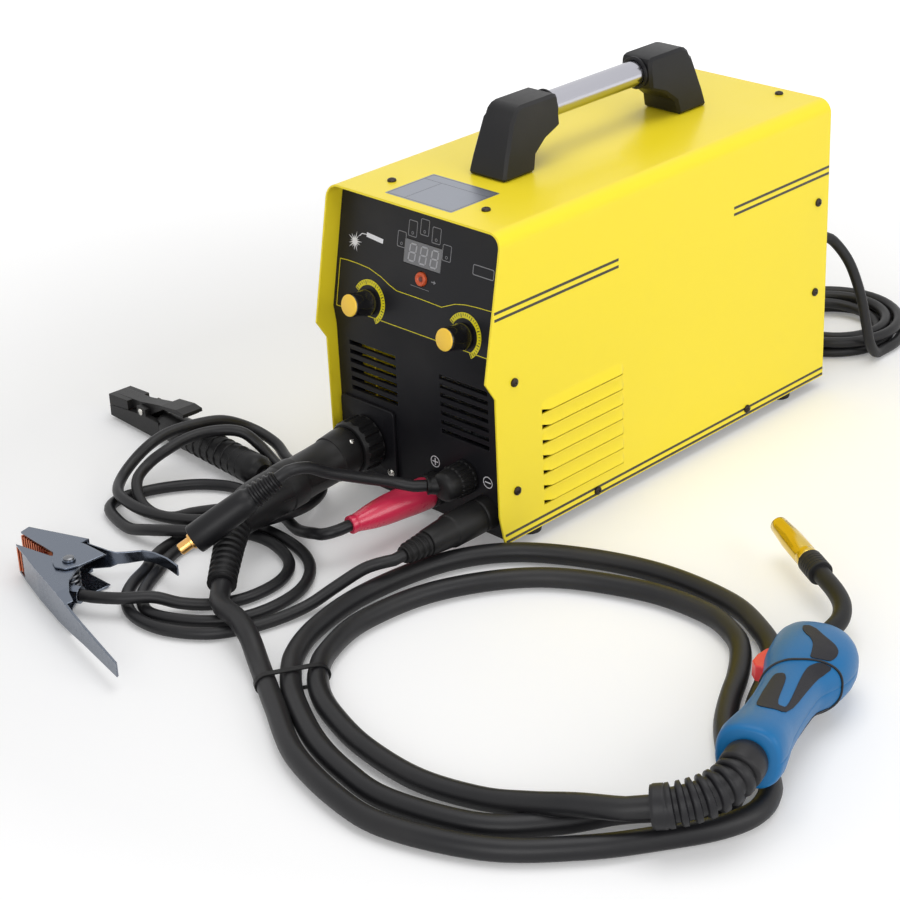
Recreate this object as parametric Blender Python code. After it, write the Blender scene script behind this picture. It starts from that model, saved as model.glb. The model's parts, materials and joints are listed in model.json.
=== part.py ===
"""MIG welding machine: folded sheet-metal case, wire feeder, torch, electrode lead and ground lead.

The case frame is used throughout: +X is the viewer's right when facing the front panel, +Y runs to
the rear, +Z is up, z = 0 is the floor and y = 0 is the front edge of the top sheet. Metres.
"""
import math

import bmesh
import bpy
from mathutils import Matrix, Vector

# --- Case ------------------------------------------------------------------------------------------
CASE_WIDTH = 0.178
CASE_LENGTH = 0.380
CASE_HEIGHT = 0.240
FOOT_HEIGHT = 0.009
FOOT_RADIUS = 0.010
SHEET = 0.0015
FOLD_RADIUS = 0.011
GAP = 0.0003                      # between touching pieces
HOOD_BREAK_HEIGHT = 0.143         # the hood's lowest forward point, above the floor
HOOD_BREAK_REACH = 0.021
CHEEK_REACH = 0.0114
CHEEK_TOP = 0.128
CHEEK_BOTTOM = 0.034
CHEEK_TOE_REACH = 0.0064

# --- Side louvres ----------------------------------------------------------------------------------
LOUVRE_COUNT = 7
LOUVRE_PITCH = 0.0124
LOUVRE_FRONT = 0.033
LOUVRE_LENGTH = 0.0945
LOUVRE_LOWEST = 0.028
LOUVRE_HEIGHT = 0.0095
LOUVRE_PROUD = 0.003

# --- Front panel -----------------------------------------------------------------------------------
PANEL_WALL = 0.003
PANEL_RIM = 0.0025
PANEL_DEPTH = 0.022
PANEL_LOWER_Y = -0.0015           # face of the upright lower half
PANEL_STEP_TOP = 0.152            # foot of the leaned upper half
PANEL_STEP_BOTTOM = 0.137
PANEL_STEP_REACH = 0.002
PANEL_LEAN = math.radians(11.0)
VENT_SLOT = 0.0036
LEFT_VENT = (-0.074, -0.024, 0.0875, 6, 0.0075)     # x from, x to, lowest slot, slots, pitch
RIGHT_VENT = (0.022, 0.071, 0.0800, 7, 0.0073)

DISPLAY_WIDTH = 0.038
DISPLAY_HEIGHT = 0.018
DISPLAY_X = 0.0016
DISPLAY_Z = 0.2105
BUTTON_RADIUS = 0.0055
BUTTON_X = 0.0023
BUTTON_Z = 0.1934
BUTTON_TRAVEL = 0.0012
KNOB_SPREAD = 0.0495
KNOB_Z = 0.1635
KNOB_RADIUS = 0.0100
KNOB_HEIGHT = 0.021
KNOB_CAP_RADIUS = 0.0085
KNOB_SHAFT_RADIUS = 0.003

# --- Sockets and plugs on the front ----------------------------------------------------------------
TORCH_X = -0.056
TORCH_Z = 0.049
TORCH_FLANGE = 0.058
TORCH_FLANGE_THICK = 0.0027
TORCH_SPIGOT_RADIUS = 0.017
TORCH_SPIGOT_REACH = 0.0145       # from the panel face
TORCH_BORE_RADIUS = 0.012
TORCH_TUBE_RADIUS = 0.015
COLLAR_RADIUS = 0.0215
COLLAR_BORE_RADIUS = 0.0175
COLLAR_LIP_RADIUS = 0.0145
COLLAR_START = 0.0050
COLLAR_LENGTH = 0.0190
COLLAR_LIP = 0.0045
COLLAR_RIBS = 16
CONNECTOR_RADIUS = 0.0185
PLUS_X = 0.014
PLUS_Z = 0.030
MINUS_X = 0.066
MINUS_Z = 0.027
SOCKET_RADIUS = 0.0130
SOCKET_REACH = 0.0105
SOCKET_BORE_RADIUS = 0.0050
SOCKET_STEM_RADIUS = 0.0090
PLUG_PIN_RADIUS = 0.0045
GLAND_X = 0.046
GLAND_Z = 0.050
GLAND_RADIUS = 0.0130
GLAND_REACH = 0.028

# --- Carrying handle -------------------------------------------------------------------------------
HANDLE_TUBE_RADIUS = 0.010
HANDLE_TUBE_Z = 0.288
HANDLE_MIDDLE_Y = 0.194
HANDLE_POST_OUTER = 0.117         # from the middle to a post's far foot
HANDLE_POST_FOOT = 0.034
HANDLE_POST_MOUTH = 0.052         # from the middle to where the tube enters
HANDLE_POST_TOP = 0.052           # above the top sheet
HANDLE_POST_HALF_WIDTH = 0.019
HANDLE_SEAT_DEPTH = 0.008

# --- Inside ----------------------------------------------------------------------------------------
DIVIDER_X = -0.010
DIVIDER_SHEET = 0.0012
DIVIDER_FRONT = 0.026
DIVIDER_REAR = 0.345
SHELF_Z = 0.165
FLANGE_WIDTH = 0.020
SPOOL_RADIUS = 0.100
SPOOL_WIDTH = 0.052
SPOOL_Y = 0.252
SPOOL_Z = 0.130
SPOOL_RECESS_INNER = 0.030
SPOOL_RECESS_OUTER = 0.056
SPOOL_BORE_RADIUS = 0.0084
SPOOL_FLANGE = 0.003
SPOOL_WIRE_RADIUS = 0.082
AXLE_RADIUS = 0.008
FEEDER_PLATE_X = -0.0405
FEEDER_PLATE_THICK = 0.005
FEEDER_FRONT = 0.035
FEEDER_REAR = 0.115
FEEDER_BOTTOM = 0.018
FEEDER_TOP = 0.100
ROLL_WIDTH = 0.010
DRIVE_ROLL_RADIUS = 0.015
PRESSURE_ROLL_RADIUS = 0.012
WIRE_RADIUS = 0.0005
ROLL_Y = 0.075
ARM_PIVOT_Y = 0.100
ARM_PIVOT_Z = 0.080
MOTOR_RADIUS = 0.019
MOTOR_LENGTH = 0.060
MOTOR_SHAFT_RADIUS = 0.004
HEAT_SINK_FRONT = 0.140
HEAT_SINK_LENGTH = 0.120
HEAT_SINK_BOTTOM = 0.060
HEAT_SINK_HEIGHT = 0.080
HEAT_SINK_DEPTH = 0.050
HEAT_SINK_FINS = 8
FAN_SIZE = 0.080
FAN_DEPTH = 0.025
FAN_SIDE_SPACE = 0.007            # from the fan frame to the side's outer face
FAN_Z = 0.058
FAN_BORE_RADIUS = 0.0375
FAN_BLADES = 7

# --- Rear ------------------------------------------------------------------------------------------
REAR_SHEET_Y = 0.3775
REAR_RIM = 0.010
ROCKER_X = 0.035
ROCKER_Z = 0.205
ROCKER_WIDTH = 0.018
ROCKER_HEIGHT = 0.024
MAINS_X = 0.062
MAINS_Z = 0.117
MAINS_GLAND_REACH = 0.022

# --- Side door -------------------------------------------------------------------------------------
DOOR_FRONT = 0.035
DOOR_REAR = 0.345
DOOR_BOTTOM = 0.035
DOOR_TOP = 0.225
DOOR_GAP = 0.001
DOOR_RETURN = 0.006
HINGE_STAND_OFF = 0.003           # from the side's outer face to the rod's middle
HINGE_Y = 0.3465
HINGE_PIN_RADIUS = 0.0015
HINGE_KNUCKLE_RADIUS = 0.0027
HINGE_BORE_RADIUS = 0.0018
HINGE_BOTTOM = 0.080
HINGE_TOP = 0.180
LATCH_Y = 0.048
LATCH_Z = 0.130
LATCH_RADIUS = 0.008
LATCH_TAB = 0.016

# --- Leads -----------------------------------------------------------------------------------------
TORCH_CABLE_RADIUS = 0.0075
LEAD_RADIUS = 0.0045

# --- Frame: where the case frame's origin lies from the middle of the whole footprint ---------------
ORIGIN_X = 0.0553
ORIGIN_Y = 0.04625

HALF_WIDTH = CASE_WIDTH / 2
TOP_Z = FOOT_HEIGHT + CASE_HEIGHT
INNER_HALF = HALF_WIDTH - SHEET
INNER_TOP = TOP_Z - SHEET
FAN_X = HALF_WIDTH - FAN_SIDE_SPACE - FAN_SIZE / 2
HINGE_X = -HALF_WIDTH - HINGE_STAND_OFF
PAN_BOTTOM = FOOT_HEIGHT + GAP
PAN_TOP = PAN_BOTTOM + SHEET
FLOOR_Z = PAN_TOP + GAP           # where inner pieces stand


# --- Modelling helpers -----------------------------------------------------------------------------
def material(name, colour, roughness, metallic=0.0):
    """A Principled material, made once for each name."""
    found = bpy.data.materials.get(name)
    if found:
        return found
    made = bpy.data.materials.new(name)
    made.use_nodes = True
    shader = made.node_tree.nodes["Principled BSDF"]
    shader.inputs["Base Color"].default_value = (*colour, 1.0)
    shader.inputs["Roughness"].default_value = roughness
    shader.inputs["Metallic"].default_value = metallic
    made.diffuse_color = (*colour, 1.0)
    return made


def yellow_paint():
    return material("yellow_paint", (0.90, 0.72, 0.03), 0.35)


def black_plastic():
    return material("black_plastic", (0.02, 0.02, 0.023), 0.45)


def cable_rubber():
    return material("cable_rubber", (0.018, 0.018, 0.02), 0.6)


def zinc_steel():
    return material("zinc_steel", (0.55, 0.60, 0.62), 0.3, 1.0)


def bare_steel():
    return material("bare_steel", (0.60, 0.60, 0.60), 0.35, 1.0)


def brass():
    return material("brass", (0.78, 0.57, 0.26), 0.3, 1.0)


def from_bmesh(bm, name="work"):
    """An object holding the bmesh, with its faces turned outward."""
    bmesh.ops.recalc_face_normals(bm, faces=bm.faces)
    mesh = bpy.data.meshes.new(name)
    bm.to_mesh(mesh)
    bm.free()
    made = bpy.data.objects.new(name, mesh)
    bpy.context.scene.collection.objects.link(made)
    return made


def box(low, high):
    """A block between two corners."""
    bm = bmesh.new()
    bmesh.ops.create_cube(bm, size=1.0)
    for vertex in bm.verts:
        vertex.co = [(low[k] + high[k]) / 2 + vertex.co[k] * (high[k] - low[k]) for k in range(3)]
    return from_bmesh(bm)


def prism(outline, axis, low, high):
    """A closed outline pushed along an axis; the outline's two numbers are the other two axes."""
    def corner(point, along):
        if axis == "X":
            return (along, point[0], point[1])
        if axis == "Y":
            return (point[0], along, point[1])
        return (point[0], point[1], along)
    bm = bmesh.new()
    face = bm.faces.new([bm.verts.new(corner(point, low)) for point in outline])
    pushed = bmesh.ops.extrude_face_region(bm, geom=[face])
    shift = Vector(corner((0.0, 0.0), high - low))
    moved = [item for item in pushed["geom"] if isinstance(item, bmesh.types.BMVert)]
    bmesh.ops.translate(bm, vec=shift, verts=moved)
    return from_bmesh(bm)


def arc(centre, radius, start, end, steps):
    """Points along an arc; angles in degrees."""
    angles = [math.radians(start + (end - start) * k / steps) for k in range(steps + 1)]
    return [(centre[0] + radius * math.cos(a), centre[1] + radius * math.sin(a)) for a in angles]


def rounded(left, right, bottom, top, radius, steps=4):
    """A rectangle's outline with round corners."""
    return (arc((right - radius, top - radius), radius, 0, 90, steps)
            + arc((left + radius, top - radius), radius, 90, 180, steps)
            + arc((left + radius, bottom + radius), radius, 180, 270, steps)
            + arc((right - radius, bottom + radius), radius, 270, 360, steps))


def turned(profile, start, direction, segments=24):
    """A solid of revolution; the profile holds (distance along the axis, radius) and starts and ends
    on the axis, or is a closed ring where no radius is zero."""
    axis = Vector(direction).normalized()
    side = axis.orthogonal().normalized()
    up = axis.cross(side)
    bm = bmesh.new()
    rings = []
    for along, radius in profile:
        centre = Vector(start) + axis * along
        if radius == 0:
            rings.append([bm.verts.new(centre)])
            continue
        turns = [2 * math.pi * k / segments for k in range(segments)]
        rings.append([bm.verts.new(centre + (side * math.cos(t) + up * math.sin(t)) * radius) for t in turns])
    pairs = list(zip(rings, rings[1:]))
    if profile[0][1] and profile[-1][1]:
        pairs.append((rings[-1], rings[0]))
    for first, second in pairs:
        for k in range(segments):
            nxt = (k + 1) % segments
            corners = [first[k % len(first)], first[nxt % len(first)],
                       second[nxt % len(second)], second[k % len(second)]]
            bm.faces.new(list(dict.fromkeys(corners)))
    return from_bmesh(bm)


def cylinder(start, end, radius, segments=24):
    """A plain round bar between two points."""
    run = Vector(end) - Vector(start)
    return turned([(0, 0), (0, radius), (run.length, radius), (run.length, 0)], start, run, segments)


def swept(stations, sides=12):
    """A round body along stations of (point, radius), with flat ends square to the path."""
    points = [Vector(point) for point, _ in stations]
    tangents = []
    for k in range(len(points)):
        before = points[max(k - 1, 0)]
        after = points[min(k + 1, len(points) - 1)]
        tangents.append((after - before).normalized())
    side = tangents[0].orthogonal().normalized()
    bm = bmesh.new()
    rings = []
    for point, tangent, (_, radius) in zip(points, tangents, stations):
        side = (side - tangent * side.dot(tangent)).normalized()
        up = tangent.cross(side)
        turns = [2 * math.pi * k / sides for k in range(sides)]
        rings.append([bm.verts.new(point + (side * math.cos(t) + up * math.sin(t)) * radius) for t in turns])
    return skinned(bm, rings)


def skinned(bm, rings):
    """Rings of equal count joined by faces, with a cap at each end."""
    count = len(rings[0])
    for first, second in zip(rings, rings[1:]):
        for k in range(count):
            nxt = (k + 1) % count
            bm.faces.new([first[k], first[nxt], second[nxt], second[k]])
    bm.faces.new(rings[0])
    bm.faces.new(list(reversed(rings[-1])))
    return from_bmesh(bm)


def combined(target, others, operation):
    """One Boolean after another, kept in the target's own mesh."""
    for other in others:
        step = target.modifiers.new("step", "BOOLEAN")
        step.object = other
        step.operation = operation
        step.solver = "EXACT"
        bpy.context.view_layer.update()
        graph = bpy.context.evaluated_depsgraph_get()
        mesh = bpy.data.meshes.new_from_object(target.evaluated_get(graph))
        target.modifiers.clear()
        old = target.data
        target.data = mesh
        bpy.data.meshes.remove(old)
        bpy.data.objects.remove(other)
    return target


def cut(target, *cutters):
    return combined(target, cutters, "DIFFERENCE")


def union(target, *others):
    return combined(target, others, "UNION")


def kept_inside(target, *others):
    return combined(target, others, "INTERSECT")


def merged(pieces):
    """Blocks that don't touch, gathered in one object so that a single Boolean takes them all."""
    bm = bmesh.new()
    for piece in pieces:
        bm.from_mesh(piece.data)
        bpy.data.objects.remove(piece)
    return from_bmesh(bm)


def moved(piece, matrix):
    """A piece whose own mesh is carried by a matrix."""
    piece.data.transform(matrix)
    piece.data.update()
    return piece


def finish(piece, name, look, pivot=(0.0, 0.0, 0.0), smooth_angle=32.0):
    """Name, colour and shade a piece, and put its origin on its pivot in the machine's frame."""
    piece.name = name
    piece.data.name = name
    piece.data.transform(Matrix.Translation(-Vector(pivot)))
    piece.location = pivot
    piece.parent = bpy.data.objects["machine_frame"]
    piece.data.materials.clear()
    piece.data.materials.append(look)
    piece.data.shade_smooth()
    piece.data.set_sharp_from_angle(angle=math.radians(smooth_angle))
    return piece


def smooth_route(points, spacing):
    """Evenly spaced points read from a smooth curve through the route's own points."""
    route = [Vector(point) for point in points]
    route = [2 * route[0] - route[1]] + route + [2 * route[-1] - route[-2]]
    fine = []
    for k in range(1, len(route) - 2):
        a, b, c, d = route[k - 1:k + 3]
        for step in range(24):
            t = step / 24
            fine.append(0.5 * (2 * b + (c - a) * t + (2 * a - 5 * b + 4 * c - d) * t ** 2
                               + (3 * b - a - 3 * c + d) * t ** 3))
    fine.append(route[-2])
    reach = [0.0]
    for before, after in zip(fine, fine[1:]):
        reach.append(reach[-1] + (after - before).length)
    count = max(2, round(reach[-1] / spacing))
    picked = []
    at = 0
    for k in range(count + 1):
        wanted = reach[-1] * k / count
        while at < len(fine) - 2 and reach[at + 1] < wanted:
            at += 1
        share = (wanted - reach[at]) / (reach[at + 1] - reach[at])
        picked.append(fine[at].lerp(fine[at + 1], min(max(share, 0.0), 1.0)))
    return picked


def tube(name, points, radius, look, resolution=2):
    """A cord: a curve with a round bevel and filled ends."""
    curve = bpy.data.curves.new(name, "CURVE")
    curve.dimensions = "3D"
    curve.bevel_depth = radius
    curve.bevel_resolution = resolution
    curve.use_fill_caps = True
    spline = curve.splines.new("POLY")
    spline.points.add(len(points) - 1)
    for place, point in zip(spline.points, points):
        place.co = (*point, 1.0)
    curve.materials.append(look)
    made = bpy.data.objects.new(name, curve)
    bpy.context.scene.collection.objects.link(made)
    made.parent = bpy.data.objects["machine_frame"]
    return made


def lead_points(start, start_way, middle, end, end_way, radius, spacing):
    """A lead's points between two fittings: straight for one diameter at each end, smooth between."""
    first = start + start_way * (GAP + 2 * radius)
    last = end + end_way * (GAP + 2 * radius)
    between = smooth_route([start, first] + list(middle) + [last, end], radius)
    reach = sum((after - before).length for before, after in zip(between, between[1:]))
    stub = 2 * radius / reach
    inner = smooth_route(between, (reach - 4 * radius) / max(1, round((reach - 4 * radius) / spacing)))
    kept = [point for k, point in enumerate(inner)
            if stub * 1.4 < k / (len(inner) - 1) < 1 - stub * 1.4]
    return [start + start_way * GAP, first] + kept + [last, end + end_way * GAP]


# --- Case pieces -----------------------------------------------------------------------------------
def make_cover():
    """The folded sheet: two sides and the top in one piece, its front edge cut to the hood's shape."""
    centre = HALF_WIDTH - FOLD_RADIUS
    fold = TOP_Z - FOLD_RADIUS
    inner = FOLD_RADIUS - SHEET
    section = ([(HALF_WIDTH, FOOT_HEIGHT)]
               + arc((centre, fold), FOLD_RADIUS, 0, 90, 5)
               + arc((-centre, fold), FOLD_RADIUS, 90, 180, 5)
               + [(-HALF_WIDTH, FOOT_HEIGHT), (-INNER_HALF, FOOT_HEIGHT)]
               + arc((-centre, fold), inner, 180, 90, 5)
               + arc((centre, fold), inner, 90, 0, 5)
               + [(INNER_HALF, FOOT_HEIGHT)])
    cover = prism(section, "Y", -0.040, CASE_LENGTH)
    front = [(-0.060, -0.010), (-CHEEK_TOE_REACH, -0.010), (-CHEEK_TOE_REACH, FOOT_HEIGHT),
             (-CHEEK_REACH, CHEEK_BOTTOM), (-CHEEK_REACH, CHEEK_TOP),
             (-HOOD_BREAK_REACH, HOOD_BREAK_HEIGHT), (0.0, TOP_Z), (0.0, TOP_Z + 0.01),
             (-0.060, TOP_Z + 0.01)]
    door_hole = box((-HALF_WIDTH - 0.01, DOOR_FRONT, DOOR_BOTTOM), (-INNER_HALF + 0.002, DOOR_REAR, DOOR_TOP))
    cover = cut(cover, prism(front, "X", -0.2, 0.2), door_hole)
    hoods = []
    slots = []
    for k in range(LOUVRE_COUNT):
        low = LOUVRE_LOWEST + k * LOUVRE_PITCH
        top = low + LOUVRE_HEIGHT
        lip = HALF_WIDTH + LOUVRE_PROUD
        outline = [(HALF_WIDTH - 0.0004, low), (lip, low), (lip, low + 0.0012), (HALF_WIDTH - 0.0004, top)]
        hoods.append(prism(outline, "Y", LOUVRE_FRONT, LOUVRE_FRONT + LOUVRE_LENGTH))
        hollow = [(INNER_HALF - 0.001, low + 0.0004), (HALF_WIDTH + 0.0002, low + 0.0004),
                  (HALF_WIDTH + 0.0002, low - 0.0004), (lip - 0.0010, low - 0.0004),
                  (lip - 0.0010, low + 0.0014), (HALF_WIDTH - 0.0004, top - 0.0020),
                  (INNER_HALF - 0.001, top - 0.0020)]
        slots.append(prism(hollow, "Y", LOUVRE_FRONT + 0.0012, LOUVRE_FRONT + LOUVRE_LENGTH - 0.0012))
    cover = cut(union(cover, merged(hoods)), merged(slots))
    return finish(cover, "cover", yellow_paint())


def make_base_pan():
    """The floor sheet with an upturned edge each side."""
    half = INNER_HALF - GAP
    edge = PAN_TOP + 0.012
    section = [(half, PAN_BOTTOM), (half, edge), (half - SHEET, edge), (half - SHEET, PAN_TOP),
               (-half + SHEET, PAN_TOP), (-half + SHEET, edge), (-half, edge), (-half, PAN_BOTTOM)]
    pan = prism(section, "Y", PANEL_LOWER_Y, CASE_LENGTH - SHEET)
    front = PANEL_LOWER_Y + PANEL_DEPTH + GAP
    rear = REAR_SHEET_Y + SHEET - REAR_RIM - GAP
    ends = [box((-HALF_WIDTH, low, PAN_TOP), (HALF_WIDTH, high, edge + 0.001))
            for low, high in ((-0.01, front), (rear, CASE_LENGTH + 0.01))]
    return finish(cut(pan, merged(ends)), "base_pan", black_plastic())


def make_feet():
    """Four round rubber feet under the pan."""
    for side, x in (("left", -0.074), ("right", 0.074)):
        for end, y in (("front", 0.035), ("rear", 0.340)):
            foot = turned([(0, 0), (0, FOOT_RADIUS * 0.9), (FOOT_HEIGHT, FOOT_RADIUS), (FOOT_HEIGHT, 0)],
                          (x, y, 0), (0, 0, 1), 20)
            finish(foot, f"foot_{end}_{side}", cable_rubber())


def panel_face_y(z):
    """How far back the front panel's face lies at a height."""
    if z <= PANEL_STEP_BOTTOM:
        return PANEL_LOWER_Y
    if z < PANEL_STEP_TOP:
        share = (z - PANEL_STEP_BOTTOM) / (PANEL_STEP_TOP - PANEL_STEP_BOTTOM)
        return PANEL_LOWER_Y - PANEL_STEP_REACH * share
    return PANEL_LOWER_Y - PANEL_STEP_REACH + (z - PANEL_STEP_TOP) * math.tan(PANEL_LEAN)


def leaned_point(x, z, proud):
    """A point standing proud of the leaned half of the front panel."""
    return Vector((x, panel_face_y(z) - proud * math.cos(PANEL_LEAN), z + proud * math.sin(PANEL_LEAN)))


LEANED_OUT = Vector((0.0, -math.cos(PANEL_LEAN), math.sin(PANEL_LEAN)))


def leaned_block(width, height, x, z, proud, depth):
    """A block square to the leaned half of the panel."""
    block = box((-width / 2, -proud, -height / 2), (width / 2, depth, height / 2))
    return moved(block, Matrix.Translation(leaned_point(x, z, 0.0)) @ Matrix.Rotation(-PANEL_LEAN, 4, "X"))


def vent_slots(vent):
    """The slots of one group of air vents, as one cutter."""
    left, right, lowest, count, pitch = vent
    slots = []
    for k in range(count):
        z = lowest + k * pitch
        slots.append(box((left, PANEL_LOWER_Y - 0.01, z - VENT_SLOT / 2),
                         (right, PANEL_LOWER_Y + PANEL_WALL + 0.002, z + VENT_SLOT / 2)))
    return merged(slots)


def make_front_panel():
    """The moulded panel: a cap with a leaned upper half, a step and an upright lower half."""
    half = INNER_HALF - GAP
    bottom = FLOOR_Z
    top = INNER_TOP - GAP
    face = [(panel_face_y(z), z) for z in (bottom, PANEL_STEP_BOTTOM, PANEL_STEP_TOP, top)]
    shell = prism(face + [(y + PANEL_DEPTH, z) for y, z in reversed(face)], "X", -half, half)
    radius = FOLD_RADIUS - SHEET
    frame = (arc((half - radius, top - radius), radius, 0, 90, 5)
             + arc((-half + radius, top - radius), radius, 90, 180, 5) + [(-half, bottom), (half, bottom)])
    shell = kept_inside(shell, prism(frame, "Y", -0.05, 0.08))
    heights = (bottom + PANEL_RIM, PANEL_STEP_BOTTOM, PANEL_STEP_TOP, top - PANEL_RIM)
    inside = [(panel_face_y(z) + PANEL_WALL, z) for z in heights]
    hollow = prism(inside + [(y + 0.05, z) for y, z in reversed(inside)], "X", -half + PANEL_RIM, half - PANEL_RIM)
    hole_start = PANEL_LOWER_Y - 0.01
    holes = [hollow, vent_slots(LEFT_VENT), vent_slots(RIGHT_VENT),
             leaned_block(DISPLAY_WIDTH + 2 * GAP, DISPLAY_HEIGHT + 2 * GAP, DISPLAY_X, DISPLAY_Z, 0.01, 0.01)]
    for x, z, radius in ((TORCH_X, TORCH_Z, TORCH_TUBE_RADIUS), (PLUS_X, PLUS_Z, SOCKET_STEM_RADIUS),
                         (MINUS_X, MINUS_Z, SOCKET_STEM_RADIUS), (GLAND_X, GLAND_Z, SOCKET_STEM_RADIUS)):
        holes.append(cylinder((x, hole_start, z), (x, hole_start + 0.02, z), radius + 2 * GAP, 16))
    for x, z, radius, sides in ((-KNOB_SPREAD, KNOB_Z, KNOB_SHAFT_RADIUS + 2 * GAP, 12),
                                (KNOB_SPREAD, KNOB_Z, KNOB_SHAFT_RADIUS + 2 * GAP, 12),
                                (BUTTON_X, BUTTON_Z, BUTTON_RADIUS + GAP, 16)):
        holes.append(cylinder(leaned_point(x, z, 0.01), leaned_point(x, z, -0.01), radius, sides))
    return finish(cut(shell, *holes), "front_panel", black_plastic())


def make_panel_controls():
    """Display window, push-button and the two knobs, all square to the leaned face."""
    window = leaned_block(DISPLAY_WIDTH, DISPLAY_HEIGHT, DISPLAY_X, DISPLAY_Z, 0.0003, PANEL_WALL)
    finish(window, "display_window", material("smoked_window", (0.10, 0.10, 0.11), 0.1))

    behind = PANEL_WALL + GAP
    button = turned([(-behind - 0.002, 0), (-behind - 0.002, BUTTON_RADIUS + 0.002), (-behind, BUTTON_RADIUS + 0.002),
                     (-behind, BUTTON_RADIUS), (BUTTON_TRAVEL, BUTTON_RADIUS),
                     (BUTTON_TRAVEL + 0.0008, BUTTON_RADIUS - 0.0012), (BUTTON_TRAVEL + 0.0008, 0)],
                    leaned_point(BUTTON_X, BUTTON_Z, 0.0), LEANED_OUT, 16)
    finish(button, "mode_button", material("orange_button", (0.55, 0.10, 0.02), 0.4),
           leaned_point(BUTTON_X, BUTTON_Z, 0.0))

    for name, x in (("knob_left", -KNOB_SPREAD), ("knob_right", KNOB_SPREAD)):
        start = leaned_point(x, KNOB_Z, 0.0)
        profile = [(-0.009, 0), (-0.009, KNOB_SHAFT_RADIUS), (GAP, KNOB_SHAFT_RADIUS),
                   (GAP, KNOB_RADIUS), (0.004, KNOB_RADIUS), (KNOB_HEIGHT - 0.003, KNOB_CAP_RADIUS + 0.0008),
                   (KNOB_HEIGHT - 0.0015, KNOB_CAP_RADIUS + 0.0003), (KNOB_HEIGHT, KNOB_CAP_RADIUS - 0.001),
                   (KNOB_HEIGHT, 0)]
        knob = turned(profile, start, LEANED_OUT, 18)
        finish(knob, name, black_plastic(), start)


# --- Sockets, plugs and leads on the front ---------------------------------------------------------
FACE_Y = PANEL_LOWER_Y - GAP      # where outside pieces seat on the upright half

# Where each lead leaves its fitting, and which way it leaves
CONNECTOR_END = Vector((-0.0085, -0.1947, 0.0218))
CONNECTOR_WAY = Vector((0.0065, -0.0072, -0.0027)).normalized()
ELECTRODE_PLUG_END = Vector((0.0080, -0.0855, 0.0300))
ELECTRODE_PLUG_WAY = Vector((-0.0003, -0.0045, 0.0)).normalized()
GROUND_PLUG_END = Vector((MINUS_X, -0.0877, MINUS_Z))
GROUND_PLUG_WAY = Vector((0.0, -1.0, 0.0))
POLARITY_GLAND_END = Vector((0.0350, -0.0318, 0.0504))
POLARITY_GLAND_WAY = Vector((-0.0050, -0.0063, 0.0004)).normalized()
POLARITY_PLUG_REAR = Vector((-0.0102, -0.1352, 0.0817))
POLARITY_PLUG_TIP = Vector((-0.0474, -0.1991, 0.0375))
PROTECTOR_END = Vector((0.3985, -0.2080, 0.0302))
PROTECTOR_WAY = Vector((-0.0155, -0.0120, -0.0026)).normalized()
HOLDER_TURN = (Matrix.Translation((-0.3280, -0.0380, 0.0000))
               @ Matrix.Rotation(math.atan2(-0.0140, 0.2000), 4, "Z"))
HOLDER_END = HOLDER_TURN @ Vector((0.2005, 0.0, 0.0140))
HOLDER_WAY = (HOLDER_END - HOLDER_TURN @ Vector((0.1965, 0.0, 0.0140))).normalized()
BOOT_START = Vector((-0.1020, -0.2700, 0.0145))
BOOT_END = Vector((-0.0842, -0.2622, 0.0145))
BOOT_WAY = (BOOT_END - BOOT_START).normalized()


def make_torch_socket():
    """The torch's panel socket: flange, spigot for the collar, and the wire tube behind."""
    back = FACE_Y
    front = back - TORCH_FLANGE_THICK
    half = TORCH_FLANGE / 2
    flange_z = TORCH_Z + 0.002
    plate = prism(rounded(TORCH_X - half, TORCH_X + half, flange_z - half, flange_z + half, 0.004, 3),
                  "Y", front, back)
    spigot = cylinder((TORCH_X, front + 0.001, TORCH_Z), (TORCH_X, back - TORCH_SPIGOT_REACH, TORCH_Z),
                      TORCH_SPIGOT_RADIUS, 24)
    tail = cylinder((TORCH_X, back - 0.001, TORCH_Z), (TORCH_X, FEEDER_FRONT - 0.001, TORCH_Z), TORCH_TUBE_RADIUS, 16)
    socket = union(plate, spigot, tail)
    bore = cylinder((TORCH_X, -0.05, TORCH_Z), (TORCH_X, 0.010, TORCH_Z), TORCH_BORE_RADIUS, 16)
    wire_bore = cylinder((TORCH_X, 0.0, TORCH_Z), (TORCH_X, 0.06, TORCH_Z), 0.003, 10)
    return finish(cut(socket, bore, wire_bore), "torch_socket", black_plastic())


def make_collar_nut():
    """The ribbed nut that draws the torch connector onto its socket."""
    start = FACE_Y - COLLAR_START
    end = start - COLLAR_LENGTH
    outline = []
    for k in range(COLLAR_RIBS):
        for share, radius in ((0.0, COLLAR_RADIUS), (0.5, COLLAR_RADIUS), (0.62, COLLAR_RADIUS - 0.0014),
                              (0.88, COLLAR_RADIUS - 0.0014)):
            turn = 2 * math.pi * (k + share) / COLLAR_RIBS
            outline.append((TORCH_X + radius * math.cos(turn), TORCH_Z + radius * math.sin(turn)))
    nut = prism(outline, "Y", end, start)
    bore = cylinder((TORCH_X, start + 0.01, TORCH_Z), (TORCH_X, end + COLLAR_LIP, TORCH_Z), COLLAR_BORE_RADIUS, 24)
    lip = cylinder((TORCH_X, start + 0.01, TORCH_Z), (TORCH_X, end - 0.01, TORCH_Z), COLLAR_LIP_RADIUS, 24)
    return finish(cut(nut, bore, lip), "collar_nut", black_plastic(), (TORCH_X, (start + end) / 2, TORCH_Z))


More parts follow.
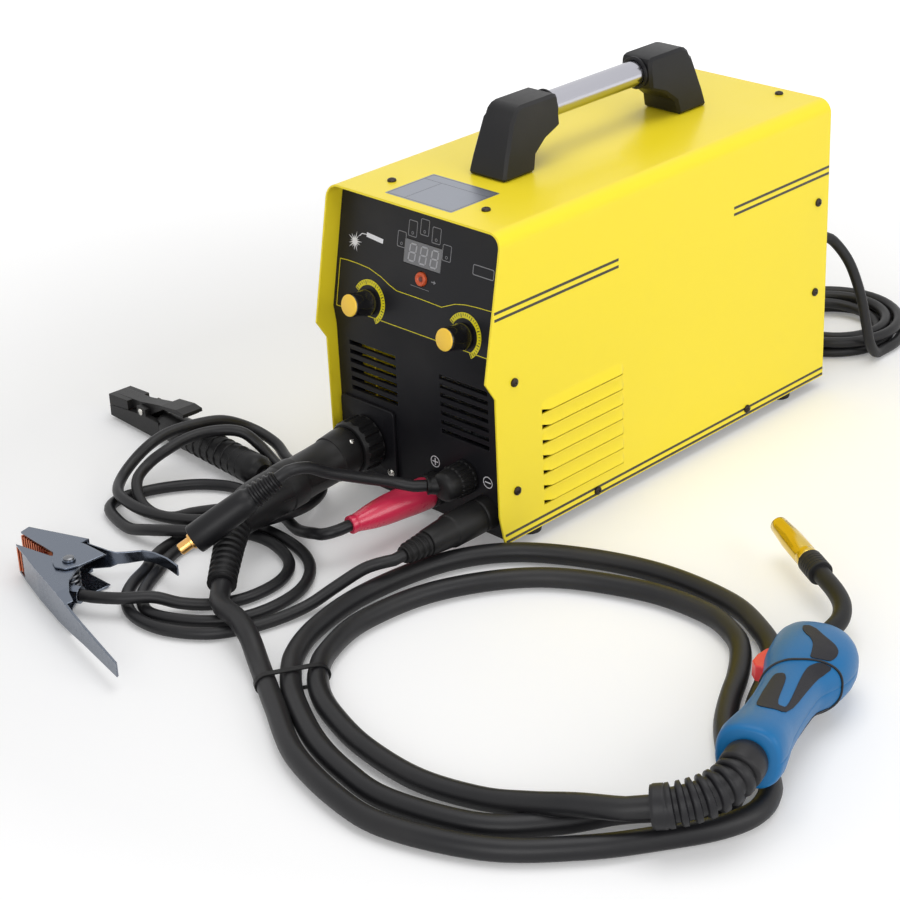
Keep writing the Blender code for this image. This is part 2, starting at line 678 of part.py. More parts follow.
def make_torch_connector():
    """The torch's own end: stem in the socket, shoulder under the nut, long grip, elbow and ribbed tail."""
    seat = FACE_Y - TORCH_SPIGOT_REACH - GAP
    lip = FACE_Y - COLLAR_START - COLLAR_LENGTH + COLLAR_LIP
    nut_end = FACE_Y - COLLAR_START - COLLAR_LENGTH
    stem = turned([(0, 0), (0, TORCH_BORE_RADIUS - 0.001), (-seat - 0.008, TORCH_BORE_RADIUS - 0.001),
                   (-seat - 0.008, COLLAR_BORE_RADIUS - 0.001), (-lip - 0.008 - GAP, COLLAR_BORE_RADIUS - 0.001),
                   (-lip - 0.008 - GAP, COLLAR_LIP_RADIUS - 0.0006),
                   (-nut_end - 0.008 + 0.004, COLLAR_LIP_RADIUS - 0.0006), (-nut_end - 0.008 + 0.004, 0)],
                  (TORCH_X, -0.008, TORCH_Z), (0, -1, 0), 20)
    grip_start = nut_end - GAP
    grip = [((TORCH_X, grip_start, TORCH_Z), 0.0170), ((TORCH_X, grip_start - 0.003, TORCH_Z), CONNECTOR_RADIUS),
            ((-0.0560, -0.0440, 0.0466), CONNECTOR_RADIUS), ((-0.0560, -0.0600, 0.0452), 0.0172),
            ((-0.0560, -0.0790, 0.0436), 0.0172), ((-0.0560, -0.0810, 0.0434), 0.0185),
            ((-0.0560, -0.0950, 0.0422), 0.0185), ((-0.0560, -0.0970, 0.0420), 0.0178),
            ((-0.0560, -0.1100, 0.0410), 0.0178), ((-0.0555, -0.1240, 0.0395), 0.0172),
            ((-0.0530, -0.1370, 0.0380), 0.0150), ((-0.0475, -0.1480, 0.0365), 0.0125)]
    tail = [((-0.0475, -0.1480, 0.0365), 0.0125), ((-0.0330, -0.1660, 0.0315), 0.0115),
            ((-0.0150, -0.1875, 0.0245), 0.0107), (CONNECTOR_END, 0.0107)]
    ribs = []
    for (first, wide), (second, narrow) in zip(tail, tail[1:]):
        start, end = Vector(first), Vector(second)
        count = max(1, round((end - start).length / 0.0075))
        for k in range(count):
            for share, change in ((0.15, 0.0), (0.30, -0.0012), (0.70, -0.0012), (0.85, 0.0)):
                at = (k + share) / count
                ribs.append((start.lerp(end, at), wide + (narrow - wide) * at + change))
    body = swept(grip[:-1] + ribs + [tail[-1]], 10)
    return finish(union(stem, body), "torch_connector", black_plastic())


def make_dinse_socket(name, x, z):
    """A round lead socket with its bore and the nut behind the panel."""
    socket = turned([(FACE_Y, SOCKET_STEM_RADIUS), (FACE_Y, SOCKET_RADIUS), (FACE_Y - SOCKET_REACH + 0.002, SOCKET_RADIUS),
                     (FACE_Y - SOCKET_REACH, SOCKET_RADIUS - 0.002), (FACE_Y - SOCKET_REACH, SOCKET_BORE_RADIUS),
                     (0.012, SOCKET_BORE_RADIUS), (0.012, SOCKET_STEM_RADIUS)],
                    (x, 0, z), (0, 1, 0), 16)
    return finish(socket, name, black_plastic())


def plug_on(name, x, z, stations, look):
    """A lead plug: its pin inside the socket's bore and a tapering sleeve outside."""
    seat = FACE_Y - SOCKET_REACH - GAP
    stem = [((x, -0.001, z), PLUG_PIN_RADIUS), ((x, seat, z), PLUG_PIN_RADIUS)]
    body = swept(stem + [((x, seat, z), stations[0][1])] + stations, 12)
    return finish(body, name, look)


def make_plugs():
    """The red electrode plug and the black ground plug with its ribbed neck."""
    seat = FACE_Y - SOCKET_REACH - GAP
    red = [((PLUS_X, seat - 0.003, PLUS_Z), 0.0126), ((0.0130, -0.028, PLUS_Z), 0.0122),
           ((0.0118, -0.040, PLUS_Z), 0.0115), ((0.0108, -0.052, PLUS_Z), 0.0112),
           ((0.0098, -0.066, PLUS_Z), 0.0096), ((0.0086, -0.078, PLUS_Z), 0.0072),
           ((0.0083, -0.081, PLUS_Z), 0.0068), (ELECTRODE_PLUG_END, 0.0068)]
    plug_on("electrode_plug", PLUS_X, PLUS_Z, red, material("red_sleeve", (0.62, 0.03, 0.06), 0.45))
    black = [((MINUS_X, seat - 0.003, MINUS_Z), 0.0130), ((MINUS_X, -0.042, MINUS_Z), 0.0130),
             ((MINUS_X, -0.044, MINUS_Z), 0.0118), ((MINUS_X, -0.064, MINUS_Z), 0.0100)]
    for k in range(4):
        y = -0.0660 - k * 0.0052
        radius = 0.0094 - k * 0.0005
        black += [((MINUS_X, y, MINUS_Z), radius), ((MINUS_X, y - 0.0022, MINUS_Z), radius),
                  ((MINUS_X, y - 0.0028, MINUS_Z), radius - 0.0015), ((MINUS_X, y - 0.0046, MINUS_Z), radius - 0.0015)]
    black.append((GROUND_PLUG_END, 0.0064))
    plug_on("ground_plug", MINUS_X, MINUS_Z, black, black_plastic())


def make_polarity_gland():
    """The gland of the short polarity lead: a domed cap with a side nozzle."""
    cap = turned([(FACE_Y, 0), (FACE_Y, GLAND_RADIUS), (-0.016, GLAND_RADIUS), (-0.0175, GLAND_RADIUS - 0.0015),
                  (-0.024, GLAND_RADIUS - 0.0015), (-0.0285, GLAND_RADIUS - 0.0050),
                  (FACE_Y - GLAND_REACH, 0.004), (FACE_Y - GLAND_REACH, 0)], (GLAND_X, 0, GLAND_Z), (0, 1, 0), 16)
    stem = cylinder((GLAND_X, FACE_Y - 0.001, GLAND_Z), (GLAND_X, 0.012, GLAND_Z), SOCKET_STEM_RADIUS, 16)
    nozzle = swept([((GLAND_X, -0.0170, GLAND_Z), 0.0075), ((0.0400, -0.0255, 0.0500), 0.0070),
                    (POLARITY_GLAND_END, 0.0066)], 12)
    return finish(union(cap, stem, nozzle), "polarity_gland", black_plastic())


def make_polarity_plug():
    """The loose plug of the polarity lead, with a ribbed neck and a brass pin with its locking lug."""
    rear = POLARITY_PLUG_REAR
    tip = POLARITY_PLUG_TIP
    way = (tip - rear).normalized()
    length = (tip - rear).length
    stations = [(rear, 0.0062)]
    for k in range(5):
        along = 0.0012 + k * 0.0044
        radius = 0.0076 + k * 0.0005
        stations += [(rear + way * along, radius), (rear + way * (along + 0.0018), radius),
                     (rear + way * (along + 0.0024), radius - 0.0013), (rear + way * (along + 0.0038), radius - 0.0013)]
    grip_end = length - 0.0125
    stations += [(rear + way * 0.0245, 0.0098), (rear + way * 0.040, 0.0108), (rear + way * grip_end, 0.0112)]
    grip = swept(stations, 10)
    pin = cylinder(rear + way * (grip_end - 0.002), tip, PLUG_PIN_RADIUS, 12)
    lug_side = way.orthogonal().normalized()
    middle = rear + way * (length - 0.004)
    lug = cylinder(middle, middle + lug_side * 0.0068, 0.0018, 8)
    return finish(union(grip, union(pin, lug)), "polarity_plug", black_plastic())


# --- Torch -----------------------------------------------------------------------------------------
HANDLE_TAIL = Vector((0.4200, -0.1460, 0.0420))
HANDLE_HEAD = Vector((0.3580, 0.0100, 0.0240))
TRIGGER_AT = 0.126                # along the handle from its tail


def handle_frame():
    """The torch handle's own axes: along it, toward the trigger, and up."""
    along = (HANDLE_HEAD - HANDLE_TAIL).normalized()
    side = Vector((0, 0, 1)).cross(along).normalized()
    up = along.cross(side)
    return along, side, up


def handle_point(along_by, side_by, up_by):
    along, side, up = handle_frame()
    return HANDLE_TAIL + along * along_by + side * side_by + up * up_by


def handle_block(along_range, side_range, up_range):
    """A block in the handle's own axes."""
    along, side, up = handle_frame()
    block = box((along_range[0], side_range[0], up_range[0]), (along_range[1], side_range[1], up_range[1]))
    turn = Matrix((along, side, up)).transposed().to_4x4()
    return moved(block, Matrix.Translation(HANDLE_TAIL) @ turn)


def make_torch_handle():
    """The pistol body lofted from rounded sections; each has its place, both sides and its height."""
    sections = ((0.000, 0.0180, 0.0180, 0.0180), (0.002, 0.0205, 0.0205, 0.0205), (0.012, 0.0215, 0.0215, 0.0210),
                (0.034, 0.0185, 0.0190, 0.0190), (0.060, 0.0165, 0.0185, 0.0185), (0.088, 0.0175, 0.0195, 0.0190),
                (0.104, 0.0195, 0.0225, 0.0198), (0.122, 0.0235, 0.0265, 0.0195), (0.142, 0.0235, 0.0255, 0.0185),
                (0.156, 0.0190, 0.0200, 0.0165), (0.166, 0.0130, 0.0135, 0.0130), (0.1685, 0.0095, 0.0095, 0.0095))
    bm = bmesh.new()
    rings = []
    count = 20
    for along_by, trigger_side, far_side, height in sections:
        ring = []
        for k in range(count):
            turn = 2 * math.pi * k / count
            across = math.copysign(abs(math.cos(turn)) ** 0.8, math.cos(turn))
            upward = math.copysign(abs(math.sin(turn)) ** 0.8, math.sin(turn))
            width = trigger_side if across > 0 else far_side
            ring.append(bm.verts.new(handle_point(along_by, across * width, upward * height)))
        rings.append(ring)
    body = skinned(bm, rings)
    slot = handle_block((TRIGGER_AT - 0.018, TRIGGER_AT + 0.018), (0.0120, 0.040), (-0.0062, 0.0062))
    return finish(cut(body, slot), "torch_handle", material("blue_plastic", (0.02, 0.20, 0.52), 0.4), smooth_angle=50)


def make_torch_trigger():
    """The trigger in the handle's slot, on a pivot near its head end."""
    along, side, up = handle_frame()
    outline = [(-0.0165, 0.0165), (-0.0150, 0.0270), (-0.0080, 0.0310), (0.0020, 0.0305), (0.0120, 0.0275),
               (0.0165, 0.0240), (0.0165, 0.0165)]
    lever = prism(outline, "Z", -0.0056, 0.0056)
    turn = Matrix((along, side, up)).transposed().to_4x4()
    lever = moved(lever, Matrix.Translation(HANDLE_TAIL + along * TRIGGER_AT) @ turn)
    return finish(lever, "torch_trigger", material("red_plastic", (0.80, 0.07, 0.06), 0.4),
                  handle_point(TRIGGER_AT + 0.0150, 0.0190, 0.0))


def make_torch_neck():
    """The bent neck with the insulator and the contact tip at its end."""
    along, _, _ = handle_frame()
    start = handle_point(0.1685 + GAP, 0.0, 0.0)
    stations = [(start, 0.0065), (start + along * 0.014, 0.0065), ((0.3495, 0.0440, 0.0232), 0.0065),
                ((0.3410, 0.0590, 0.0245), 0.0065), ((0.3280, 0.0700, 0.0255), 0.0065),
                ((0.3120, 0.0795, 0.0260), 0.0065), ((0.3060, 0.0830, 0.0260), 0.0065),
                ((0.3055, 0.0833, 0.0260), 0.0090), ((0.2885, 0.0932, 0.0260), 0.0090),
                ((0.2880, 0.0935, 0.0260), 0.0034), ((0.2480, 0.1165, 0.0260), 0.0034)]
    return finish(swept(stations, 14), "torch_neck", black_plastic())


def make_gas_nozzle():
    """The gas nozzle: a tapering tube round the contact tip."""
    base = Vector((0.2877, 0.0937, 0.0260))
    mouth = Vector((0.2400, 0.1210, 0.0260))
    run = mouth - base
    ring = turned([(0, 0.0062), (0, 0.0082), (run.length * 0.55, 0.0082), (run.length, 0.0066), (run.length, 0.0052),
                   (run.length * 0.6, 0.0062)], base, run, 20)
    return finish(ring, "gas_nozzle", brass())


def make_bend_protector():
    """The ribbed sleeve that lets the cable leave the handle in a curve."""
    route = [handle_point(-GAP, 0, 0), handle_point(-0.0050, 0, 0), handle_point(-0.0100, 0, 0),
             (0.4255, -0.1680, 0.0400), (0.4220, -0.1810, 0.0366), (0.4150, -0.1925, 0.0337),
             PROTECTOR_END - PROTECTOR_WAY * 0.0100, PROTECTOR_END - PROTECTOR_WAY * 0.0050, PROTECTOR_END]
    points = smooth_route(route, 0.0027)
    stations = []
    for k, point in enumerate(points):
        ridge = k % 3 != 2 or k < 2 or k > len(points) - 2
        stations.append((point, 0.0142 if ridge else 0.0118))
    return finish(swept(stations, 12), "bend_protector", cable_rubber())


# --- Holder and ground clamp -----------------------------------------------------------------------
def make_holder():
    """The electrode holder on its side: body with lower jaw and grip, and the sprung lever above."""
    turn = HOLDER_TURN
    grip = swept([((0.066, 0, 0.0135), 0.0095), ((0.074, 0, 0.0135), 0.0118), ((0.090, 0, 0.0135), 0.0128),
                  ((0.120, 0, 0.0138), 0.0122), ((0.150, 0, 0.0138), 0.0122), ((0.185, 0, 0.0138), 0.0130),
                  ((0.1945, 0, 0.0138), 0.0130), ((0.1965, 0, 0.0140), 0.0110), ((0.2005, 0, 0.0140), 0.0080)], 12)
    jaw = prism([(0.000, 0.0030), (0.072, 0.0030), (0.072, 0.0190), (0.052, 0.0190), (0.030, 0.0165),
                 (0.000, 0.0125)], "Y", -0.0110, 0.0110)
    slot = box((0.034, -0.0062, 0.0090), (0.062, 0.0062, 0.0300))
    cheeks = [box((0.042, side - 0.0024, 0.0150), (0.054, side + 0.0024, 0.0250)) for side in (-0.0086, 0.0086)]
    pin = cylinder((0.048, -0.0100, 0.0215), (0.048, 0.0100, 0.0215), 0.0018, 10)
    body = union(cut(union(grip, jaw), slot), union(merged(cheeks), pin))
    finish(moved(body, turn), "holder_body", black_plastic())

    lever = prism([(0.000, 0.0128), (0.028, 0.0168), (0.040, 0.0185), (0.044, 0.0172), (0.052, 0.0172),
                   (0.060, 0.0226), (0.078, 0.0322), (0.100, 0.0345), (0.108, 0.0345), (0.108, 0.0375),
                   (0.098, 0.0385), (0.060, 0.0305), (0.040, 0.0265), (0.000, 0.0225)], "Y", -0.0058, 0.0058)
    bore = cylinder((0.048, -0.02, 0.0215), (0.048, 0.02, 0.0215), 0.0022, 12)
    head = prism([(0.000, 0.0128), (0.028, 0.0168), (0.028, 0.0250), (0.000, 0.0225)], "Y", -0.0110, 0.0110)
    pad = prism([(0.076, 0.0333), (0.100, 0.0348), (0.108, 0.0348), (0.108, 0.0378), (0.098, 0.0388),
                 (0.076, 0.0356)], "Y", -0.0095, 0.0095)
    lever = cut(union(lever, head, pad), bore)
    finish(moved(lever, turn), "holder_lever", black_plastic(), turn @ Vector((0.048, 0, 0.0215)))


CLAMP_PIVOT = Vector((-0.1110, -0.2510, 0.0145))
CLAMP_MIDDLE = 0.0145
CLAMP_HALF_OUTER = 0.0139
CLAMP_HALF_INNER = 0.0120
CLAMP_SHEET = 0.0016
CLAMP_PIN_RADIUS = 0.003


def clamp_channel(outline, hollow, half):
    """A pressed half: side plates joined by a web along the outer edge."""
    shell = prism(outline, "Z", CLAMP_MIDDLE - half, CLAMP_MIDDLE + half)
    return cut(shell, prism(hollow, "Z", CLAMP_MIDDLE - half + CLAMP_SHEET, CLAMP_MIDDLE + half - CLAMP_SHEET))


def make_ground_clamp():
    """The sprung clamp on its side: the fixed half carries the lead and the pivot, the other turns."""
    upper = [(-0.1760, -0.2395), (-0.1500, -0.2300), (-0.1240, -0.2208), (-0.1120, -0.2150), (-0.1040, -0.2060),
             (-0.0970, -0.1960), (-0.0880, -0.1925), (-0.0740, -0.1915), (-0.0590, -0.1935), (-0.0575, -0.1990),
             (-0.0740, -0.1972), (-0.0870, -0.1984), (-0.0925, -0.2020), (-0.0960, -0.2120), (-0.0985, -0.2300),
             (-0.0990, -0.2500), (-0.1030, -0.2600), (-0.1110, -0.2635), (-0.1190, -0.2600), (-0.1300, -0.2510),
             (-0.1740, -0.2483)]
    hollow = [(-0.1800, -0.2425), (-0.1500, -0.2318), (-0.1236, -0.2225), (-0.1110, -0.2164), (-0.1026, -0.2072),
              (-0.0960, -0.1976), (-0.0875, -0.1942), (-0.0740, -0.1932), (-0.0560, -0.1956), (-0.0400, -0.2050),
              (-0.0800, -0.2900), (-0.1900, -0.2700)]
    half = clamp_channel(upper, hollow, CLAMP_HALF_OUTER)
    for sign in (1, -1):
        trim = [(-0.2300, 0.0142), (-0.2120, 0.0049), (-0.1990, 0.0043), (-0.1850, 0.0043), (-0.1850, 0.0300),
                (-0.2300, 0.0300)]
        outline = [(y, CLAMP_MIDDLE + sign * height) for y, height in trim]
        half = cut(half, prism(outline, "X", -0.1260, -0.0400))
    bore = cylinder((CLAMP_PIVOT.x, CLAMP_PIVOT.y, -0.01), (CLAMP_PIVOT.x, CLAMP_PIVOT.y, 0.05),
                    CLAMP_PIN_RADIUS + 0.0004, 14)
    finish(cut(half, bore), "clamp_upper", zinc_steel(), CLAMP_PIVOT)

    lower = [(-0.1640, -0.2600), (-0.1300, -0.2540), (-0.1200, -0.2450), (-0.1110, -0.2400), (-0.1020, -0.2450),
             (-0.0990, -0.2540), (-0.0900, -0.2670), (-0.0770, -0.2765), (-0.0550, -0.2860), (-0.0150, -0.2985),
             (0.0140, -0.3035), (0.0165, -0.3085), (-0.0600, -0.2900), (-0.1200, -0.2738)]
    hollow = [(-0.1700, -0.2592), (-0.1196, -0.2720), (-0.0596, -0.2882), (0.0200, -0.3075), (0.0300, -0.2900),
              (-0.0500, -0.2300), (-0.1800, -0.2300)]
    half = clamp_channel(lower, hollow, CLAMP_HALF_INNER)
    for sign in (1, -1):
        trim = [(-0.0850, 0.0122), (-0.0400, 0.0080), (0.0300, 0.0045), (0.0300, 0.0300), (-0.0850, 0.0300)]
        outline = [(x, CLAMP_MIDDLE + sign * height) for x, height in trim]
        half = cut(half, prism(outline, "Y", -0.3300, -0.2500))
    head_low = CLAMP_MIDDLE + CLAMP_HALF_OUTER + GAP
    pin = turned([(0.0008, 0), (0.0008, CLAMP_PIN_RADIUS), (head_low, CLAMP_PIN_RADIUS), (head_low, 0.005),
                  (0.0300, 0.005), (0.0300, 0)], (CLAMP_PIVOT.x, CLAMP_PIVOT.y, 0), (0, 0, 1), 14)
    boot = swept([(BOOT_START, 0.0065), (BOOT_END, 0.0065)], 12)
    strap = box((-0.1000, -0.2722, CLAMP_MIDDLE - 0.0112), (-0.0950, -0.2640, CLAMP_MIDDLE + 0.0112))
    finish(union(half, pin, union(strap, boot)), "clamp_lower", zinc_steel())


# --- Carrying handle -------------------------------------------------------------------------------
def make_carrying_handle():
    """Two leaning posts with a bright tube between them."""
    base = TOP_Z + GAP
    top = TOP_Z + HANDLE_POST_TOP
    outer = HANDLE_POST_OUTER
    foot = outer - HANDLE_POST_FOOT
    mouth = HANDLE_POST_MOUTH
    low = HANDLE_TUBE_Z - HANDLE_TUBE_RADIUS - 0.0015
    side = ([(outer, base), (outer - 0.004, base + 0.014), (outer - 0.014, top - 0.010)]
            + arc((outer - 0.026, top - 0.010), 0.010, 10, 90, 3)
            + arc((mouth + 0.004, top - 0.004), 0.004, 90, 180, 2)
            + [(mouth, low), (mouth + 0.016, low - 0.006), (foot - 0.003, base + 0.012), (foot, base)])
    for name, sign in (("handle_front_post", -1), ("handle_rear_post", 1)):
        outline = [(HANDLE_MIDDLE_Y + sign * y, z) for y, z in side]
        post = prism(outline, "X", -HANDLE_POST_HALF_WIDTH, HANDLE_POST_HALF_WIDTH)
        for vertex in post.data.vertices:
            rise = (vertex.co.z - base) / HANDLE_POST_TOP
            vertex.co.x *= 1.0 - 0.24 * rise
        edges = post.modifiers.new("round_edges", "BEVEL")
        edges.width = 0.0022
        edges.segments = 1
        edges.limit_method = "ANGLE"
        edges.angle_limit = math.radians(60)
        y = HANDLE_MIDDLE_Y + sign * mouth
        socket = cylinder((0, y - sign * 0.01, HANDLE_TUBE_Z), (0, y + sign * HANDLE_SEAT_DEPTH, HANDLE_TUBE_Z),
                          HANDLE_TUBE_RADIUS + GAP, 24)
        finish(cut(post, socket), name, black_plastic())
    reach = HANDLE_POST_MOUTH + HANDLE_SEAT_DEPTH - GAP
    bar = cylinder((0, HANDLE_MIDDLE_Y - reach, HANDLE_TUBE_Z), (0, HANDLE_MIDDLE_Y + reach, HANDLE_TUBE_Z),
                   HANDLE_TUBE_RADIUS, 24)
    finish(bar, "handle_tube", material("chrome_tube", (0.75, 0.75, 0.76), 0.12, 1.0))


# --- Rear ------------------------------------------------------------------------------------------
def make_rear_panel():
    """The rear sheet with its turned rim, fan guard slots, rocker opening and gland hole."""
    half = INNER_HALF - GAP
    top = INNER_TOP - GAP
    radius = FOLD_RADIUS - SHEET
    back = REAR_SHEET_Y + SHEET
    front = back - REAR_RIM
    frame = (arc((half - radius, top - radius), radius, 0, 90, 5)
             + arc((-half + radius, top - radius), radius, 90, 180, 5) + [(-half, FLOOR_Z), (half, FLOOR_Z)])
    panel = prism(frame, "Y", front, back)
    inside = box((-half + SHEET, front - 0.01, FLOOR_Z + SHEET), (half - SHEET, REAR_SHEET_Y, top - radius))
    upper = box((-half + radius, front - 0.01, top - radius - 0.002), (half - radius, REAR_SHEET_Y, top - SHEET))
    slots = []
    pitch = 0.0080
    for k in range(-4, 5):
        z = FAN_Z + k * pitch
        chord = math.sqrt(max((FAN_BORE_RADIUS - 0.001) ** 2 - (abs(k) * pitch + 0.0025) ** 2, 0.0))
        if chord > 0.004:
            slots.append(box((FAN_X - chord, back - 0.006, z - 0.0025), (FAN_X + chord, back + 0.006, z + 0.0025)))
    rocker_hole = box((ROCKER_X - ROCKER_WIDTH / 2 - 0.0004, back - 0.01, ROCKER_Z - ROCKER_HEIGHT / 2 - 0.0010),
                      (ROCKER_X + ROCKER_WIDTH / 2 + 0.0004, back + 0.01, ROCKER_Z + ROCKER_HEIGHT / 2 + 0.0010))
    gland_hole = cylinder((MAINS_X, back - 0.02, MAINS_Z), (MAINS_X, back + 0.02, MAINS_Z), 0.0078 + GAP, 16)
    return finish(cut(panel, inside, upper, merged(slots), rocker_hole, gland_hole), "rear_panel", yellow_paint())


def make_power_rocker():
    """The power switch's rocker, tilting about a cross axis in the rear sheet."""
    y = REAR_SHEET_Y
    half = ROCKER_HEIGHT / 2
    outline = [(y - 0.0095, ROCKER_Z - half * 0.45), (y + 0.0010, ROCKER_Z - half), (y + 0.0022, ROCKER_Z - half),
               (y + 0.0012, ROCKER_Z), (y + 0.0044, ROCKER_Z + half * 0.9), (y + 0.0010, ROCKER_Z + half),
               (y - 0.0095, ROCKER_Z + half * 0.45)]
    rocker = prism(outline, "X", ROCKER_X - ROCKER_WIDTH / 2, ROCKER_X + ROCKER_WIDTH / 2)
    return finish(rocker, "power_rocker", black_plastic(), (ROCKER_X, y, ROCKER_Z))


def make_mains():
    """Gland, hanging cord, the coil behind the case and the plug."""
    back = REAR_SHEET_Y + SHEET
    gland = turned([(-0.008, 0), (-0.008, 0.0078), (GAP, 0.0078), (GAP, 0.0110), (0.0055, 0.0110),
                    (0.0060, 0.0098), (0.0150, 0.0098), (0.0190, 0.0072), (MAINS_GLAND_REACH, 0.0068),
                    (MAINS_GLAND_REACH, 0)], (MAINS_X, back, MAINS_Z), (0, 1, 0), 16)
    finish(gland, "mains_gland", black_plastic())

    coil_start = Vector((COIL_X + COIL_RADIUS, COIL_Y - 2 * LEAD_RADIUS, COIL_LOW))
    points = lead_points(Vector((MAINS_X, back + MAINS_GLAND_REACH, MAINS_Z)), Vector((0, 1, 0)), MAINS_CORD_ROUTE,
                         coil_start, Vector((0, -1, 0)), LEAD_RADIUS, 0.012)
    tube("mains_cord", points, LEAD_RADIUS, cable_rubber())

    x, y, z = MAINS_PLUG_END
    turns = coil_points()
    points = [coil_start] + turns[:-1]
    points += lead_points(turns[-1], Vector((0, -1, 0)), COIL_TAIL_ROUTE, MAINS_PLUG_END, Vector((1, 0, 0)),
                          LEAD_RADIUS, 0.010)
    print("mains coil: least gap to itself %.2f mm" % (least_gap(points, LEAD_RADIUS) * 1000))
    tube("mains_coil", points, LEAD_RADIUS, cable_rubber(), resolution=1)

    grip = swept([((x, y, z), 0.0062), ((x - 0.010, y, z), 0.0072), ((x - 0.0150, y, z), 0.0120),
                  ((x - 0.0240, y, z), 0.0165), ((x - 0.0370, y, z), 0.0180), ((x - 0.0390, y, z), 0.0190),
                  ((x - 0.0450, y, z), 0.0190)], 16)
    pins = [cylinder((x - 0.0440, y + side, z), (x - 0.0640, y + side, z), 0.0024, 10) for side in (-0.0095, 0.0095)]
    finish(union(grip, merged(pins)), "mains_plug", black_plastic())


COIL_X = 0.030
COIL_Y = 0.474
COIL_RADIUS = 0.062
COIL_TURNS = 2.0                  # inward on the floor, then as many outward on top
COIL_PITCH = 0.0108
COIL_POINTS = 16                  # for each turn
COIL_LOW = 0.0047                 # height of the first layer's middle
COIL_RISE = 0.0100                # and of the second above it
MAINS_PLUG_END = Vector((-0.0850, 0.4300, 0.0195))
MAINS_CORD_ROUTE = [(0.0650, 0.4220, 0.1115), (0.0760, 0.4310, 0.0920), (0.0860, 0.4350, 0.0640), (0.0915, 0.4370, 0.0380),
                    (0.0935, 0.4410, 0.0190), (0.0930, 0.4490, 0.0085)]
COIL_TAIL_ROUTE = [(-0.0335, 0.4560, 0.0150), (-0.0390, 0.4440, 0.0158), (-0.0490, 0.4350, 0.0170), (-0.0610, 0.4310, 0.0184)]


def coil_points():
    """The coil's one unbroken spiral: inward on the floor, up in half a turn, outward on top."""
    points = []
    total = 2 * COIL_TURNS + 0.5
    for k in range(round(total * COIL_POINTS) + 1):
        turn = k / COIL_POINTS
        inward = min(turn, total - turn)
        rise = min(max((turn - COIL_TURNS) / 0.5, 0.0), 1.0)
        radius = COIL_RADIUS - COIL_PITCH * inward
        angle = 2 * math.pi * turn
        points.append(Vector((COIL_X + radius * math.cos(angle), COIL_Y + radius * math.sin(angle),
                              COIL_LOW + COIL_RISE * rise)))
    return points


def least_gap(points, radius):
    """The smallest clear space between stretches of one cord that aren't neighbours."""
    fine = smooth_route(points, radius)
    skip = 8
    least = 1.0
    for k, point in enumerate(fine):
        for other in fine[k + skip:]:
            least = min(least, (other - point).length)
    return least - 2 * radius


# --- Inside the case -------------------------------------------------------------------------------
def make_divider():
    """The upright sheet between feeder and electronics, with a foot and a shelf for the board."""
    back = DIVIDER_X + DIVIDER_SHEET
    section = [(DIVIDER_X, FLOOR_Z), (DIVIDER_X + FLANGE_WIDTH, FLOOR_Z),
               (DIVIDER_X + FLANGE_WIDTH, FLOOR_Z + DIVIDER_SHEET), (back, FLOOR_Z + DIVIDER_SHEET),
               (back, SHELF_Z), (INNER_HALF - 0.004, SHELF_Z), (INNER_HALF - 0.004, SHELF_Z + DIVIDER_SHEET),
               (DIVIDER_X, SHELF_Z + DIVIDER_SHEET)]
    sheet = prism(section, "Y", DIVIDER_FRONT, DIVIDER_REAR)
    motor_hole = cylinder((DIVIDER_X - 0.01, ROLL_Y, DRIVE_ROLL_Z), (DIVIDER_X + 0.01, ROLL_Y, DRIVE_ROLL_Z),
                          MOTOR_RADIUS + 0.001, 20)
    return finish(cut(sheet, motor_hole), "divider", zinc_steel())


DRIVE_ROLL_Z = TORCH_Z - WIRE_RADIUS - DRIVE_ROLL_RADIUS
PRESSURE_ROLL_Z = TORCH_Z + WIRE_RADIUS + PRESSURE_ROLL_RADIUS


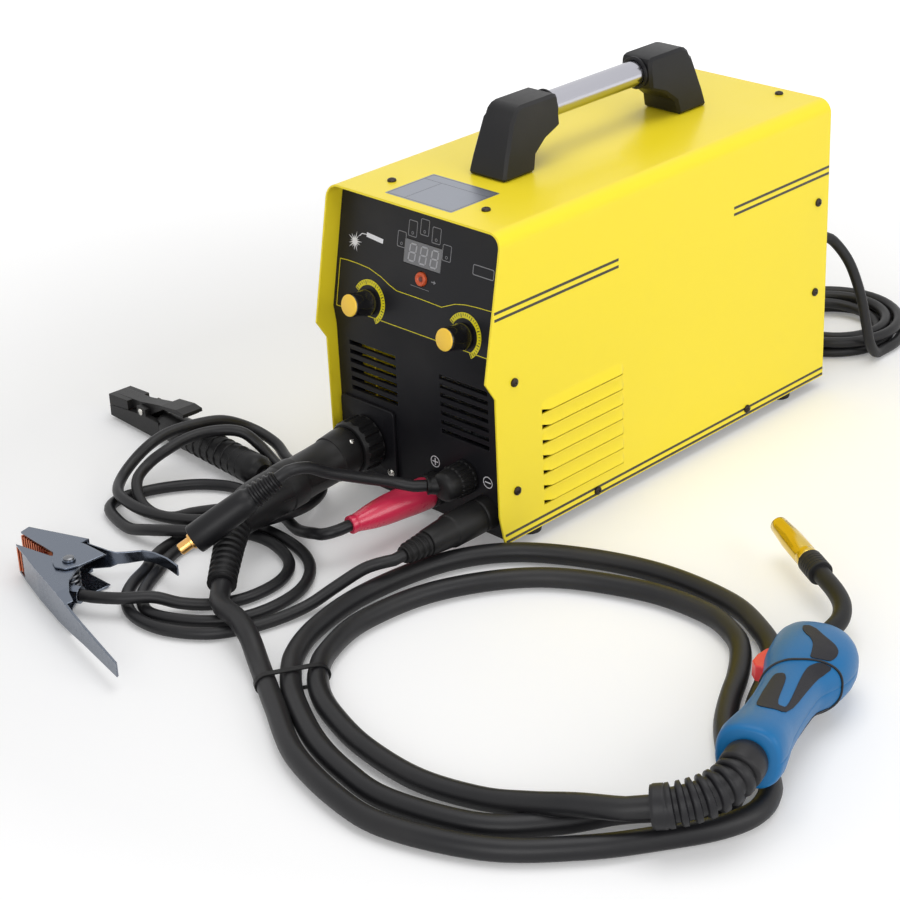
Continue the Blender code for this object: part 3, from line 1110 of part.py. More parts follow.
def make_electronics():
    """Board with its capacitor, finned heat sink on the divider and the transformer on the floor."""
    board_z = SHELF_Z + DIVIDER_SHEET + GAP
    edge = INNER_HALF - 0.0075
    board = box((0.002, 0.062, board_z + 0.004), (edge, 0.320, board_z + 0.0056))
    posts = [cylinder((x, y, board_z), (x, y, board_z + 0.0046), 0.003, 10)
             for x in (0.008, edge - 0.006) for y in (0.070, 0.312)]
    finish(union(board, merged(posts)), "main_board", material("board_green", (0.02, 0.16, 0.06), 0.5))
    can = turned([(0, 0), (0, 0.015), (0.044, 0.015), (0.045, 0.014), (0.045, 0)],
                 (0.030, 0.150, board_z + 0.0056 + GAP), (0, 0, 1), 20)
    finish(can, "capacitor", material("dark_blue_can", (0.03, 0.04, 0.12), 0.4))

    base = DIVIDER_X + DIVIDER_SHEET + GAP
    pitch = HEAT_SINK_HEIGHT / HEAT_SINK_FINS
    outline = [(base, HEAT_SINK_BOTTOM)]
    for k in range(HEAT_SINK_FINS):
        low = HEAT_SINK_BOTTOM + k * pitch
        outline += [(base + HEAT_SINK_DEPTH, low), (base + HEAT_SINK_DEPTH, low + 0.002), (base + 0.005, low + 0.002),
                    (base + 0.005, low + pitch)]
    outline[-1] = (base + 0.005, HEAT_SINK_BOTTOM + HEAT_SINK_HEIGHT - pitch + 0.0045)
    outline.append((base, HEAT_SINK_BOTTOM + HEAT_SINK_HEIGHT - pitch + 0.0045))
    sink = prism(outline, "Y", HEAT_SINK_FRONT, HEAT_SINK_FRONT + HEAT_SINK_LENGTH)
    finish(sink, "heat_sink", material("aluminium_fins", (0.7, 0.7, 0.72), 0.4, 1.0))

    middle = INNER_HALF - 0.0255
    core = box((middle - 0.016, 0.060, FLOOR_Z), (middle + 0.016, 0.124, FLOOR_Z + 0.052))
    winding = box((middle - 0.012, 0.066, FLOOR_Z + 0.050), (middle + 0.012, 0.118, FLOOR_Z + 0.060))
    side = box((middle - 0.020, 0.070, FLOOR_Z + 0.008), (middle + 0.020, 0.114, FLOOR_Z + 0.046))
    finish(union(core, winding, side), "transformer", material("core_iron", (0.12, 0.11, 0.10), 0.6))


def make_fan():
    """The fan behind the guard slots: square frame with struts and pin, and the bladed rotor."""
    back = REAR_SHEET_Y - GAP
    front = back - FAN_DEPTH
    half = FAN_SIZE / 2
    frame = prism(rounded(FAN_X - half, FAN_X + half, FAN_Z - half, FAN_Z + half, 0.004, 2), "Y", front, back)
    frame = cut(frame, cylinder((FAN_X, front - 0.01, FAN_Z), (FAN_X, back + 0.01, FAN_Z), FAN_BORE_RADIUS, 28))
    struts = [box((FAN_X - half + 0.001, front, FAN_Z - 0.002), (FAN_X + half - 0.001, front + 0.003, FAN_Z + 0.002)),
              box((FAN_X - 0.002, front + 0.0004, FAN_Z - half + 0.001), (FAN_X + 0.002, front + 0.0026, FAN_Z + half - 0.001))]
    mount = cylinder((FAN_X, front, FAN_Z), (FAN_X, front + 0.004, FAN_Z), 0.014, 16)
    pin = cylinder((FAN_X, front + 0.001, FAN_Z), (FAN_X, front + 0.020, FAN_Z), 0.002, 10)
    finish(union(frame, *struts, mount, pin), "fan_frame", black_plastic())

    start = front + 0.004 + GAP
    hub = turned([(0, 0.0024), (0, 0.014), (0.0165, 0.014), (0.0175, 0.013), (0.0175, 0.0024)],
                 (FAN_X, start, FAN_Z), (0, 1, 0), 21)
    blades = []
    for k in range(FAN_BLADES):
        blade = box((-0.0075, -0.0007, 0.0125), (0.0075, 0.0007, FAN_BORE_RADIUS - 0.0015))
        pose = (Matrix.Translation((FAN_X, start + 0.0088, FAN_Z))
                @ Matrix.Rotation(2 * math.pi * k / FAN_BLADES, 4, "Y") @ Matrix.Rotation(math.radians(38), 4, "Z"))
        blades.append(moved(blade, pose))
    finish(union(hub, merged(blades)), "fan_rotor", black_plastic(), (FAN_X, start + 0.0088, FAN_Z))


def make_spool():
    """The wire spool on its axle, which is bolted to the divider."""
    right = SPOOL_RIGHT
    left = right - SPOOL_WIDTH
    axle = turned([(0, 0), (0, 0.020), (0.0040, 0.020), (0.0040, 0.013), (DIVIDER_X - right - GAP * 2, 0.013),
                   (DIVIDER_X - right - GAP * 2, AXLE_RADIUS), (DIVIDER_X - left + GAP, AXLE_RADIUS),
                   (DIVIDER_X - left + GAP, 0.014), (DIVIDER_X - left + 0.005, 0.014),
                   (DIVIDER_X - left + 0.005, 0)], (DIVIDER_X - GAP, SPOOL_Y, SPOOL_Z), (-1, 0, 0), 16)
    finish(axle, "spool_axle", black_plastic())
    spool = turned([(0, SPOOL_BORE_RADIUS), (0, SPOOL_RADIUS), (SPOOL_FLANGE, SPOOL_RADIUS),
                    (SPOOL_FLANGE, SPOOL_WIRE_RADIUS), (SPOOL_WIDTH - SPOOL_FLANGE, SPOOL_WIRE_RADIUS),
                    (SPOOL_WIDTH - SPOOL_FLANGE, SPOOL_RADIUS), (SPOOL_WIDTH, SPOOL_RADIUS),
                    (SPOOL_WIDTH, SPOOL_BORE_RADIUS)], (right, SPOOL_Y, SPOOL_Z), (-1, 0, 0), 24)
    recess = turned([(-0.01, SPOOL_RECESS_INNER), (-0.01, SPOOL_RECESS_OUTER), (0.018, SPOOL_RECESS_OUTER - 0.002),
                     (0.018, SPOOL_RECESS_INNER)],
                    (left, SPOOL_Y, SPOOL_Z), (1, 0, 0), 16)
    finish(cut(spool, recess), "wire_spool", material("spool_black", (0.03, 0.03, 0.035), 0.5), (right, SPOOL_Y, SPOOL_Z))


SPOOL_RIGHT = -0.020


def make_feeder():
    """The wire feeder: plate with guides and pivot pin, motor, grooved drive roll, arm and pressure roll."""
    left = FEEDER_PLATE_X
    right = left + FEEDER_PLATE_THICK
    plate = box((left, FEEDER_FRONT, FEEDER_BOTTOM), (right, FEEDER_REAR, FEEDER_TOP))
    legs = [cylinder((right - 0.001, y, z), (DIVIDER_X - GAP, y, z), 0.005, 8)
            for y, z in ((FEEDER_FRONT + 0.007, FEEDER_BOTTOM + 0.007), (FEEDER_FRONT + 0.007, FEEDER_TOP - 0.007),
                         (FEEDER_REAR - 0.007, FEEDER_BOTTOM + 0.007))]
    guides = [box((TORCH_X - 0.006, low, TORCH_Z - 0.007), (left + 0.001, high, TORCH_Z + 0.007))
              for low, high in ((FEEDER_FRONT + 0.001, ROLL_Y - 0.020), (ROLL_Y + 0.020, FEEDER_REAR - 0.002))]
    pivot = cylinder((left + 0.001, ARM_PIVOT_Y, ARM_PIVOT_Z), (left - 0.010, ARM_PIVOT_Y, ARM_PIVOT_Z), 0.0035, 12)
    plate = union(plate, merged(legs), merged(guides), pivot)
    wire_way = cylinder((TORCH_X, 0.0, TORCH_Z), (TORCH_X, 0.2, TORCH_Z), 0.002, 10)
    shaft_hole = cylinder((left - 0.01, ROLL_Y, DRIVE_ROLL_Z), (right + 0.01, ROLL_Y, DRIVE_ROLL_Z),
                          MOTOR_SHAFT_RADIUS + 0.001, 14)
    finish(cut(plate, wire_way, shaft_hole), "feeder_plate", zinc_steel())

    roll_left = TORCH_X - ROLL_WIDTH / 2
    motor = turned([(0, 0), (0, MOTOR_RADIUS), (-MOTOR_LENGTH, MOTOR_RADIUS), (-MOTOR_LENGTH, 0)],
                   (right + GAP, ROLL_Y, DRIVE_ROLL_Z), (-1, 0, 0), 20)
    shaft = cylinder((right + 0.002, ROLL_Y, DRIVE_ROLL_Z), (roll_left - 0.001, ROLL_Y, DRIVE_ROLL_Z),
                     MOTOR_SHAFT_RADIUS, 14)
    finish(union(motor, shaft), "feeder_motor", material("motor_grey", (0.3, 0.3, 0.32), 0.4, 0.8))

    groove = 0.0006
    for name, z, radius, bore in (("drive_roll", DRIVE_ROLL_Z, DRIVE_ROLL_RADIUS, MOTOR_SHAFT_RADIUS + GAP),
                                  ("pressure_roll", PRESSURE_ROLL_Z, PRESSURE_ROLL_RADIUS, 0.003 + GAP)):
        roll = turned([(0, bore), (0, radius), (ROLL_WIDTH / 2 - groove, radius), (ROLL_WIDTH / 2, radius - groove),
                       (ROLL_WIDTH / 2 + groove, radius), (ROLL_WIDTH, radius), (ROLL_WIDTH, bore)],
                      (roll_left, ROLL_Y, z), (1, 0, 0), 16)
        finish(roll, name, bare_steel(), (TORCH_X, ROLL_Y, z))

    arm_right = left - 0.0015
    arm_left = roll_left + ROLL_WIDTH + GAP
    outline = (arc((ARM_PIVOT_Y, ARM_PIVOT_Z), 0.0075, 90, -75, 4)
               + arc((ROLL_Y, PRESSURE_ROLL_Z), 0.0065, -75, -150, 2)
               + [(FEEDER_FRONT + 0.010, PRESSURE_ROLL_Z + 0.0020), (FEEDER_FRONT + 0.010, PRESSURE_ROLL_Z + 0.0110)])
    arm = prism(outline, "X", arm_left, arm_right)
    pin = cylinder((arm_right - 0.001, ROLL_Y, PRESSURE_ROLL_Z), (roll_left - 0.001, ROLL_Y, PRESSURE_ROLL_Z), 0.003, 12)
    bore = cylinder((left - 0.02, ARM_PIVOT_Y, ARM_PIVOT_Z), (left + 0.01, ARM_PIVOT_Y, ARM_PIVOT_Z), 0.0038, 12)
    finish(cut(union(arm, pin), bore), "pressure_arm", zinc_steel(), (arm_right, ARM_PIVOT_Y, ARM_PIVOT_Z))


# --- Side door -------------------------------------------------------------------------------------
def make_side_door():
    """The door over the wire compartment: sheet with returns, its knuckle, the hinge rod and the latch."""
    outer = -HALF_WIDTH
    low, high = DOOR_BOTTOM + DOOR_GAP, DOOR_TOP - DOOR_GAP
    front, rear = DOOR_FRONT + DOOR_GAP, DOOR_REAR - DOOR_GAP
    section = [(outer, low), (outer, high), (outer + DOOR_RETURN, high), (outer + DOOR_RETURN, high - SHEET),
               (outer + SHEET, high - SHEET), (outer + SHEET, low + SHEET), (outer + DOOR_RETURN, low + SHEET),
               (outer + DOOR_RETURN, low)]
    door = prism(section, "Y", front, rear)
    leaf_low = HINGE_BOTTOM + 0.030
    leaf_high = HINGE_TOP - 0.030
    leaf = box((outer - 0.0016, HINGE_Y - 0.0180, leaf_low), (outer + 0.0002, HINGE_Y - 0.0026, leaf_high))
    arm = box((HINGE_X, HINGE_Y - 0.0040, leaf_low), (outer - 0.0004, HINGE_Y - 0.0020, leaf_high))
    knuckle = cylinder((HINGE_X, HINGE_Y, leaf_low), (HINGE_X, HINGE_Y, leaf_high), HINGE_KNUCKLE_RADIUS, 14)
    rod_way = cylinder((HINGE_X, HINGE_Y, leaf_low - 0.01), (HINGE_X, HINGE_Y, leaf_high + 0.01), HINGE_BORE_RADIUS, 14)
    latch_way = cylinder((outer - 0.01, LATCH_Y, LATCH_Z), (outer + 0.01, LATCH_Y, LATCH_Z), 0.0042, 14)
    door = cut(union(door, union(leaf, arm, knuckle)), rod_way, latch_way)
    finish(door, "side_door", yellow_paint(), (HINGE_X, HINGE_Y, (DOOR_BOTTOM + DOOR_TOP) / 2))

    rod = cylinder((HINGE_X, HINGE_Y, HINGE_BOTTOM), (HINGE_X, HINGE_Y, HINGE_TOP), HINGE_PIN_RADIUS, 8)
    fixed = []
    for bottom, top in ((HINGE_BOTTOM, leaf_low - GAP), (leaf_high + GAP, HINGE_TOP)):
        plate = box((outer - 0.0016, HINGE_Y + 0.0020, bottom), (outer - GAP, HINGE_Y + 0.0180, top))
        bridge = box((HINGE_X, HINGE_Y + 0.0010, bottom), (outer - GAP, HINGE_Y + 0.0026, top))
        knuckle = cylinder((HINGE_X, HINGE_Y, bottom), (HINGE_X, HINGE_Y, top), HINGE_KNUCKLE_RADIUS, 10)
        fixed.append(union(plate, bridge, knuckle))
    finish(union(rod, *fixed), "door_hinge", zinc_steel())

    latch = turned([(-0.0065, 0), (-0.0065, LATCH_RADIUS - 0.001), (-0.0055, LATCH_RADIUS), (-GAP, LATCH_RADIUS),
                    (-GAP, 0.0038), (0.0045, 0.0038), (0.0045, 0)], (outer, LATCH_Y, LATCH_Z), (1, 0, 0), 14)
    tab = box((outer + SHEET + 0.0005, LATCH_Y - 0.0045, LATCH_Z - 0.0035),
              (outer + SHEET + 0.0020, LATCH_Y + 0.0045, LATCH_Z + LATCH_TAB))
    finish(union(latch, tab), "door_latch", black_plastic(), (outer, LATCH_Y, LATCH_Z))


# --- Free leads: the route of each, by hand, from its start to its end -------------------------------
TORCH_CABLE_ROUTE = [
    (0.0140, -0.2110, 0.0178), (0.0300, -0.2140, 0.0180), (0.0520, -0.2220, 0.0160),
    (0.0700, -0.2310, 0.0105), (0.0880, -0.2410, 0.0080), (0.1070, -0.2520, 0.0080), (0.1260, -0.2630, 0.0080),
    (0.1738, -0.2893, 0.0078), (0.2310, -0.3035, 0.0078), (0.2744, -0.3028, 0.0078), (0.3330, -0.2790, 0.0078),
    (0.3754, -0.2400, 0.0078), (0.4030, -0.2030, 0.0078), (0.4220, -0.1720, 0.0078), (0.4285, -0.1460, 0.0078),
    (0.4200, -0.1220, 0.0078), (0.3985, -0.1030, 0.0078), (0.3760, -0.0840, 0.0078), (0.3580, -0.0570, 0.0078),
    (0.3430, -0.0260, 0.0078), (0.3260, 0.0020, 0.0078), (0.3032, 0.0200, 0.0078), (0.2642, 0.0360, 0.0078),
    (0.2040, 0.0370, 0.0078), (0.1464, 0.0200, 0.0078), (0.0971, -0.0107, 0.0078), (0.0690, -0.0571, 0.0078),
    (0.0600, -0.1223, 0.0078), (0.0680, -0.1750, 0.0078), (0.0830, -0.2080, 0.0078), (0.1020, -0.2290, 0.0078),
    (0.1260, -0.2466, 0.0078), (0.1708, -0.2695, 0.0078), (0.2120, -0.2810, 0.0078), (0.2541, -0.2840, 0.0078),
    (0.3120, -0.2660, 0.0078), (0.3460, -0.2338, 0.0078), (0.3674, -0.2007, 0.0078), (0.3880, -0.1790, 0.0078),
    (0.4050, -0.1620, 0.0078), (0.4085, -0.1450, 0.0078), (0.3965, -0.1270, 0.0078), (0.3765, -0.1090, 0.0078),
    (0.3560, -0.0860, 0.0078), (0.3400, -0.0610, 0.0078), (0.3255, -0.0340, 0.0078), (0.3080, -0.0090, 0.0078),
    (0.2900, 0.0050, 0.0078), (0.2583, 0.0150, 0.0078), (0.2043, 0.0093, 0.0078), (0.1386, -0.0234, 0.0078),
    (0.0970, -0.0826, 0.0078), (0.0860, -0.1461, 0.0078), (0.0970, -0.1900, 0.0078), (0.1130, -0.2140, 0.0078),
    (0.1340, -0.2310, 0.0078), (0.1600, -0.2430, 0.0078), (0.2000, -0.2540, 0.0078), (0.2505, -0.2570, 0.0078),
    (0.2953, -0.2470, 0.0090), (0.3283, -0.2380, 0.0160), (0.3580, -0.2280, 0.0235)]
ELECTRODE_LEAD_ROUTE = [
    (0.0000, -0.1040, 0.0275), (-0.0150, -0.1015, 0.0220),
    (-0.0350, -0.0930, 0.0125), (-0.0540, -0.0860, 0.0062), (-0.0820, -0.0760, 0.0048), (-0.1097, -0.0710, 0.0048),
    (-0.1415, -0.0705, 0.0048), (-0.1649, -0.0823, 0.0048), (-0.1812, -0.1004, 0.0048), (-0.1921, -0.1207, 0.0048),
    (-0.1972, -0.1404, 0.0048), (-0.1910, -0.1560, 0.0048), (-0.1720, -0.1640, 0.0050), (-0.1500, -0.1680, 0.0062),
    (-0.1280, -0.1660, 0.0118), (-0.1100, -0.1590, 0.0148), (-0.0900, -0.1430, 0.0150), (-0.0740, -0.1200, 0.0150),
    (-0.0640, -0.0940, 0.0155), (-0.0610, -0.0680, 0.0152), (-0.0720, -0.0420, 0.0148), (-0.1000, -0.0240, 0.0120),
    (-0.1408, -0.0150, 0.0080), (-0.1656, -0.0070, 0.0120), (-0.1880, -0.0120, 0.0200), (-0.2000, -0.0320, 0.0310),
    (-0.2080, -0.0588, 0.0338), (-0.2116, -0.0784, 0.0335), (-0.2124, -0.0961, 0.0300), (-0.2131, -0.1126, 0.0220),
    (-0.2070, -0.1310, 0.0150), (-0.1900, -0.1470, 0.0148), (-0.1680, -0.1525, 0.0148), (-0.1460, -0.1520, 0.0148),
    (-0.1220, -0.1450, 0.0148), (-0.1000, -0.1290, 0.0150), (-0.0840, -0.1060, 0.0150), (-0.0750, -0.0840, 0.0152),
    (-0.0750, -0.0620, 0.0150), (-0.0860, -0.0440, 0.0146), (-0.1070, -0.0340, 0.0120), (-0.1350, -0.0300, 0.0095),
    (-0.1550, -0.0310, 0.0215), (-0.1690, -0.0380, 0.0325), (-0.1840, -0.0520, 0.0342), (-0.1930, -0.0720, 0.0330),
    (-0.1960, -0.0950, 0.0285), (-0.1995, -0.1096, 0.0215), (-0.1945, -0.1250, 0.0155), (-0.1770, -0.1370, 0.0090),
    (-0.1580, -0.1400, 0.0054), (-0.1400, -0.1350, 0.0056), (-0.1250, -0.1270, 0.0112), (-0.1080, -0.1140, 0.0150),
    (-0.0940, -0.0960, 0.0152), (-0.0875, -0.0770, 0.0152), (-0.0920, -0.0600, 0.0147), (-0.1040, -0.0530, 0.0142),
    ]
GROUND_LEAD_ROUTE = [
    (-0.0580, -0.2470, 0.0150), (-0.0430, -0.2300, 0.0142),
    (-0.0300, -0.2160, 0.0080), (-0.0160, -0.1990, 0.0049), (-0.0040, -0.1760, 0.0048), (-0.0040, -0.1460, 0.0048),
    (-0.0180, -0.1240, 0.0048), (-0.0450, -0.1125, 0.0048), (-0.0700, -0.1120, 0.0048), (-0.0900, -0.1210, 0.0048),
    (-0.0980, -0.1400, 0.0048), (-0.0980, -0.1620, 0.0048), (-0.0910, -0.1810, 0.0048), (-0.0820, -0.1970, 0.0048),
    (-0.0730, -0.2130, 0.0048), (-0.0610, -0.2270, 0.0048), (-0.0400, -0.2360, 0.0048), (-0.0120, -0.2250, 0.0048),
    (0.0102, -0.2049, 0.0048), (0.0195, -0.1788, 0.0048), (0.0181, -0.1492, 0.0048), (0.0060, -0.1260, 0.0048),
    (-0.0140, -0.1100, 0.0048), (-0.0420, -0.1020, 0.0048), (-0.0740, -0.1015, 0.0048), (-0.0990, -0.1110, 0.0048),
    (-0.1090, -0.1340, 0.0048), (-0.1090, -0.1620, 0.0048), (-0.1030, -0.1820, 0.0048), (-0.0930, -0.1980, 0.0048),
    (-0.0840, -0.2170, 0.0048), (-0.0700, -0.2340, 0.0048), (-0.0460, -0.2460, 0.0048), (-0.0160, -0.2440, 0.0048),
    (0.0117, -0.2280, 0.0048), (0.0270, -0.2060, 0.0048), (0.0355, -0.1810, 0.0050), (0.0405, -0.1570, 0.0072),
    (0.0455, -0.1370, 0.0140), (0.0530, -0.1160, 0.0225), (0.0610, -0.1050, 0.0262)]
POLARITY_LEAD_ROUTE = [
    (0.0160, -0.0510, 0.0550), (0.0065, -0.0710, 0.0630), (-0.0005, -0.0950, 0.0740), (-0.0030, -0.1120, 0.0840)]


def make_leads():
    """The leads that lie in front of the machine."""
    plug_way = (POLARITY_PLUG_REAR - POLARITY_PLUG_TIP).normalized()
    for name, start, start_way, route, end, end_way, radius, spacing in (
            ("torch_cable", CONNECTOR_END, CONNECTOR_WAY, TORCH_CABLE_ROUTE, PROTECTOR_END, PROTECTOR_WAY,
             TORCH_CABLE_RADIUS, 0.042),
            ("electrode_lead", ELECTRODE_PLUG_END, ELECTRODE_PLUG_WAY, ELECTRODE_LEAD_ROUTE, HOLDER_END, HOLDER_WAY,
             LEAD_RADIUS, 0.024),
            ("ground_lead", BOOT_END, BOOT_WAY, GROUND_LEAD_ROUTE, GROUND_PLUG_END, GROUND_PLUG_WAY,
             LEAD_RADIUS, 0.024),
            ("polarity_lead", POLARITY_GLAND_END, POLARITY_GLAND_WAY, POLARITY_LEAD_ROUTE, POLARITY_PLUG_REAR, plug_way,
             LEAD_RADIUS, 0.012)):
        points = lead_points(start, start_way, route, end, end_way, radius, spacing)
        print("%s: %.3f m long" % (name, sum((b - a).length for a, b in zip(points, points[1:]))))
        tube(name, points, radius, cable_rubber())


def main():
    for old in list(bpy.data.objects):
        bpy.data.objects.remove(old)
    frame = bpy.data.objects.new("machine_frame", None)
    bpy.context.scene.collection.objects.link(frame)
    frame.location = (-ORIGIN_X, -ORIGIN_Y, 0.0)
    make_cover()
    make_base_pan()
    make_feet()
    make_front_panel()
    make_panel_controls()
    make_torch_socket()
    make_collar_nut()
    make_torch_connector()
    make_dinse_socket("socket_plus", PLUS_X, PLUS_Z)
    make_dinse_socket("socket_minus", MINUS_X, MINUS_Z)
    make_plugs()
    make_polarity_gland()
    make_polarity_plug()
    make_torch_handle()
    make_torch_trigger()
    make_torch_neck()
    make_gas_nozzle()
    make_bend_protector()
    make_holder()
    make_ground_clamp()
    make_carrying_handle()
    make_rear_panel()
    make_power_rocker()
    make_mains()
    make_divider()
    make_electronics()
    make_fan()
    make_spool()
    make_feeder()
    make_side_door()
    make_leads()


main()
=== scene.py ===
"""The dressed machine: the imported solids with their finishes, prints, screws, leads and small parts.

Places are written in the case's own frame, as the machine's drawing gives them: x to the viewer's
right, y to the rear from the top sheet's front edge, z up from the floor. Metres.
"""

import json
import math

import bmesh
import bpy
from mathutils import Matrix, Vector

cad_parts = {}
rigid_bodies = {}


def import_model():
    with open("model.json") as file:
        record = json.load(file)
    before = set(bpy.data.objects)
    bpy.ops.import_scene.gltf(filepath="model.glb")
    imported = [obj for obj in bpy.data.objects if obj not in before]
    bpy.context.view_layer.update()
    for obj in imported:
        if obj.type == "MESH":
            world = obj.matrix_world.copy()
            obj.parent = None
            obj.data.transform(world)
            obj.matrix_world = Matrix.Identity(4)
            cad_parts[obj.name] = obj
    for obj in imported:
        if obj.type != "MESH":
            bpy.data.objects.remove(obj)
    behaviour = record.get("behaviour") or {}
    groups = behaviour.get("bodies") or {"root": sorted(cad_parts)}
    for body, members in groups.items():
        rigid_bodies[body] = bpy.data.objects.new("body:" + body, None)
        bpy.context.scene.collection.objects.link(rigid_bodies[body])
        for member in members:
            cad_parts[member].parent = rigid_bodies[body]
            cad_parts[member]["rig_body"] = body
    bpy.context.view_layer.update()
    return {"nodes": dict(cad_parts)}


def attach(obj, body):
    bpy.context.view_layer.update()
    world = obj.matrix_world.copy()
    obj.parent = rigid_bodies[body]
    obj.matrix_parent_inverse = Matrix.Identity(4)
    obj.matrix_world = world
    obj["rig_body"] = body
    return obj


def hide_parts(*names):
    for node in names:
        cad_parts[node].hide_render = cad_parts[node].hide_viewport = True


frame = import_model()


# --- View, floor and light -------------------------------------------------------------------------
# A pale floor under soft studio light: one large softbox overhead, one to the right, one in front and
# a plain bright room. The camera stands where the photograph was taken from.
CASE_FROM_MIDDLE = Vector((-0.0553, -0.04625, 0.0))


def placed(x, y, z):
    """A point of the case frame, in the frame of the whole object."""
    return Vector((x, y, z)) + CASE_FROM_MIDDLE


def linked(name, data):
    """A new object in the scene."""
    made = bpy.data.objects.new(name, data)
    bpy.context.scene.collection.objects.link(made)
    return made


def mesh_of(name, bm):
    """The drawn faces as a mesh."""
    mesh = bpy.data.meshes.new(name)
    bm.to_mesh(mesh)
    bm.free()
    return mesh


CAMERA_YAW = -0.8022
CAMERA_PITCH = 0.4609
CAMERA_ROLL = -0.0477
CAMERA_LENS = 89.907
forward = Vector((math.sin(CAMERA_YAW) * math.cos(CAMERA_PITCH), math.cos(CAMERA_YAW) * math.cos(CAMERA_PITCH),
                  -math.sin(CAMERA_PITCH)))
level = Vector((math.cos(CAMERA_YAW), -math.sin(CAMERA_YAW), 0.0))
upright = level.cross(forward)
right = level * math.cos(CAMERA_ROLL) + upright * math.sin(CAMERA_ROLL)
top = upright * math.cos(CAMERA_ROLL) - level * math.sin(CAMERA_ROLL)
camera = linked("camera", bpy.data.cameras.new("camera"))
camera.data.lens = CAMERA_LENS
camera.data.sensor_width = 36.0
camera.data.clip_start = 0.05
camera.matrix_world = Matrix((right, top, -forward)).transposed().to_4x4()
camera.location = placed(1.1007, -1.0369, 0.8059)
bpy.context.scene.camera = camera
bpy.context.scene.view_settings.view_transform = "Standard"


def softbox(name, place, aim, width, height, power):
    """A rectangular lamp turned to a point."""
    lamp = bpy.data.lights.new(name, "AREA")
    lamp.shape = "RECTANGLE"
    lamp.size = width
    lamp.size_y = height
    lamp.energy = power
    made = linked(name, lamp)
    made.location = place
    made.rotation_euler = (Vector(aim) - Vector(place)).to_track_quat("-Z", "Y").to_euler()


softbox("overhead_softbox", (0.1, 0.1, 1.9), (0.0, 0.05, 0.1), 1.5, 1.3, 14.0)
softbox("right_softbox", (1.9, 0.2, 0.9), (0.0, 0.1, 0.12), 1.3, 1.0, 11.0)
softbox("front_softbox", (1.20, -1.7, 0.7), (0.0, 0.0, 0.12), 1.2, 0.9, 12.0)


def seen_rays(nodes, links):
    """1 for what the camera sees, straight or in a gloss or a glass."""
    rays = nodes.new("ShaderNodeLightPath")
    seen = rays.outputs["Is Camera Ray"]
    for kind in ("Is Glossy Ray", "Is Transmission Ray"):
        either = nodes.new("ShaderNodeMath")
        either.operation = "MAXIMUM"
        links.new(seen, either.inputs[0])
        links.new(rays.outputs[kind], either.inputs[1])
        seen = either.outputs[0]
    return seen


world = bpy.data.worlds.new("bright_room")
bpy.context.scene.world = world
world.use_nodes = True
nodes, links = world.node_tree.nodes, world.node_tree.links
nodes.clear()
both = nodes.new("ShaderNodeMixShader")
sky = nodes.new("ShaderNodeOutputWorld")
ROOM_LIGHT = 0.42                 # what the room gives the machine
ROOM_SEEN = 1.0                   # what the camera sees of it
links.new(seen_rays(nodes, links), both.inputs["Fac"])
for k, strength in enumerate((ROOM_LIGHT, ROOM_SEEN), 1):
    room = nodes.new("ShaderNodeBackground")
    room.inputs["Color"].default_value = (1.0, 1.0, 1.0, 1.0)
    room.inputs["Strength"].default_value = strength
    links.new(room.outputs["Background"], both.inputs[k])
links.new(both.outputs["Shader"], sky.inputs["Surface"])

FLOOR_REACH = 6.0
FLOOR_GAP = 0.0004                # under the feet and the leads
bm = bmesh.new()
bmesh.ops.create_grid(bm, x_segments=1, y_segments=1, size=FLOOR_REACH)
studio_floor = linked("studio_floor", mesh_of("studio_floor", bm))
studio_floor.location.z = -FLOOR_GAP
paper = bpy.data.materials.new("white_paper")
paper.use_nodes = True
nodes, links = paper.node_tree.nodes, paper.node_tree.links
sheet = nodes["Principled BSDF"]
sheet.inputs["Base Color"].default_value = (0.86, 0.86, 0.865, 1.0)
sheet.inputs["Roughness"].default_value = 0.75
# Painted light: as the camera and reflections see it, the floor glows by itself, 0.16 near the machine rising to
# 0.8 far off, so it is painted dimmer around the machine and brighter away from it
painted_floor_glow = nodes.new("ShaderNodeEmission")
painted_floor_glow.inputs["Color"].default_value = (1.0, 1.0, 1.0, 1.0)
place = nodes.new("ShaderNodeTexCoord")
away = nodes.new("ShaderNodeVectorMath")
away.operation = "LENGTH"
painted_glow_by_distance = nodes.new("ShaderNodeMapRange")
for label, value in (("From Min", 0.45), ("From Max", 1.5), ("To Min", 0.16), ("To Max", 0.80)):
    painted_glow_by_distance.inputs[label].default_value = value
links.new(place.outputs["Object"], away.inputs[0])
links.new(away.outputs["Value"], painted_glow_by_distance.inputs["Value"])
links.new(painted_glow_by_distance.outputs["Result"], painted_floor_glow.inputs["Strength"])
lit = nodes.new("ShaderNodeAddShader")
plain = nodes.new("ShaderNodeMixShader")
links.new(sheet.outputs["BSDF"], lit.inputs[0])
links.new(painted_floor_glow.outputs["Emission"], lit.inputs[1])
links.new(seen_rays(nodes, links), plain.inputs["Fac"])
links.new(sheet.outputs["BSDF"], plain.inputs[1])
links.new(lit.outputs["Shader"], plain.inputs[2])
links.new(plain.outputs["Shader"], nodes["Material Output"].inputs["Surface"])
studio_floor.data.materials.append(paper)


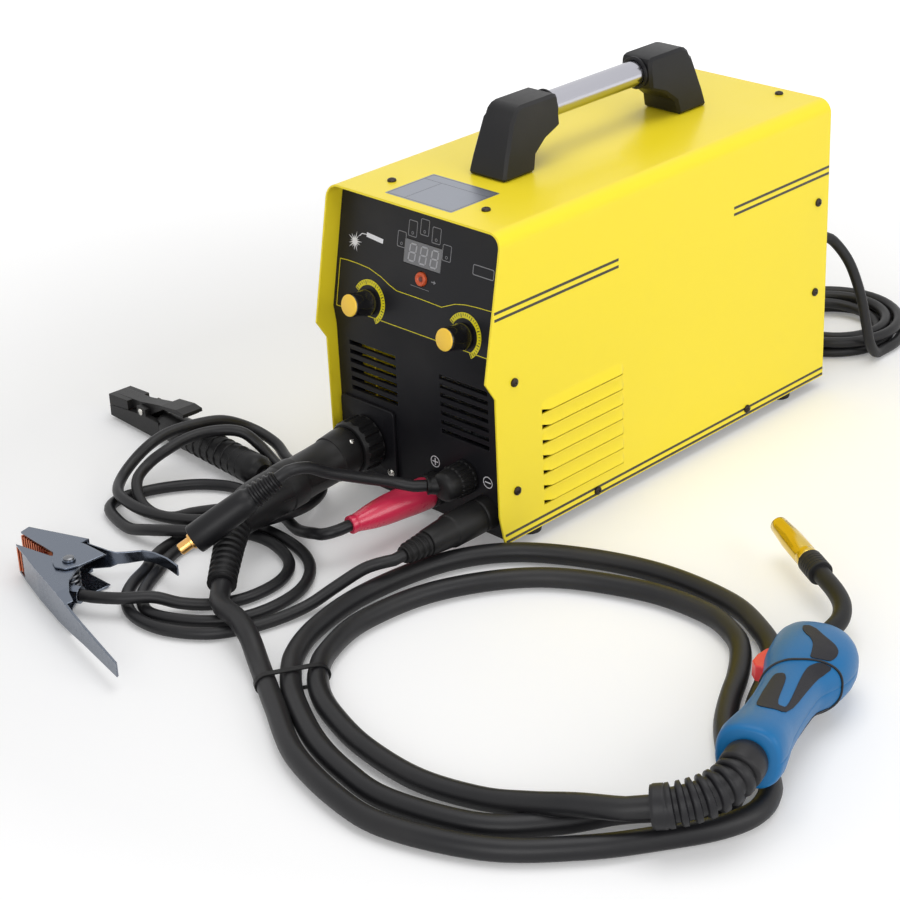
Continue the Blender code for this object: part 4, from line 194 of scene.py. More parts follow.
# --- Free leads ------------------------------------------------------------------------------------
# Round rubber cables: the thick torch lead in two and a half loops, and thinner electrode, ground,
# polarity and mains leads. Each leaves its fitting straight for one diameter, then lies as it fell.
SEAT = 0.0003                     # space left between pieces that touch
TORCH_CABLE_RADIUS = 0.0075
LEAD_RADIUS = 0.0045
CONNECTOR_END = Vector((-0.0085, -0.1947, 0.0218))
CONNECTOR_WAY = Vector((0.0065, -0.0072, -0.0027)).normalized()
ELECTRODE_PLUG_END = Vector((0.0080, -0.0855, 0.0300))
ELECTRODE_PLUG_WAY = Vector((-0.0003, -0.0045, 0.0)).normalized()
GROUND_PLUG_END = Vector((0.066, -0.0877, 0.027))
POLARITY_GLAND_END = Vector((0.0350, -0.0318, 0.0504))
POLARITY_GLAND_WAY = Vector((-0.0050, -0.0063, 0.0004)).normalized()
POLARITY_PLUG_REAR = Vector((-0.0102, -0.1352, 0.0817))
POLARITY_PLUG_TIP = Vector((-0.0474, -0.1991, 0.0375))
PROTECTOR_END = Vector((0.3985, -0.2080, 0.0302))
PROTECTOR_WAY = Vector((-0.0155, -0.0120, -0.0026)).normalized()
HOLDER_TURN = Matrix.Translation((-0.3280, -0.0380, 0.0)) @ Matrix.Rotation(math.atan2(-0.0140, 0.2000), 4, "Z")
HOLDER_END = HOLDER_TURN @ Vector((0.2005, 0.0, 0.0140))
HOLDER_WAY = (HOLDER_END - HOLDER_TURN @ Vector((0.1965, 0.0, 0.0140))).normalized()
BOOT_START = Vector((-0.1020, -0.2700, 0.0145))
BOOT_END = Vector((-0.0842, -0.2622, 0.0145))
BOOT_WAY = (BOOT_END - BOOT_START).normalized()


def on_curve(a, b, c, d, t):
    """A smooth curve's point at the share t from b to c, with a before them and d after."""
    return 0.5 * (2 * b + (c - a) * t + (2 * a - 5 * b + 4 * c - d) * t ** 2 + (3 * b - a - 3 * c + d) * t ** 3)


def runs(points):
    """How far along the line each of its points is."""
    along = [0.0]
    for before, after in zip(points, points[1:]):
        along.append(along[-1] + (after - before).length)
    return along


def run_of(points):
    """The line's length."""
    return runs(points)[-1]


def smooth_route(points, spacing, steps=24):
    """Evenly spaced points read from a smooth curve through the route's own points."""
    route = [Vector(point) for point in points]
    route = [2 * route[0] - route[1]] + route + [2 * route[-1] - route[-2]]
    fine = [on_curve(*route[k - 1:k + 3], step / steps) for k in range(1, len(route) - 2) for step in range(steps)]
    fine.append(route[-2])
    reach = runs(fine)
    count = max(2, round(reach[-1] / spacing))
    picked = []
    at = 0
    for k in range(count + 1):
        wanted = reach[-1] * k / count
        while at < len(fine) - 2 and reach[at + 1] < wanted:
            at += 1
        share = (wanted - reach[at]) / (reach[at + 1] - reach[at])
        picked.append(fine[at].lerp(fine[at + 1], min(max(share, 0.0), 1.0)))
    return picked


def lead_points(start, start_way, middle, end, end_way, radius, spacing):
    """A lead's points between two fittings: straight for one diameter at each end, smooth between."""
    first = start + start_way * (SEAT + 2 * radius)
    last = end + end_way * (SEAT + 2 * radius)
    between = smooth_route([start, first] + list(middle) + [last, end], radius)
    reach = run_of(between)
    free = reach - 4 * radius
    inner = smooth_route(between, free / max(1, round(free / spacing)))
    clear = 2 * radius / reach * 1.4
    kept = [point for k, point in enumerate(inner) if clear < k / (len(inner) - 1) < 1 - clear]
    return [start + start_way * SEAT, first] + kept + [last, end + end_way * SEAT]


TORCH_ON_FLOOR = 0.0078           # a lead's middle line where it lies on the floor
LEAD_ON_FLOOR = 0.0048


def laid(route, floor):
    """The route's points: one that gives no height lies on the floor."""
    return [(*point, floor)[:3] for point in route]


TORCH_CABLE_ROUTE = laid([
    (0.0140, -0.2110, 0.0178), (0.0300, -0.2140, 0.0180), (0.0520, -0.2220, 0.0160), (0.0700, -0.2310, 0.0105),
    (0.0880, -0.2410, 0.0080), (0.1070, -0.2520, 0.0080), (0.1260, -0.2630, 0.0080), (0.1738, -0.2893),
    (0.2310, -0.3035), (0.2744, -0.3028), (0.3330, -0.2790), (0.3754, -0.2400), (0.4030, -0.2030),
    (0.4220, -0.1720), (0.4285, -0.1460), (0.4200, -0.1220), (0.3985, -0.1030), (0.3760, -0.0840),
    (0.3580, -0.0570), (0.3430, -0.0260), (0.3260, 0.0020), (0.3032, 0.0200), (0.2642, 0.0360), (0.2040, 0.0370),
    (0.1464, 0.0200), (0.0971, -0.0107), (0.0690, -0.0571), (0.0600, -0.1223), (0.0680, -0.1750), (0.0830, -0.2080),
    (0.1020, -0.2290), (0.1260, -0.2466), (0.1708, -0.2695), (0.2120, -0.2810), (0.2541, -0.2840),
    (0.3120, -0.2660), (0.3460, -0.2338), (0.3674, -0.2007), (0.3880, -0.1790), (0.4050, -0.1620),
    (0.4085, -0.1450), (0.3965, -0.1270), (0.3765, -0.1090), (0.3560, -0.0860), (0.3400, -0.0610),
    (0.3255, -0.0340), (0.3080, -0.0090), (0.2900, 0.0050), (0.2583, 0.0150), (0.2043, 0.0093), (0.1386, -0.0234),
    (0.0970, -0.0826), (0.0860, -0.1461), (0.0970, -0.1900), (0.1130, -0.2140), (0.1340, -0.2310),
    (0.1600, -0.2430), (0.2000, -0.2540), (0.2505, -0.2570), (0.2953, -0.2470, 0.0090), (0.3283, -0.2380, 0.0160),
    (0.3580, -0.2280, 0.0235)], TORCH_ON_FLOOR)
ELECTRODE_LEAD_ROUTE = laid([
    (0.0000, -0.1040, 0.0275), (-0.0150, -0.1015, 0.0220), (-0.0350, -0.0930, 0.0125), (-0.0540, -0.0860, 0.0062),
    (-0.0820, -0.0760), (-0.1097, -0.0710), (-0.1415, -0.0705), (-0.1649, -0.0823), (-0.1812, -0.1004),
    (-0.1921, -0.1207), (-0.1972, -0.1404), (-0.1910, -0.1560), (-0.1720, -0.1640, 0.0050),
    (-0.1500, -0.1680, 0.0062), (-0.1280, -0.1660, 0.0118), (-0.1100, -0.1590, 0.0148), (-0.0900, -0.1430, 0.0150),
    (-0.0740, -0.1200, 0.0150), (-0.0640, -0.0940, 0.0155), (-0.0610, -0.0680, 0.0152), (-0.0720, -0.0420, 0.0148),
    (-0.1000, -0.0240, 0.0120), (-0.1408, -0.0150, 0.0080), (-0.1656, -0.0070, 0.0120), (-0.1880, -0.0120, 0.0200),
    (-0.2000, -0.0320, 0.0310), (-0.2080, -0.0588, 0.0338), (-0.2116, -0.0784, 0.0335), (-0.2124, -0.0961, 0.0300),
    (-0.2131, -0.1126, 0.0220), (-0.2070, -0.1310, 0.0150), (-0.1900, -0.1470, 0.0148), (-0.1680, -0.1525, 0.0148),
    (-0.1460, -0.1520, 0.0148), (-0.1220, -0.1450, 0.0148), (-0.1000, -0.1290, 0.0150), (-0.0840, -0.1060, 0.0150),
    (-0.0750, -0.0840, 0.0152), (-0.0750, -0.0620, 0.0150), (-0.0860, -0.0440, 0.0146), (-0.1070, -0.0340, 0.0120),
    (-0.1350, -0.0300, 0.0095), (-0.1550, -0.0310, 0.0215), (-0.1690, -0.0380, 0.0325), (-0.1840, -0.0520, 0.0342),
    (-0.1930, -0.0720, 0.0330), (-0.1960, -0.0950, 0.0285), (-0.1995, -0.1096, 0.0215), (-0.1945, -0.1250, 0.0155),
    (-0.1770, -0.1370, 0.0090), (-0.1580, -0.1400, 0.0054), (-0.1400, -0.1350, 0.0056), (-0.1250, -0.1270, 0.0112),
    (-0.1080, -0.1140, 0.0150), (-0.0940, -0.0960, 0.0152), (-0.0875, -0.0770, 0.0152), (-0.0920, -0.0600, 0.0147),
    (-0.1040, -0.0530, 0.0142)], LEAD_ON_FLOOR)
GROUND_LEAD_ROUTE = laid([
    (-0.0580, -0.2470, 0.0150), (-0.0430, -0.2300, 0.0142), (-0.0300, -0.2160, 0.0080), (-0.0160, -0.1990, 0.0049),
    (-0.0040, -0.1760), (-0.0040, -0.1460), (-0.0180, -0.1240), (-0.0450, -0.1125), (-0.0700, -0.1120),
    (-0.0900, -0.1210), (-0.0980, -0.1400), (-0.0980, -0.1620), (-0.0910, -0.1810), (-0.0820, -0.1970),
    (-0.0730, -0.2130), (-0.0610, -0.2270), (-0.0400, -0.2360), (-0.0120, -0.2250), (0.0102, -0.2049),
    (0.0195, -0.1788), (0.0181, -0.1492), (0.0060, -0.1260), (-0.0140, -0.1100), (-0.0420, -0.1020),
    (-0.0740, -0.1015), (-0.0990, -0.1110), (-0.1090, -0.1340), (-0.1090, -0.1620), (-0.1030, -0.1820),
    (-0.0930, -0.1980), (-0.0840, -0.2170), (-0.0700, -0.2340), (-0.0460, -0.2460), (-0.0160, -0.2440),
    (0.0117, -0.2280), (0.0270, -0.2060), (0.0355, -0.1810, 0.0050), (0.0405, -0.1570, 0.0072),
    (0.0455, -0.1370, 0.0140), (0.0530, -0.1160, 0.0225), (0.0610, -0.1050, 0.0262)], LEAD_ON_FLOOR)
POLARITY_LEAD_ROUTE = [
    (0.0160, -0.0510, 0.0550), (0.0065, -0.0710, 0.0630), (-0.0005, -0.0950, 0.0740), (-0.0030, -0.1120, 0.0840)]
MAINS_GLAND_END = Vector((0.0620, 0.4010, 0.1170))
COIL_X = 0.030
COIL_Y = 0.474
COIL_RADIUS = 0.062
COIL_TURNS = 2.0
COIL_PITCH = 0.0108
COIL_POINTS = 48                  # for each turn
COIL_LOW = 0.0047
COIL_RISE = 0.0100
MAINS_PLUG_END = Vector((-0.0850, 0.4300, 0.0195))
MAINS_CORD_ROUTE = [
    (0.0650, 0.4220, 0.1115), (0.0760, 0.4310, 0.0920), (0.0860, 0.4350, 0.0640), (0.0915, 0.4370, 0.0380),
    (0.0935, 0.4410, 0.0190), (0.0930, 0.4490, 0.0085)]
COIL_TAIL_ROUTE = [
    (-0.0335, 0.4560, 0.0150), (-0.0390, 0.4440, 0.0158), (-0.0490, 0.4350, 0.0170), (-0.0610, 0.4310, 0.0184)]


def coil_points():
    """The coil's spiral: inward on the floor, up in half a turn, outward on top."""
    points = []
    total = 2 * COIL_TURNS + 0.5
    for k in range(round(total * COIL_POINTS) + 1):
        turn = k / COIL_POINTS
        rise = min(max((turn - COIL_TURNS) / 0.5, 0.0), 1.0)
        radius = COIL_RADIUS - COIL_PITCH * min(turn, total - turn)
        angle = 2 * math.pi * turn
        points.append(Vector((COIL_X + radius * math.cos(angle), COIL_Y + radius * math.sin(angle),
                              COIL_LOW + COIL_RISE * rise)))
    return points


def cable(name, points, radius):
    """A lead as a curve with a round section."""
    curve = bpy.data.curves.new(name, "CURVE")
    curve.dimensions = "3D"
    curve.bevel_depth = radius
    curve.bevel_resolution = 5
    curve.use_fill_caps = True
    spline = curve.splines.new("POLY")
    spline.points.add(len(points) - 1)
    for place, point in zip(spline.points, points):
        place.co = (*placed(*point), 1.0)
    return linked(name, curve)


def srgb(red, green, blue):
    """A colour as it looks on a screen, 0 to 255, in the numbers a shader takes."""
    return tuple(c / 3294.6 if c <= 10.3 else ((c / 255 + 0.055) / 1.055) ** 2.4 for c in (red, green, blue))


def shader_group(name, inputs, outputs):
    """An empty shader group with named number inputs, and its outputs."""
    group = bpy.data.node_groups.new(name, "ShaderNodeTree")
    for label, value in inputs.items():
        group.interface.new_socket(label, in_out="INPUT", socket_type="NodeSocketFloat").default_value = value
    for label, kind in outputs.items():
        group.interface.new_socket(label, in_out="OUTPUT", socket_type=kind)
    return group, group.nodes.new("NodeGroupInput"), group.nodes.new("NodeGroupOutput")


def worked_out(tree, operation, first, second):
    """A maths node on two numbers or sockets."""
    node = tree.nodes.new("ShaderNodeMath")
    node.operation = operation
    for k, value in enumerate((first, second)):
        if isinstance(value, float):
            node.inputs[k].default_value = value
        else:
            tree.links.new(value, node.inputs[k])
    return node.outputs[0]


def noise(tree, scale, detail, stretch=(1.0, 1.0, 1.0)):
    """Noise on the piece's own coordinates."""
    place = tree.nodes.new("ShaderNodeTexCoord")
    turn = tree.nodes.new("ShaderNodeMapping")
    turn.inputs["Scale"].default_value = stretch
    cloud = tree.nodes.new("ShaderNodeTexNoise")
    cloud.inputs["Detail"].default_value = detail
    tree.links.new(place.outputs["Object"], turn.inputs["Vector"])
    tree.links.new(turn.outputs["Vector"], cloud.inputs["Vector"])
    if isinstance(scale, float):
        cloud.inputs["Scale"].default_value = scale
    else:
        tree.links.new(scale, cloud.inputs["Scale"])
    return cloud.outputs["Fac"]


# Grain: fine height all over a moulded, painted or cast surface
surface_grain, given, gives = shader_group("surface_grain", {"Scale": 900.0, "Depth": 1.0},
                                           {"Height": "NodeSocketFloat"})
height = worked_out(surface_grain, "MULTIPLY", noise(surface_grain, given.outputs["Scale"], 3.0),
                    given.outputs["Depth"])
surface_grain.links.new(height, gives.inputs["Height"])

# Handling: broad soft smudges in the gloss, and a trace of dust
handling, given, gives = shader_group("handling", {"Scale": 14.0, "Roughness": 0.4, "Spread": 0.1},
                                      {"Roughness": "NodeSocketFloat", "Dust": "NodeSocketFloat"})
broad = noise(handling, given.outputs["Scale"], 4.0)
fine = noise(handling, 420.0, 2.0)
mixed = worked_out(handling, "ADD", worked_out(handling, "MULTIPLY", broad, 0.7),
                   worked_out(handling, "MULTIPLY", fine, 0.3))
swing = worked_out(handling, "MULTIPLY", worked_out(handling, "SUBTRACT", mixed, 0.5), given.outputs["Spread"])
handling.links.new(worked_out(handling, "ADD", given.outputs["Roughness"],
                              worked_out(handling, "MULTIPLY", swing, 4.0)), gives.inputs["Roughness"])
handling.links.new(worked_out(handling, "POWER", broad, 3.0), gives.inputs["Dust"])

# Edges: eased corners, and a mask where hands and benches have rubbed them
eased_edges, given, gives = shader_group("eased_edges", {"Radius": 0.0005, "Wear": 0.0},
                                         {"Normal": "NodeSocketVector", "Mask": "NodeSocketFloat"})
eased = eased_edges.nodes.new("ShaderNodeBevel")
eased.samples = 4
shape = eased_edges.nodes.new("ShaderNodeNewGeometry")
agree = eased_edges.nodes.new("ShaderNodeVectorMath")
agree.operation = "DOT_PRODUCT"
eased_edges.links.new(given.outputs["Radius"], eased.inputs["Radius"])
eased_edges.links.new(eased.outputs["Normal"], agree.inputs[0])
eased_edges.links.new(shape.outputs["Normal"], agree.inputs[1])
turned_away = worked_out(eased_edges, "SUBTRACT", 1.0, agree.outputs["Value"])
patchy = worked_out(eased_edges, "GREATER_THAN", noise(eased_edges, 160.0, 4.0), 0.52)
rubbed = worked_out(eased_edges, "MULTIPLY", worked_out(eased_edges, "MULTIPLY", turned_away, patchy),
                    given.outputs["Wear"])
eased_edges.links.new(worked_out(eased_edges, "MINIMUM", rubbed, 1.0), gives.inputs["Mask"])
eased_edges.links.new(eased.outputs["Normal"], gives.inputs["Normal"])

DUST = srgb(170, 166, 158)


def finish_of(name, colour, roughness, metallic=0.0, grain=900.0, depth=0.00003, spread=0.06, dust=0.03,
              ease=0.0005, wear=0.0, worn=(0.5, 0.5, 0.5), coat=0.0, stretch=None, shine=0.5):
    """A painted, moulded or metal finish: its colour with dust and rubbed edges, uneven gloss and grain."""
    look = bpy.data.materials.new(name)
    look.use_nodes = True
    tree = look.node_tree
    shader = tree.nodes["Principled BSDF"]
    shader.inputs["Metallic"].default_value = metallic
    shader.inputs["Coat Weight"].default_value = coat
    shader.inputs["Coat Roughness"].default_value = 0.12
    shader.inputs["Specular IOR Level"].default_value = shine

    def placed_group(group, **values):
        """The group's outputs, with those values given to it."""
        node = tree.nodes.new("ShaderNodeGroup")
        node.node_tree = group
        for label, value in values.items():
            node.inputs[label].default_value = value
        return node.outputs

    gloss = placed_group(handling, Scale=14.0, Roughness=roughness, Spread=spread)
    edges = placed_group(eased_edges, Radius=ease, Wear=wear)
    relief = (placed_group(surface_grain, Scale=grain, Depth=1.0)["Height"] if stretch is None
              else noise(tree, grain, 3.0, stretch))
    tint = colour
    for over, share in ((DUST, worked_out(tree, "MULTIPLY", gloss["Dust"], dust * 4)), (worn, edges["Mask"])):
        layer = tree.nodes.new("ShaderNodeMix")
        layer.data_type = "RGBA"
        tree.links.new(share, layer.inputs[0])
        if isinstance(tint, tuple):
            layer.inputs[6].default_value = (*tint, 1.0)
        else:
            tree.links.new(tint, layer.inputs[6])
        layer.inputs[7].default_value = (*over, 1.0)
        tint = layer.outputs[2]
    bump = tree.nodes.new("ShaderNodeBump")
    bump.inputs["Distance"].default_value = depth
    tree.links.new(relief, bump.inputs["Height"])
    tree.links.new(edges["Normal"], bump.inputs["Normal"])
    tree.links.new(tint, shader.inputs["Base Color"])
    tree.links.new(gloss["Roughness"], shader.inputs["Roughness"])
    tree.links.new(bump.outputs["Normal"], shader.inputs["Normal"])
    return look


cable_rubber = finish_of("cable_rubber", srgb(21, 21, 24), 0.42, grain=1600.0, depth=0.00005, spread=0.07,
                         dust=0.02, shine=0.30)
black_plastic = finish_of("black_plastic", srgb(18, 18, 21), 0.40, grain=2600.0, depth=0.00003, dust=0.015,
                          shine=0.24)
soft_black = finish_of("soft_black", srgb(17, 17, 19), 0.48, grain=2200.0, depth=0.00005, dust=0.02, shine=0.24)
brass = finish_of("brass", srgb(226, 176, 104), 0.26, metallic=1.0, grain=500.0, depth=0.00002, dust=0.0,
                  stretch=(1.0, 1.0, 1.0))


def seated(made, body, slot, *nodes):
    """The piece rides on its body and stands for those nodes; slot is not used."""
    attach(made, body)
    if nodes:
        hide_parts(*nodes)
    return made


def finished(name, mesh, look, smooth):
    """The mesh in its finish, smooth but for edges sharper than that angle."""
    mesh.shade_smooth()
    mesh.set_sharp_from_angle(angle=math.radians(smooth))
    mesh.materials.append(look)
    return linked(name, mesh)


def piece(name, bm, look, body, slot, *nodes, smooth=35.0):
    """A mesh drawn in the case frame, as a finished piece in its place."""
    bmesh.ops.recalc_face_normals(bm, faces=bm.faces)
    mesh = mesh_of(name, bm)
    mesh.transform(Matrix.Translation(CASE_FROM_MIDDLE))
    return seated(finished(name, mesh, look, smooth), body, slot, *nodes)


def circle(bm, middle, across, over, radius, sides):
    """A ring of points round a middle, in the plane of two directions."""
    return [bm.verts.new(middle + (across * math.cos(turn) + over * math.sin(turn)) * radius)
            for turn in (2 * math.pi * j / sides for j in range(sides))]


def skinned(bm, rings, closed=False):
    """Faces from each ring of points to the next; a closed run also joins the last to the first."""
    for low, high in zip(rings, rings[1:] + rings[:1] if closed else rings[1:]):
        for j in range(len(low)):
            after = (j + 1) % len(low)
            bm.faces.new((low[j], low[after], high[after], high[j]))


def swept(bm, stations, sides=36):
    """Round sections skinned along a line; each station has its middle and radius. Both ends are closed."""
    rings = []
    across = None
    for k, (middle, radius) in enumerate(stations):
        before = Vector(stations[max(k - 1, 0)][0])
        after = Vector(stations[min(k + 1, len(stations) - 1)][0])
        way = after - before
        if way.length < 1e-7:
            way = Vector(stations[min(k + 2, len(stations) - 1)][0]) - Vector(stations[max(k - 2, 0)][0])
        way.normalize()
        across = way.orthogonal() if across is None else across - way * across.dot(way)
        across.normalize()
        rings.append(circle(bm, Vector(middle), across, way.cross(across), radius, sides))
    skinned(bm, rings)
    bm.faces.new(rings[0][::-1])
    bm.faces.new(rings[-1])


def turned(bm, profile, start, way, sides=48):
    """A turned solid: the profile's points are (along, radius) from the start; radius 0 closes an end."""
    start, way = Vector(start), Vector(way).normalized()
    across = way.orthogonal().normalized()
    over = way.cross(across)
    rings = []
    for along, radius in profile:
        middle = start + way * along
        rings.append([bm.verts.new(middle)] if radius < 1e-7 else circle(bm, middle, across, over, radius, sides))
    pairs = list(zip(rings, rings[1:]))
    if len(rings[0]) > 1:
        pairs.append((rings[-1], rings[0]))
    for low, high in pairs:
        for j in range(sides):
            corners = [low[j % len(low)], low[(j + 1) % len(low)], high[(j + 1) % len(high)], high[j % len(high)]]
            bm.faces.new(list(dict.fromkeys(corners)))


def block(bm, low, high):
    """A plain block between two corners."""
    corners = [bm.verts.new((x, y, z)) for x in (low[0], high[0]) for y in (low[1], high[1])
               for z in (low[2], high[2])]
    for face in ((0, 1, 3, 2), (4, 6, 7, 5), (0, 4, 5, 1), (2, 3, 7, 6), (0, 2, 6, 4), (1, 5, 7, 3)):
        bm.faces.new([corners[k] for k in face])


def slab(bm, outline, lay, low, high):
    """A thin closed plate: an outline in the flat, laid on a surface by lay(across, up, lift)."""
    under = [bm.verts.new(lay(u, v, low)) for u, v in outline]
    over = [bm.verts.new(lay(u, v, high)) for u, v in outline]
    bm.faces.new(under[::-1])
    bm.faces.new(over)
    for k in range(len(outline)):
        after = (k + 1) % len(outline)
        bm.faces.new((under[k], under[after], over[after], over[k]))


def ribbed(start, way, first, pitch, count, wide, taper, deep, crest=0.5):
    """Stations of round-crested ribs along a straight neck: each rib is narrower by the taper."""
    stations = []
    for k in range(count):
        radius = wide + taper * k
        along = first + k * pitch
        for share, drop in ((0.0, deep), (0.08, deep * 0.35), (0.18, 0.0), (crest - 0.08, 0.0),
                            (crest + 0.02, deep * 0.35), (crest + 0.10, deep), (0.96, deep)):
            stations.append((start + way * (along + share * pitch), radius - drop))
    return stations


torch_points = lead_points(CONNECTOR_END, CONNECTOR_WAY, TORCH_CABLE_ROUTE, PROTECTOR_END, PROTECTOR_WAY,
                           TORCH_CABLE_RADIUS, 0.006)
electrode_points = lead_points(ELECTRODE_PLUG_END, ELECTRODE_PLUG_WAY, ELECTRODE_LEAD_ROUTE, HOLDER_END, HOLDER_WAY,
                               LEAD_RADIUS, 0.004)
ground_points = lead_points(GROUND_PLUG_END, Vector((0, -1, 0)), GROUND_LEAD_ROUTE[::-1], BOOT_END, BOOT_WAY,
                            LEAD_RADIUS, 0.004)
for name, points, radius, node in (("torch_lead", torch_points, TORCH_CABLE_RADIUS, "torch_cable"),
                                   ("electrode_cable", electrode_points, LEAD_RADIUS, "electrode_lead"),
                                   ("ground_cable", ground_points, LEAD_RADIUS, "ground_lead")):
    lead = cable(name, points, radius)
    lead.data.materials.append(cable_rubber)
    seated(lead, "machine", "rubber", node)

# The loose polarity plug: ribbed neck, round grip and a brass pin with its locking lug
plug_way = (POLARITY_PLUG_TIP - POLARITY_PLUG_REAR).normalized()
plug_length = (POLARITY_PLUG_TIP - POLARITY_PLUG_REAR).length
PLUG_SHOULDER = 0.0245            # from the cable's end of the plug
PLUG_PIN = 0.0125                 # bare pin beyond the grip
PLUG_PIN_RADIUS = 0.0045
bm = bmesh.new()
grip_end = plug_length - PLUG_PIN
stations = [(POLARITY_PLUG_REAR, 0.0060), (POLARITY_PLUG_REAR + plug_way * 0.0006, 0.0066)]
stations += ribbed(POLARITY_PLUG_REAR, plug_way, 0.0010, 0.0044, 5, 0.0076, 0.0005, 0.0015)
for along, radius in ((PLUG_SHOULDER, 0.0092), (PLUG_SHOULDER + 0.0012, 0.0100), (0.0320, 0.0104), (0.0400, 0.0107),
                      (0.0500, 0.0110), (grip_end - 0.0012, 0.0112), (grip_end - 0.0003, 0.0108),
                      (grip_end, 0.0102)):
    stations.append((POLARITY_PLUG_REAR + plug_way * along, radius))
swept(bm, stations)
polarity_plug = piece("polarity_plug_grip", bm, black_plastic, "machine", "black_plastic", "polarity_plug")
bm = bmesh.new()
turned(bm, [(grip_end - 0.001, 0), (grip_end - 0.001, 0.0078), (grip_end + 0.0006, 0.0078),
            (grip_end + 0.0006, 0.0062), (grip_end + 0.0024, 0.0062), (grip_end + 0.0028, PLUG_PIN_RADIUS),
            (plug_length - 0.0008, PLUG_PIN_RADIUS), (plug_length, PLUG_PIN_RADIUS - 0.0008), (plug_length, 0)],
       POLARITY_PLUG_REAR, plug_way, 32)
lug_way = plug_way.orthogonal().normalized()
lug_foot = POLARITY_PLUG_REAR + plug_way * (plug_length - 0.0040)
turned(bm, [(0.002, 0), (0.002, 0.0018), (0.0062, 0.0018), (0.0068, 0.0013), (0.0068, 0)], lug_foot, lug_way, 20)
polarity_pin = piece("polarity_plug_pin", bm, brass, "machine", "brass")
polarity_points = lead_points(POLARITY_GLAND_END, POLARITY_GLAND_WAY, POLARITY_LEAD_ROUTE, POLARITY_PLUG_REAR,
                              -plug_way, LEAD_RADIUS, 0.003)
lead = cable("polarity_cable", polarity_points, LEAD_RADIUS)
lead.data.materials.append(cable_rubber)
seated(lead, "machine", "rubber", "polarity_lead")

# The mains lead hangs from its gland, lies in a coil behind the case and ends in a two-pin plug
coil_start = Vector((COIL_X + COIL_RADIUS, COIL_Y - 2 * LEAD_RADIUS, COIL_LOW))
turns = coil_points()
mains_points = lead_points(MAINS_GLAND_END, Vector((0, 1, 0)), MAINS_CORD_ROUTE, coil_start, Vector((0, -1, 0)),
                           LEAD_RADIUS, 0.004)[:-1]
mains_points += [coil_start] + turns[:-1]
mains_points += lead_points(turns[-1], Vector((0, -1, 0)), COIL_TAIL_ROUTE, MAINS_PLUG_END, Vector((1, 0, 0)),
                            LEAD_RADIUS, 0.004)
x, y, z = MAINS_PLUG_END
bm = bmesh.new()
stations = [((x, y, z), 0.0058), ((x - 0.0005, y, z), 0.0063)]
stations += ribbed(MAINS_PLUG_END, Vector((-1, 0, 0)), 0.0010, 0.0030, 4, 0.0068, 0.0003, 0.0010)
stations += [((x - back, y, z), radius) for back, radius in (
    (0.0134, 0.0082), (0.0150, 0.0112), (0.0185, 0.0142), (0.0240, 0.0165), (0.0310, 0.0175), (0.0370, 0.0180),
    (0.0380, 0.0187), (0.0390, 0.0190), (0.0442, 0.0190), (0.0450, 0.0184))]
swept(bm, stations)
mains_plug = piece("mains_plug_body", bm, black_plastic, "machine", "black_plastic", "mains_plug")
chrome_pin = finish_of("chrome_pin", srgb(205, 205, 208), 0.18, metallic=1.0, depth=0.00001, dust=0.0)
bm = bmesh.new()
for side in (-0.0095, 0.0095):
    turned(bm, [(0.0445, 0), (0.0445, 0.0024), (0.0625, 0.0024), (0.0636, 0.0016), (0.0640, 0)],
           (x, y + side, z), (-1, 0, 0), 20)
mains_pins = piece("mains_plug_pins", bm, chrome_pin, "machine", "chrome")
lead = cable("mains_lead", mains_points, LEAD_RADIUS)
lead.data.materials.append(cable_rubber)
seated(lead, "machine", "rubber", "mains_cord", "mains_coil")

# The tie that holds the torch lead's three strands together
TIE_WIDTH = 0.0045
TIE_RADIUS = 0.00755              # inside, just clear of the lead
strands = [Vector((0.0975, -0.2465, 0.0079)), Vector((0.1150, -0.2160, 0.0079))]
over_strands = (strands[1] - strands[0]).normalized()
along_strands = over_strands.cross(Vector((0, 0, 1)))
bm = bmesh.new()
rings = []
for strand, turn_from in ((strands[1], -90), (strands[0], 90)):
    for step in range(13):
        turn = math.radians(turn_from + 15 * step)
        out = over_strands * math.cos(turn) + Vector((0, 0, 1)) * math.sin(turn)
        thick = 0.0002 + 0.0009 * min(1.0, max(0.0, math.sin(turn) + 0.9))
        rings.append([bm.verts.new(strand + out * (TIE_RADIUS + lift) + along_strands * side)
                      for lift, side in ((0, -TIE_WIDTH / 2), (thick, -TIE_WIDTH / 2), (thick, TIE_WIDTH / 2),
                                         (0, TIE_WIDTH / 2))])
skinned(bm, rings, closed=True)
piece("cable_tie", bm, soft_black, "machine", "black_plastic")


# --- Case sheets, pan and feet ---------------------------------------------------------------------
# One folded steel sheet makes the sides and top, powder-coated yellow, with a second for the rear and a
# door on the left; they are screwed to a black pan on rubber feet. Black stripes are printed on the side.
yellow_coat = finish_of("yellow_powder_coat", srgb(254, 230, 44), 0.34, grain=1100.0, depth=0.00006, spread=0.05,
                        dust=0.012, ease=0.0006, wear=1.2, worn=srgb(214, 186, 30), coat=0.15, shine=0.32)
pan_paint = finish_of("black_pan_paint", srgb(28, 28, 29), 0.42, grain=1300.0, depth=0.00005, wear=1.5,
                      worn=srgb(96, 96, 98), shine=0.30)
foot_rubber = finish_of("foot_rubber", srgb(24, 24, 25), 0.62, grain=1500.0, depth=0.00008, dust=0.06, shine=0.25)
stripe_ink = finish_of("black_stripe_ink", srgb(38, 36, 30), 0.36, grain=1100.0, depth=0.00004, ease=0.0001)
plate_foil = finish_of("silver_foil", srgb(150, 154, 164), 0.36, metallic=0.75, grain=60.0, depth=0.00002,
                       stretch=(40.0, 1.0, 1.0), ease=0.0001)
HALF_WIDTH = 0.089
TOP_Z = 0.249
CASE_LENGTH = 0.380
STRIPE_HEIGHT = 0.0021
STRIPE_INK = 0.0001
STRIPE_FOOT = 0.0002              # how far the print reaches into the sheet


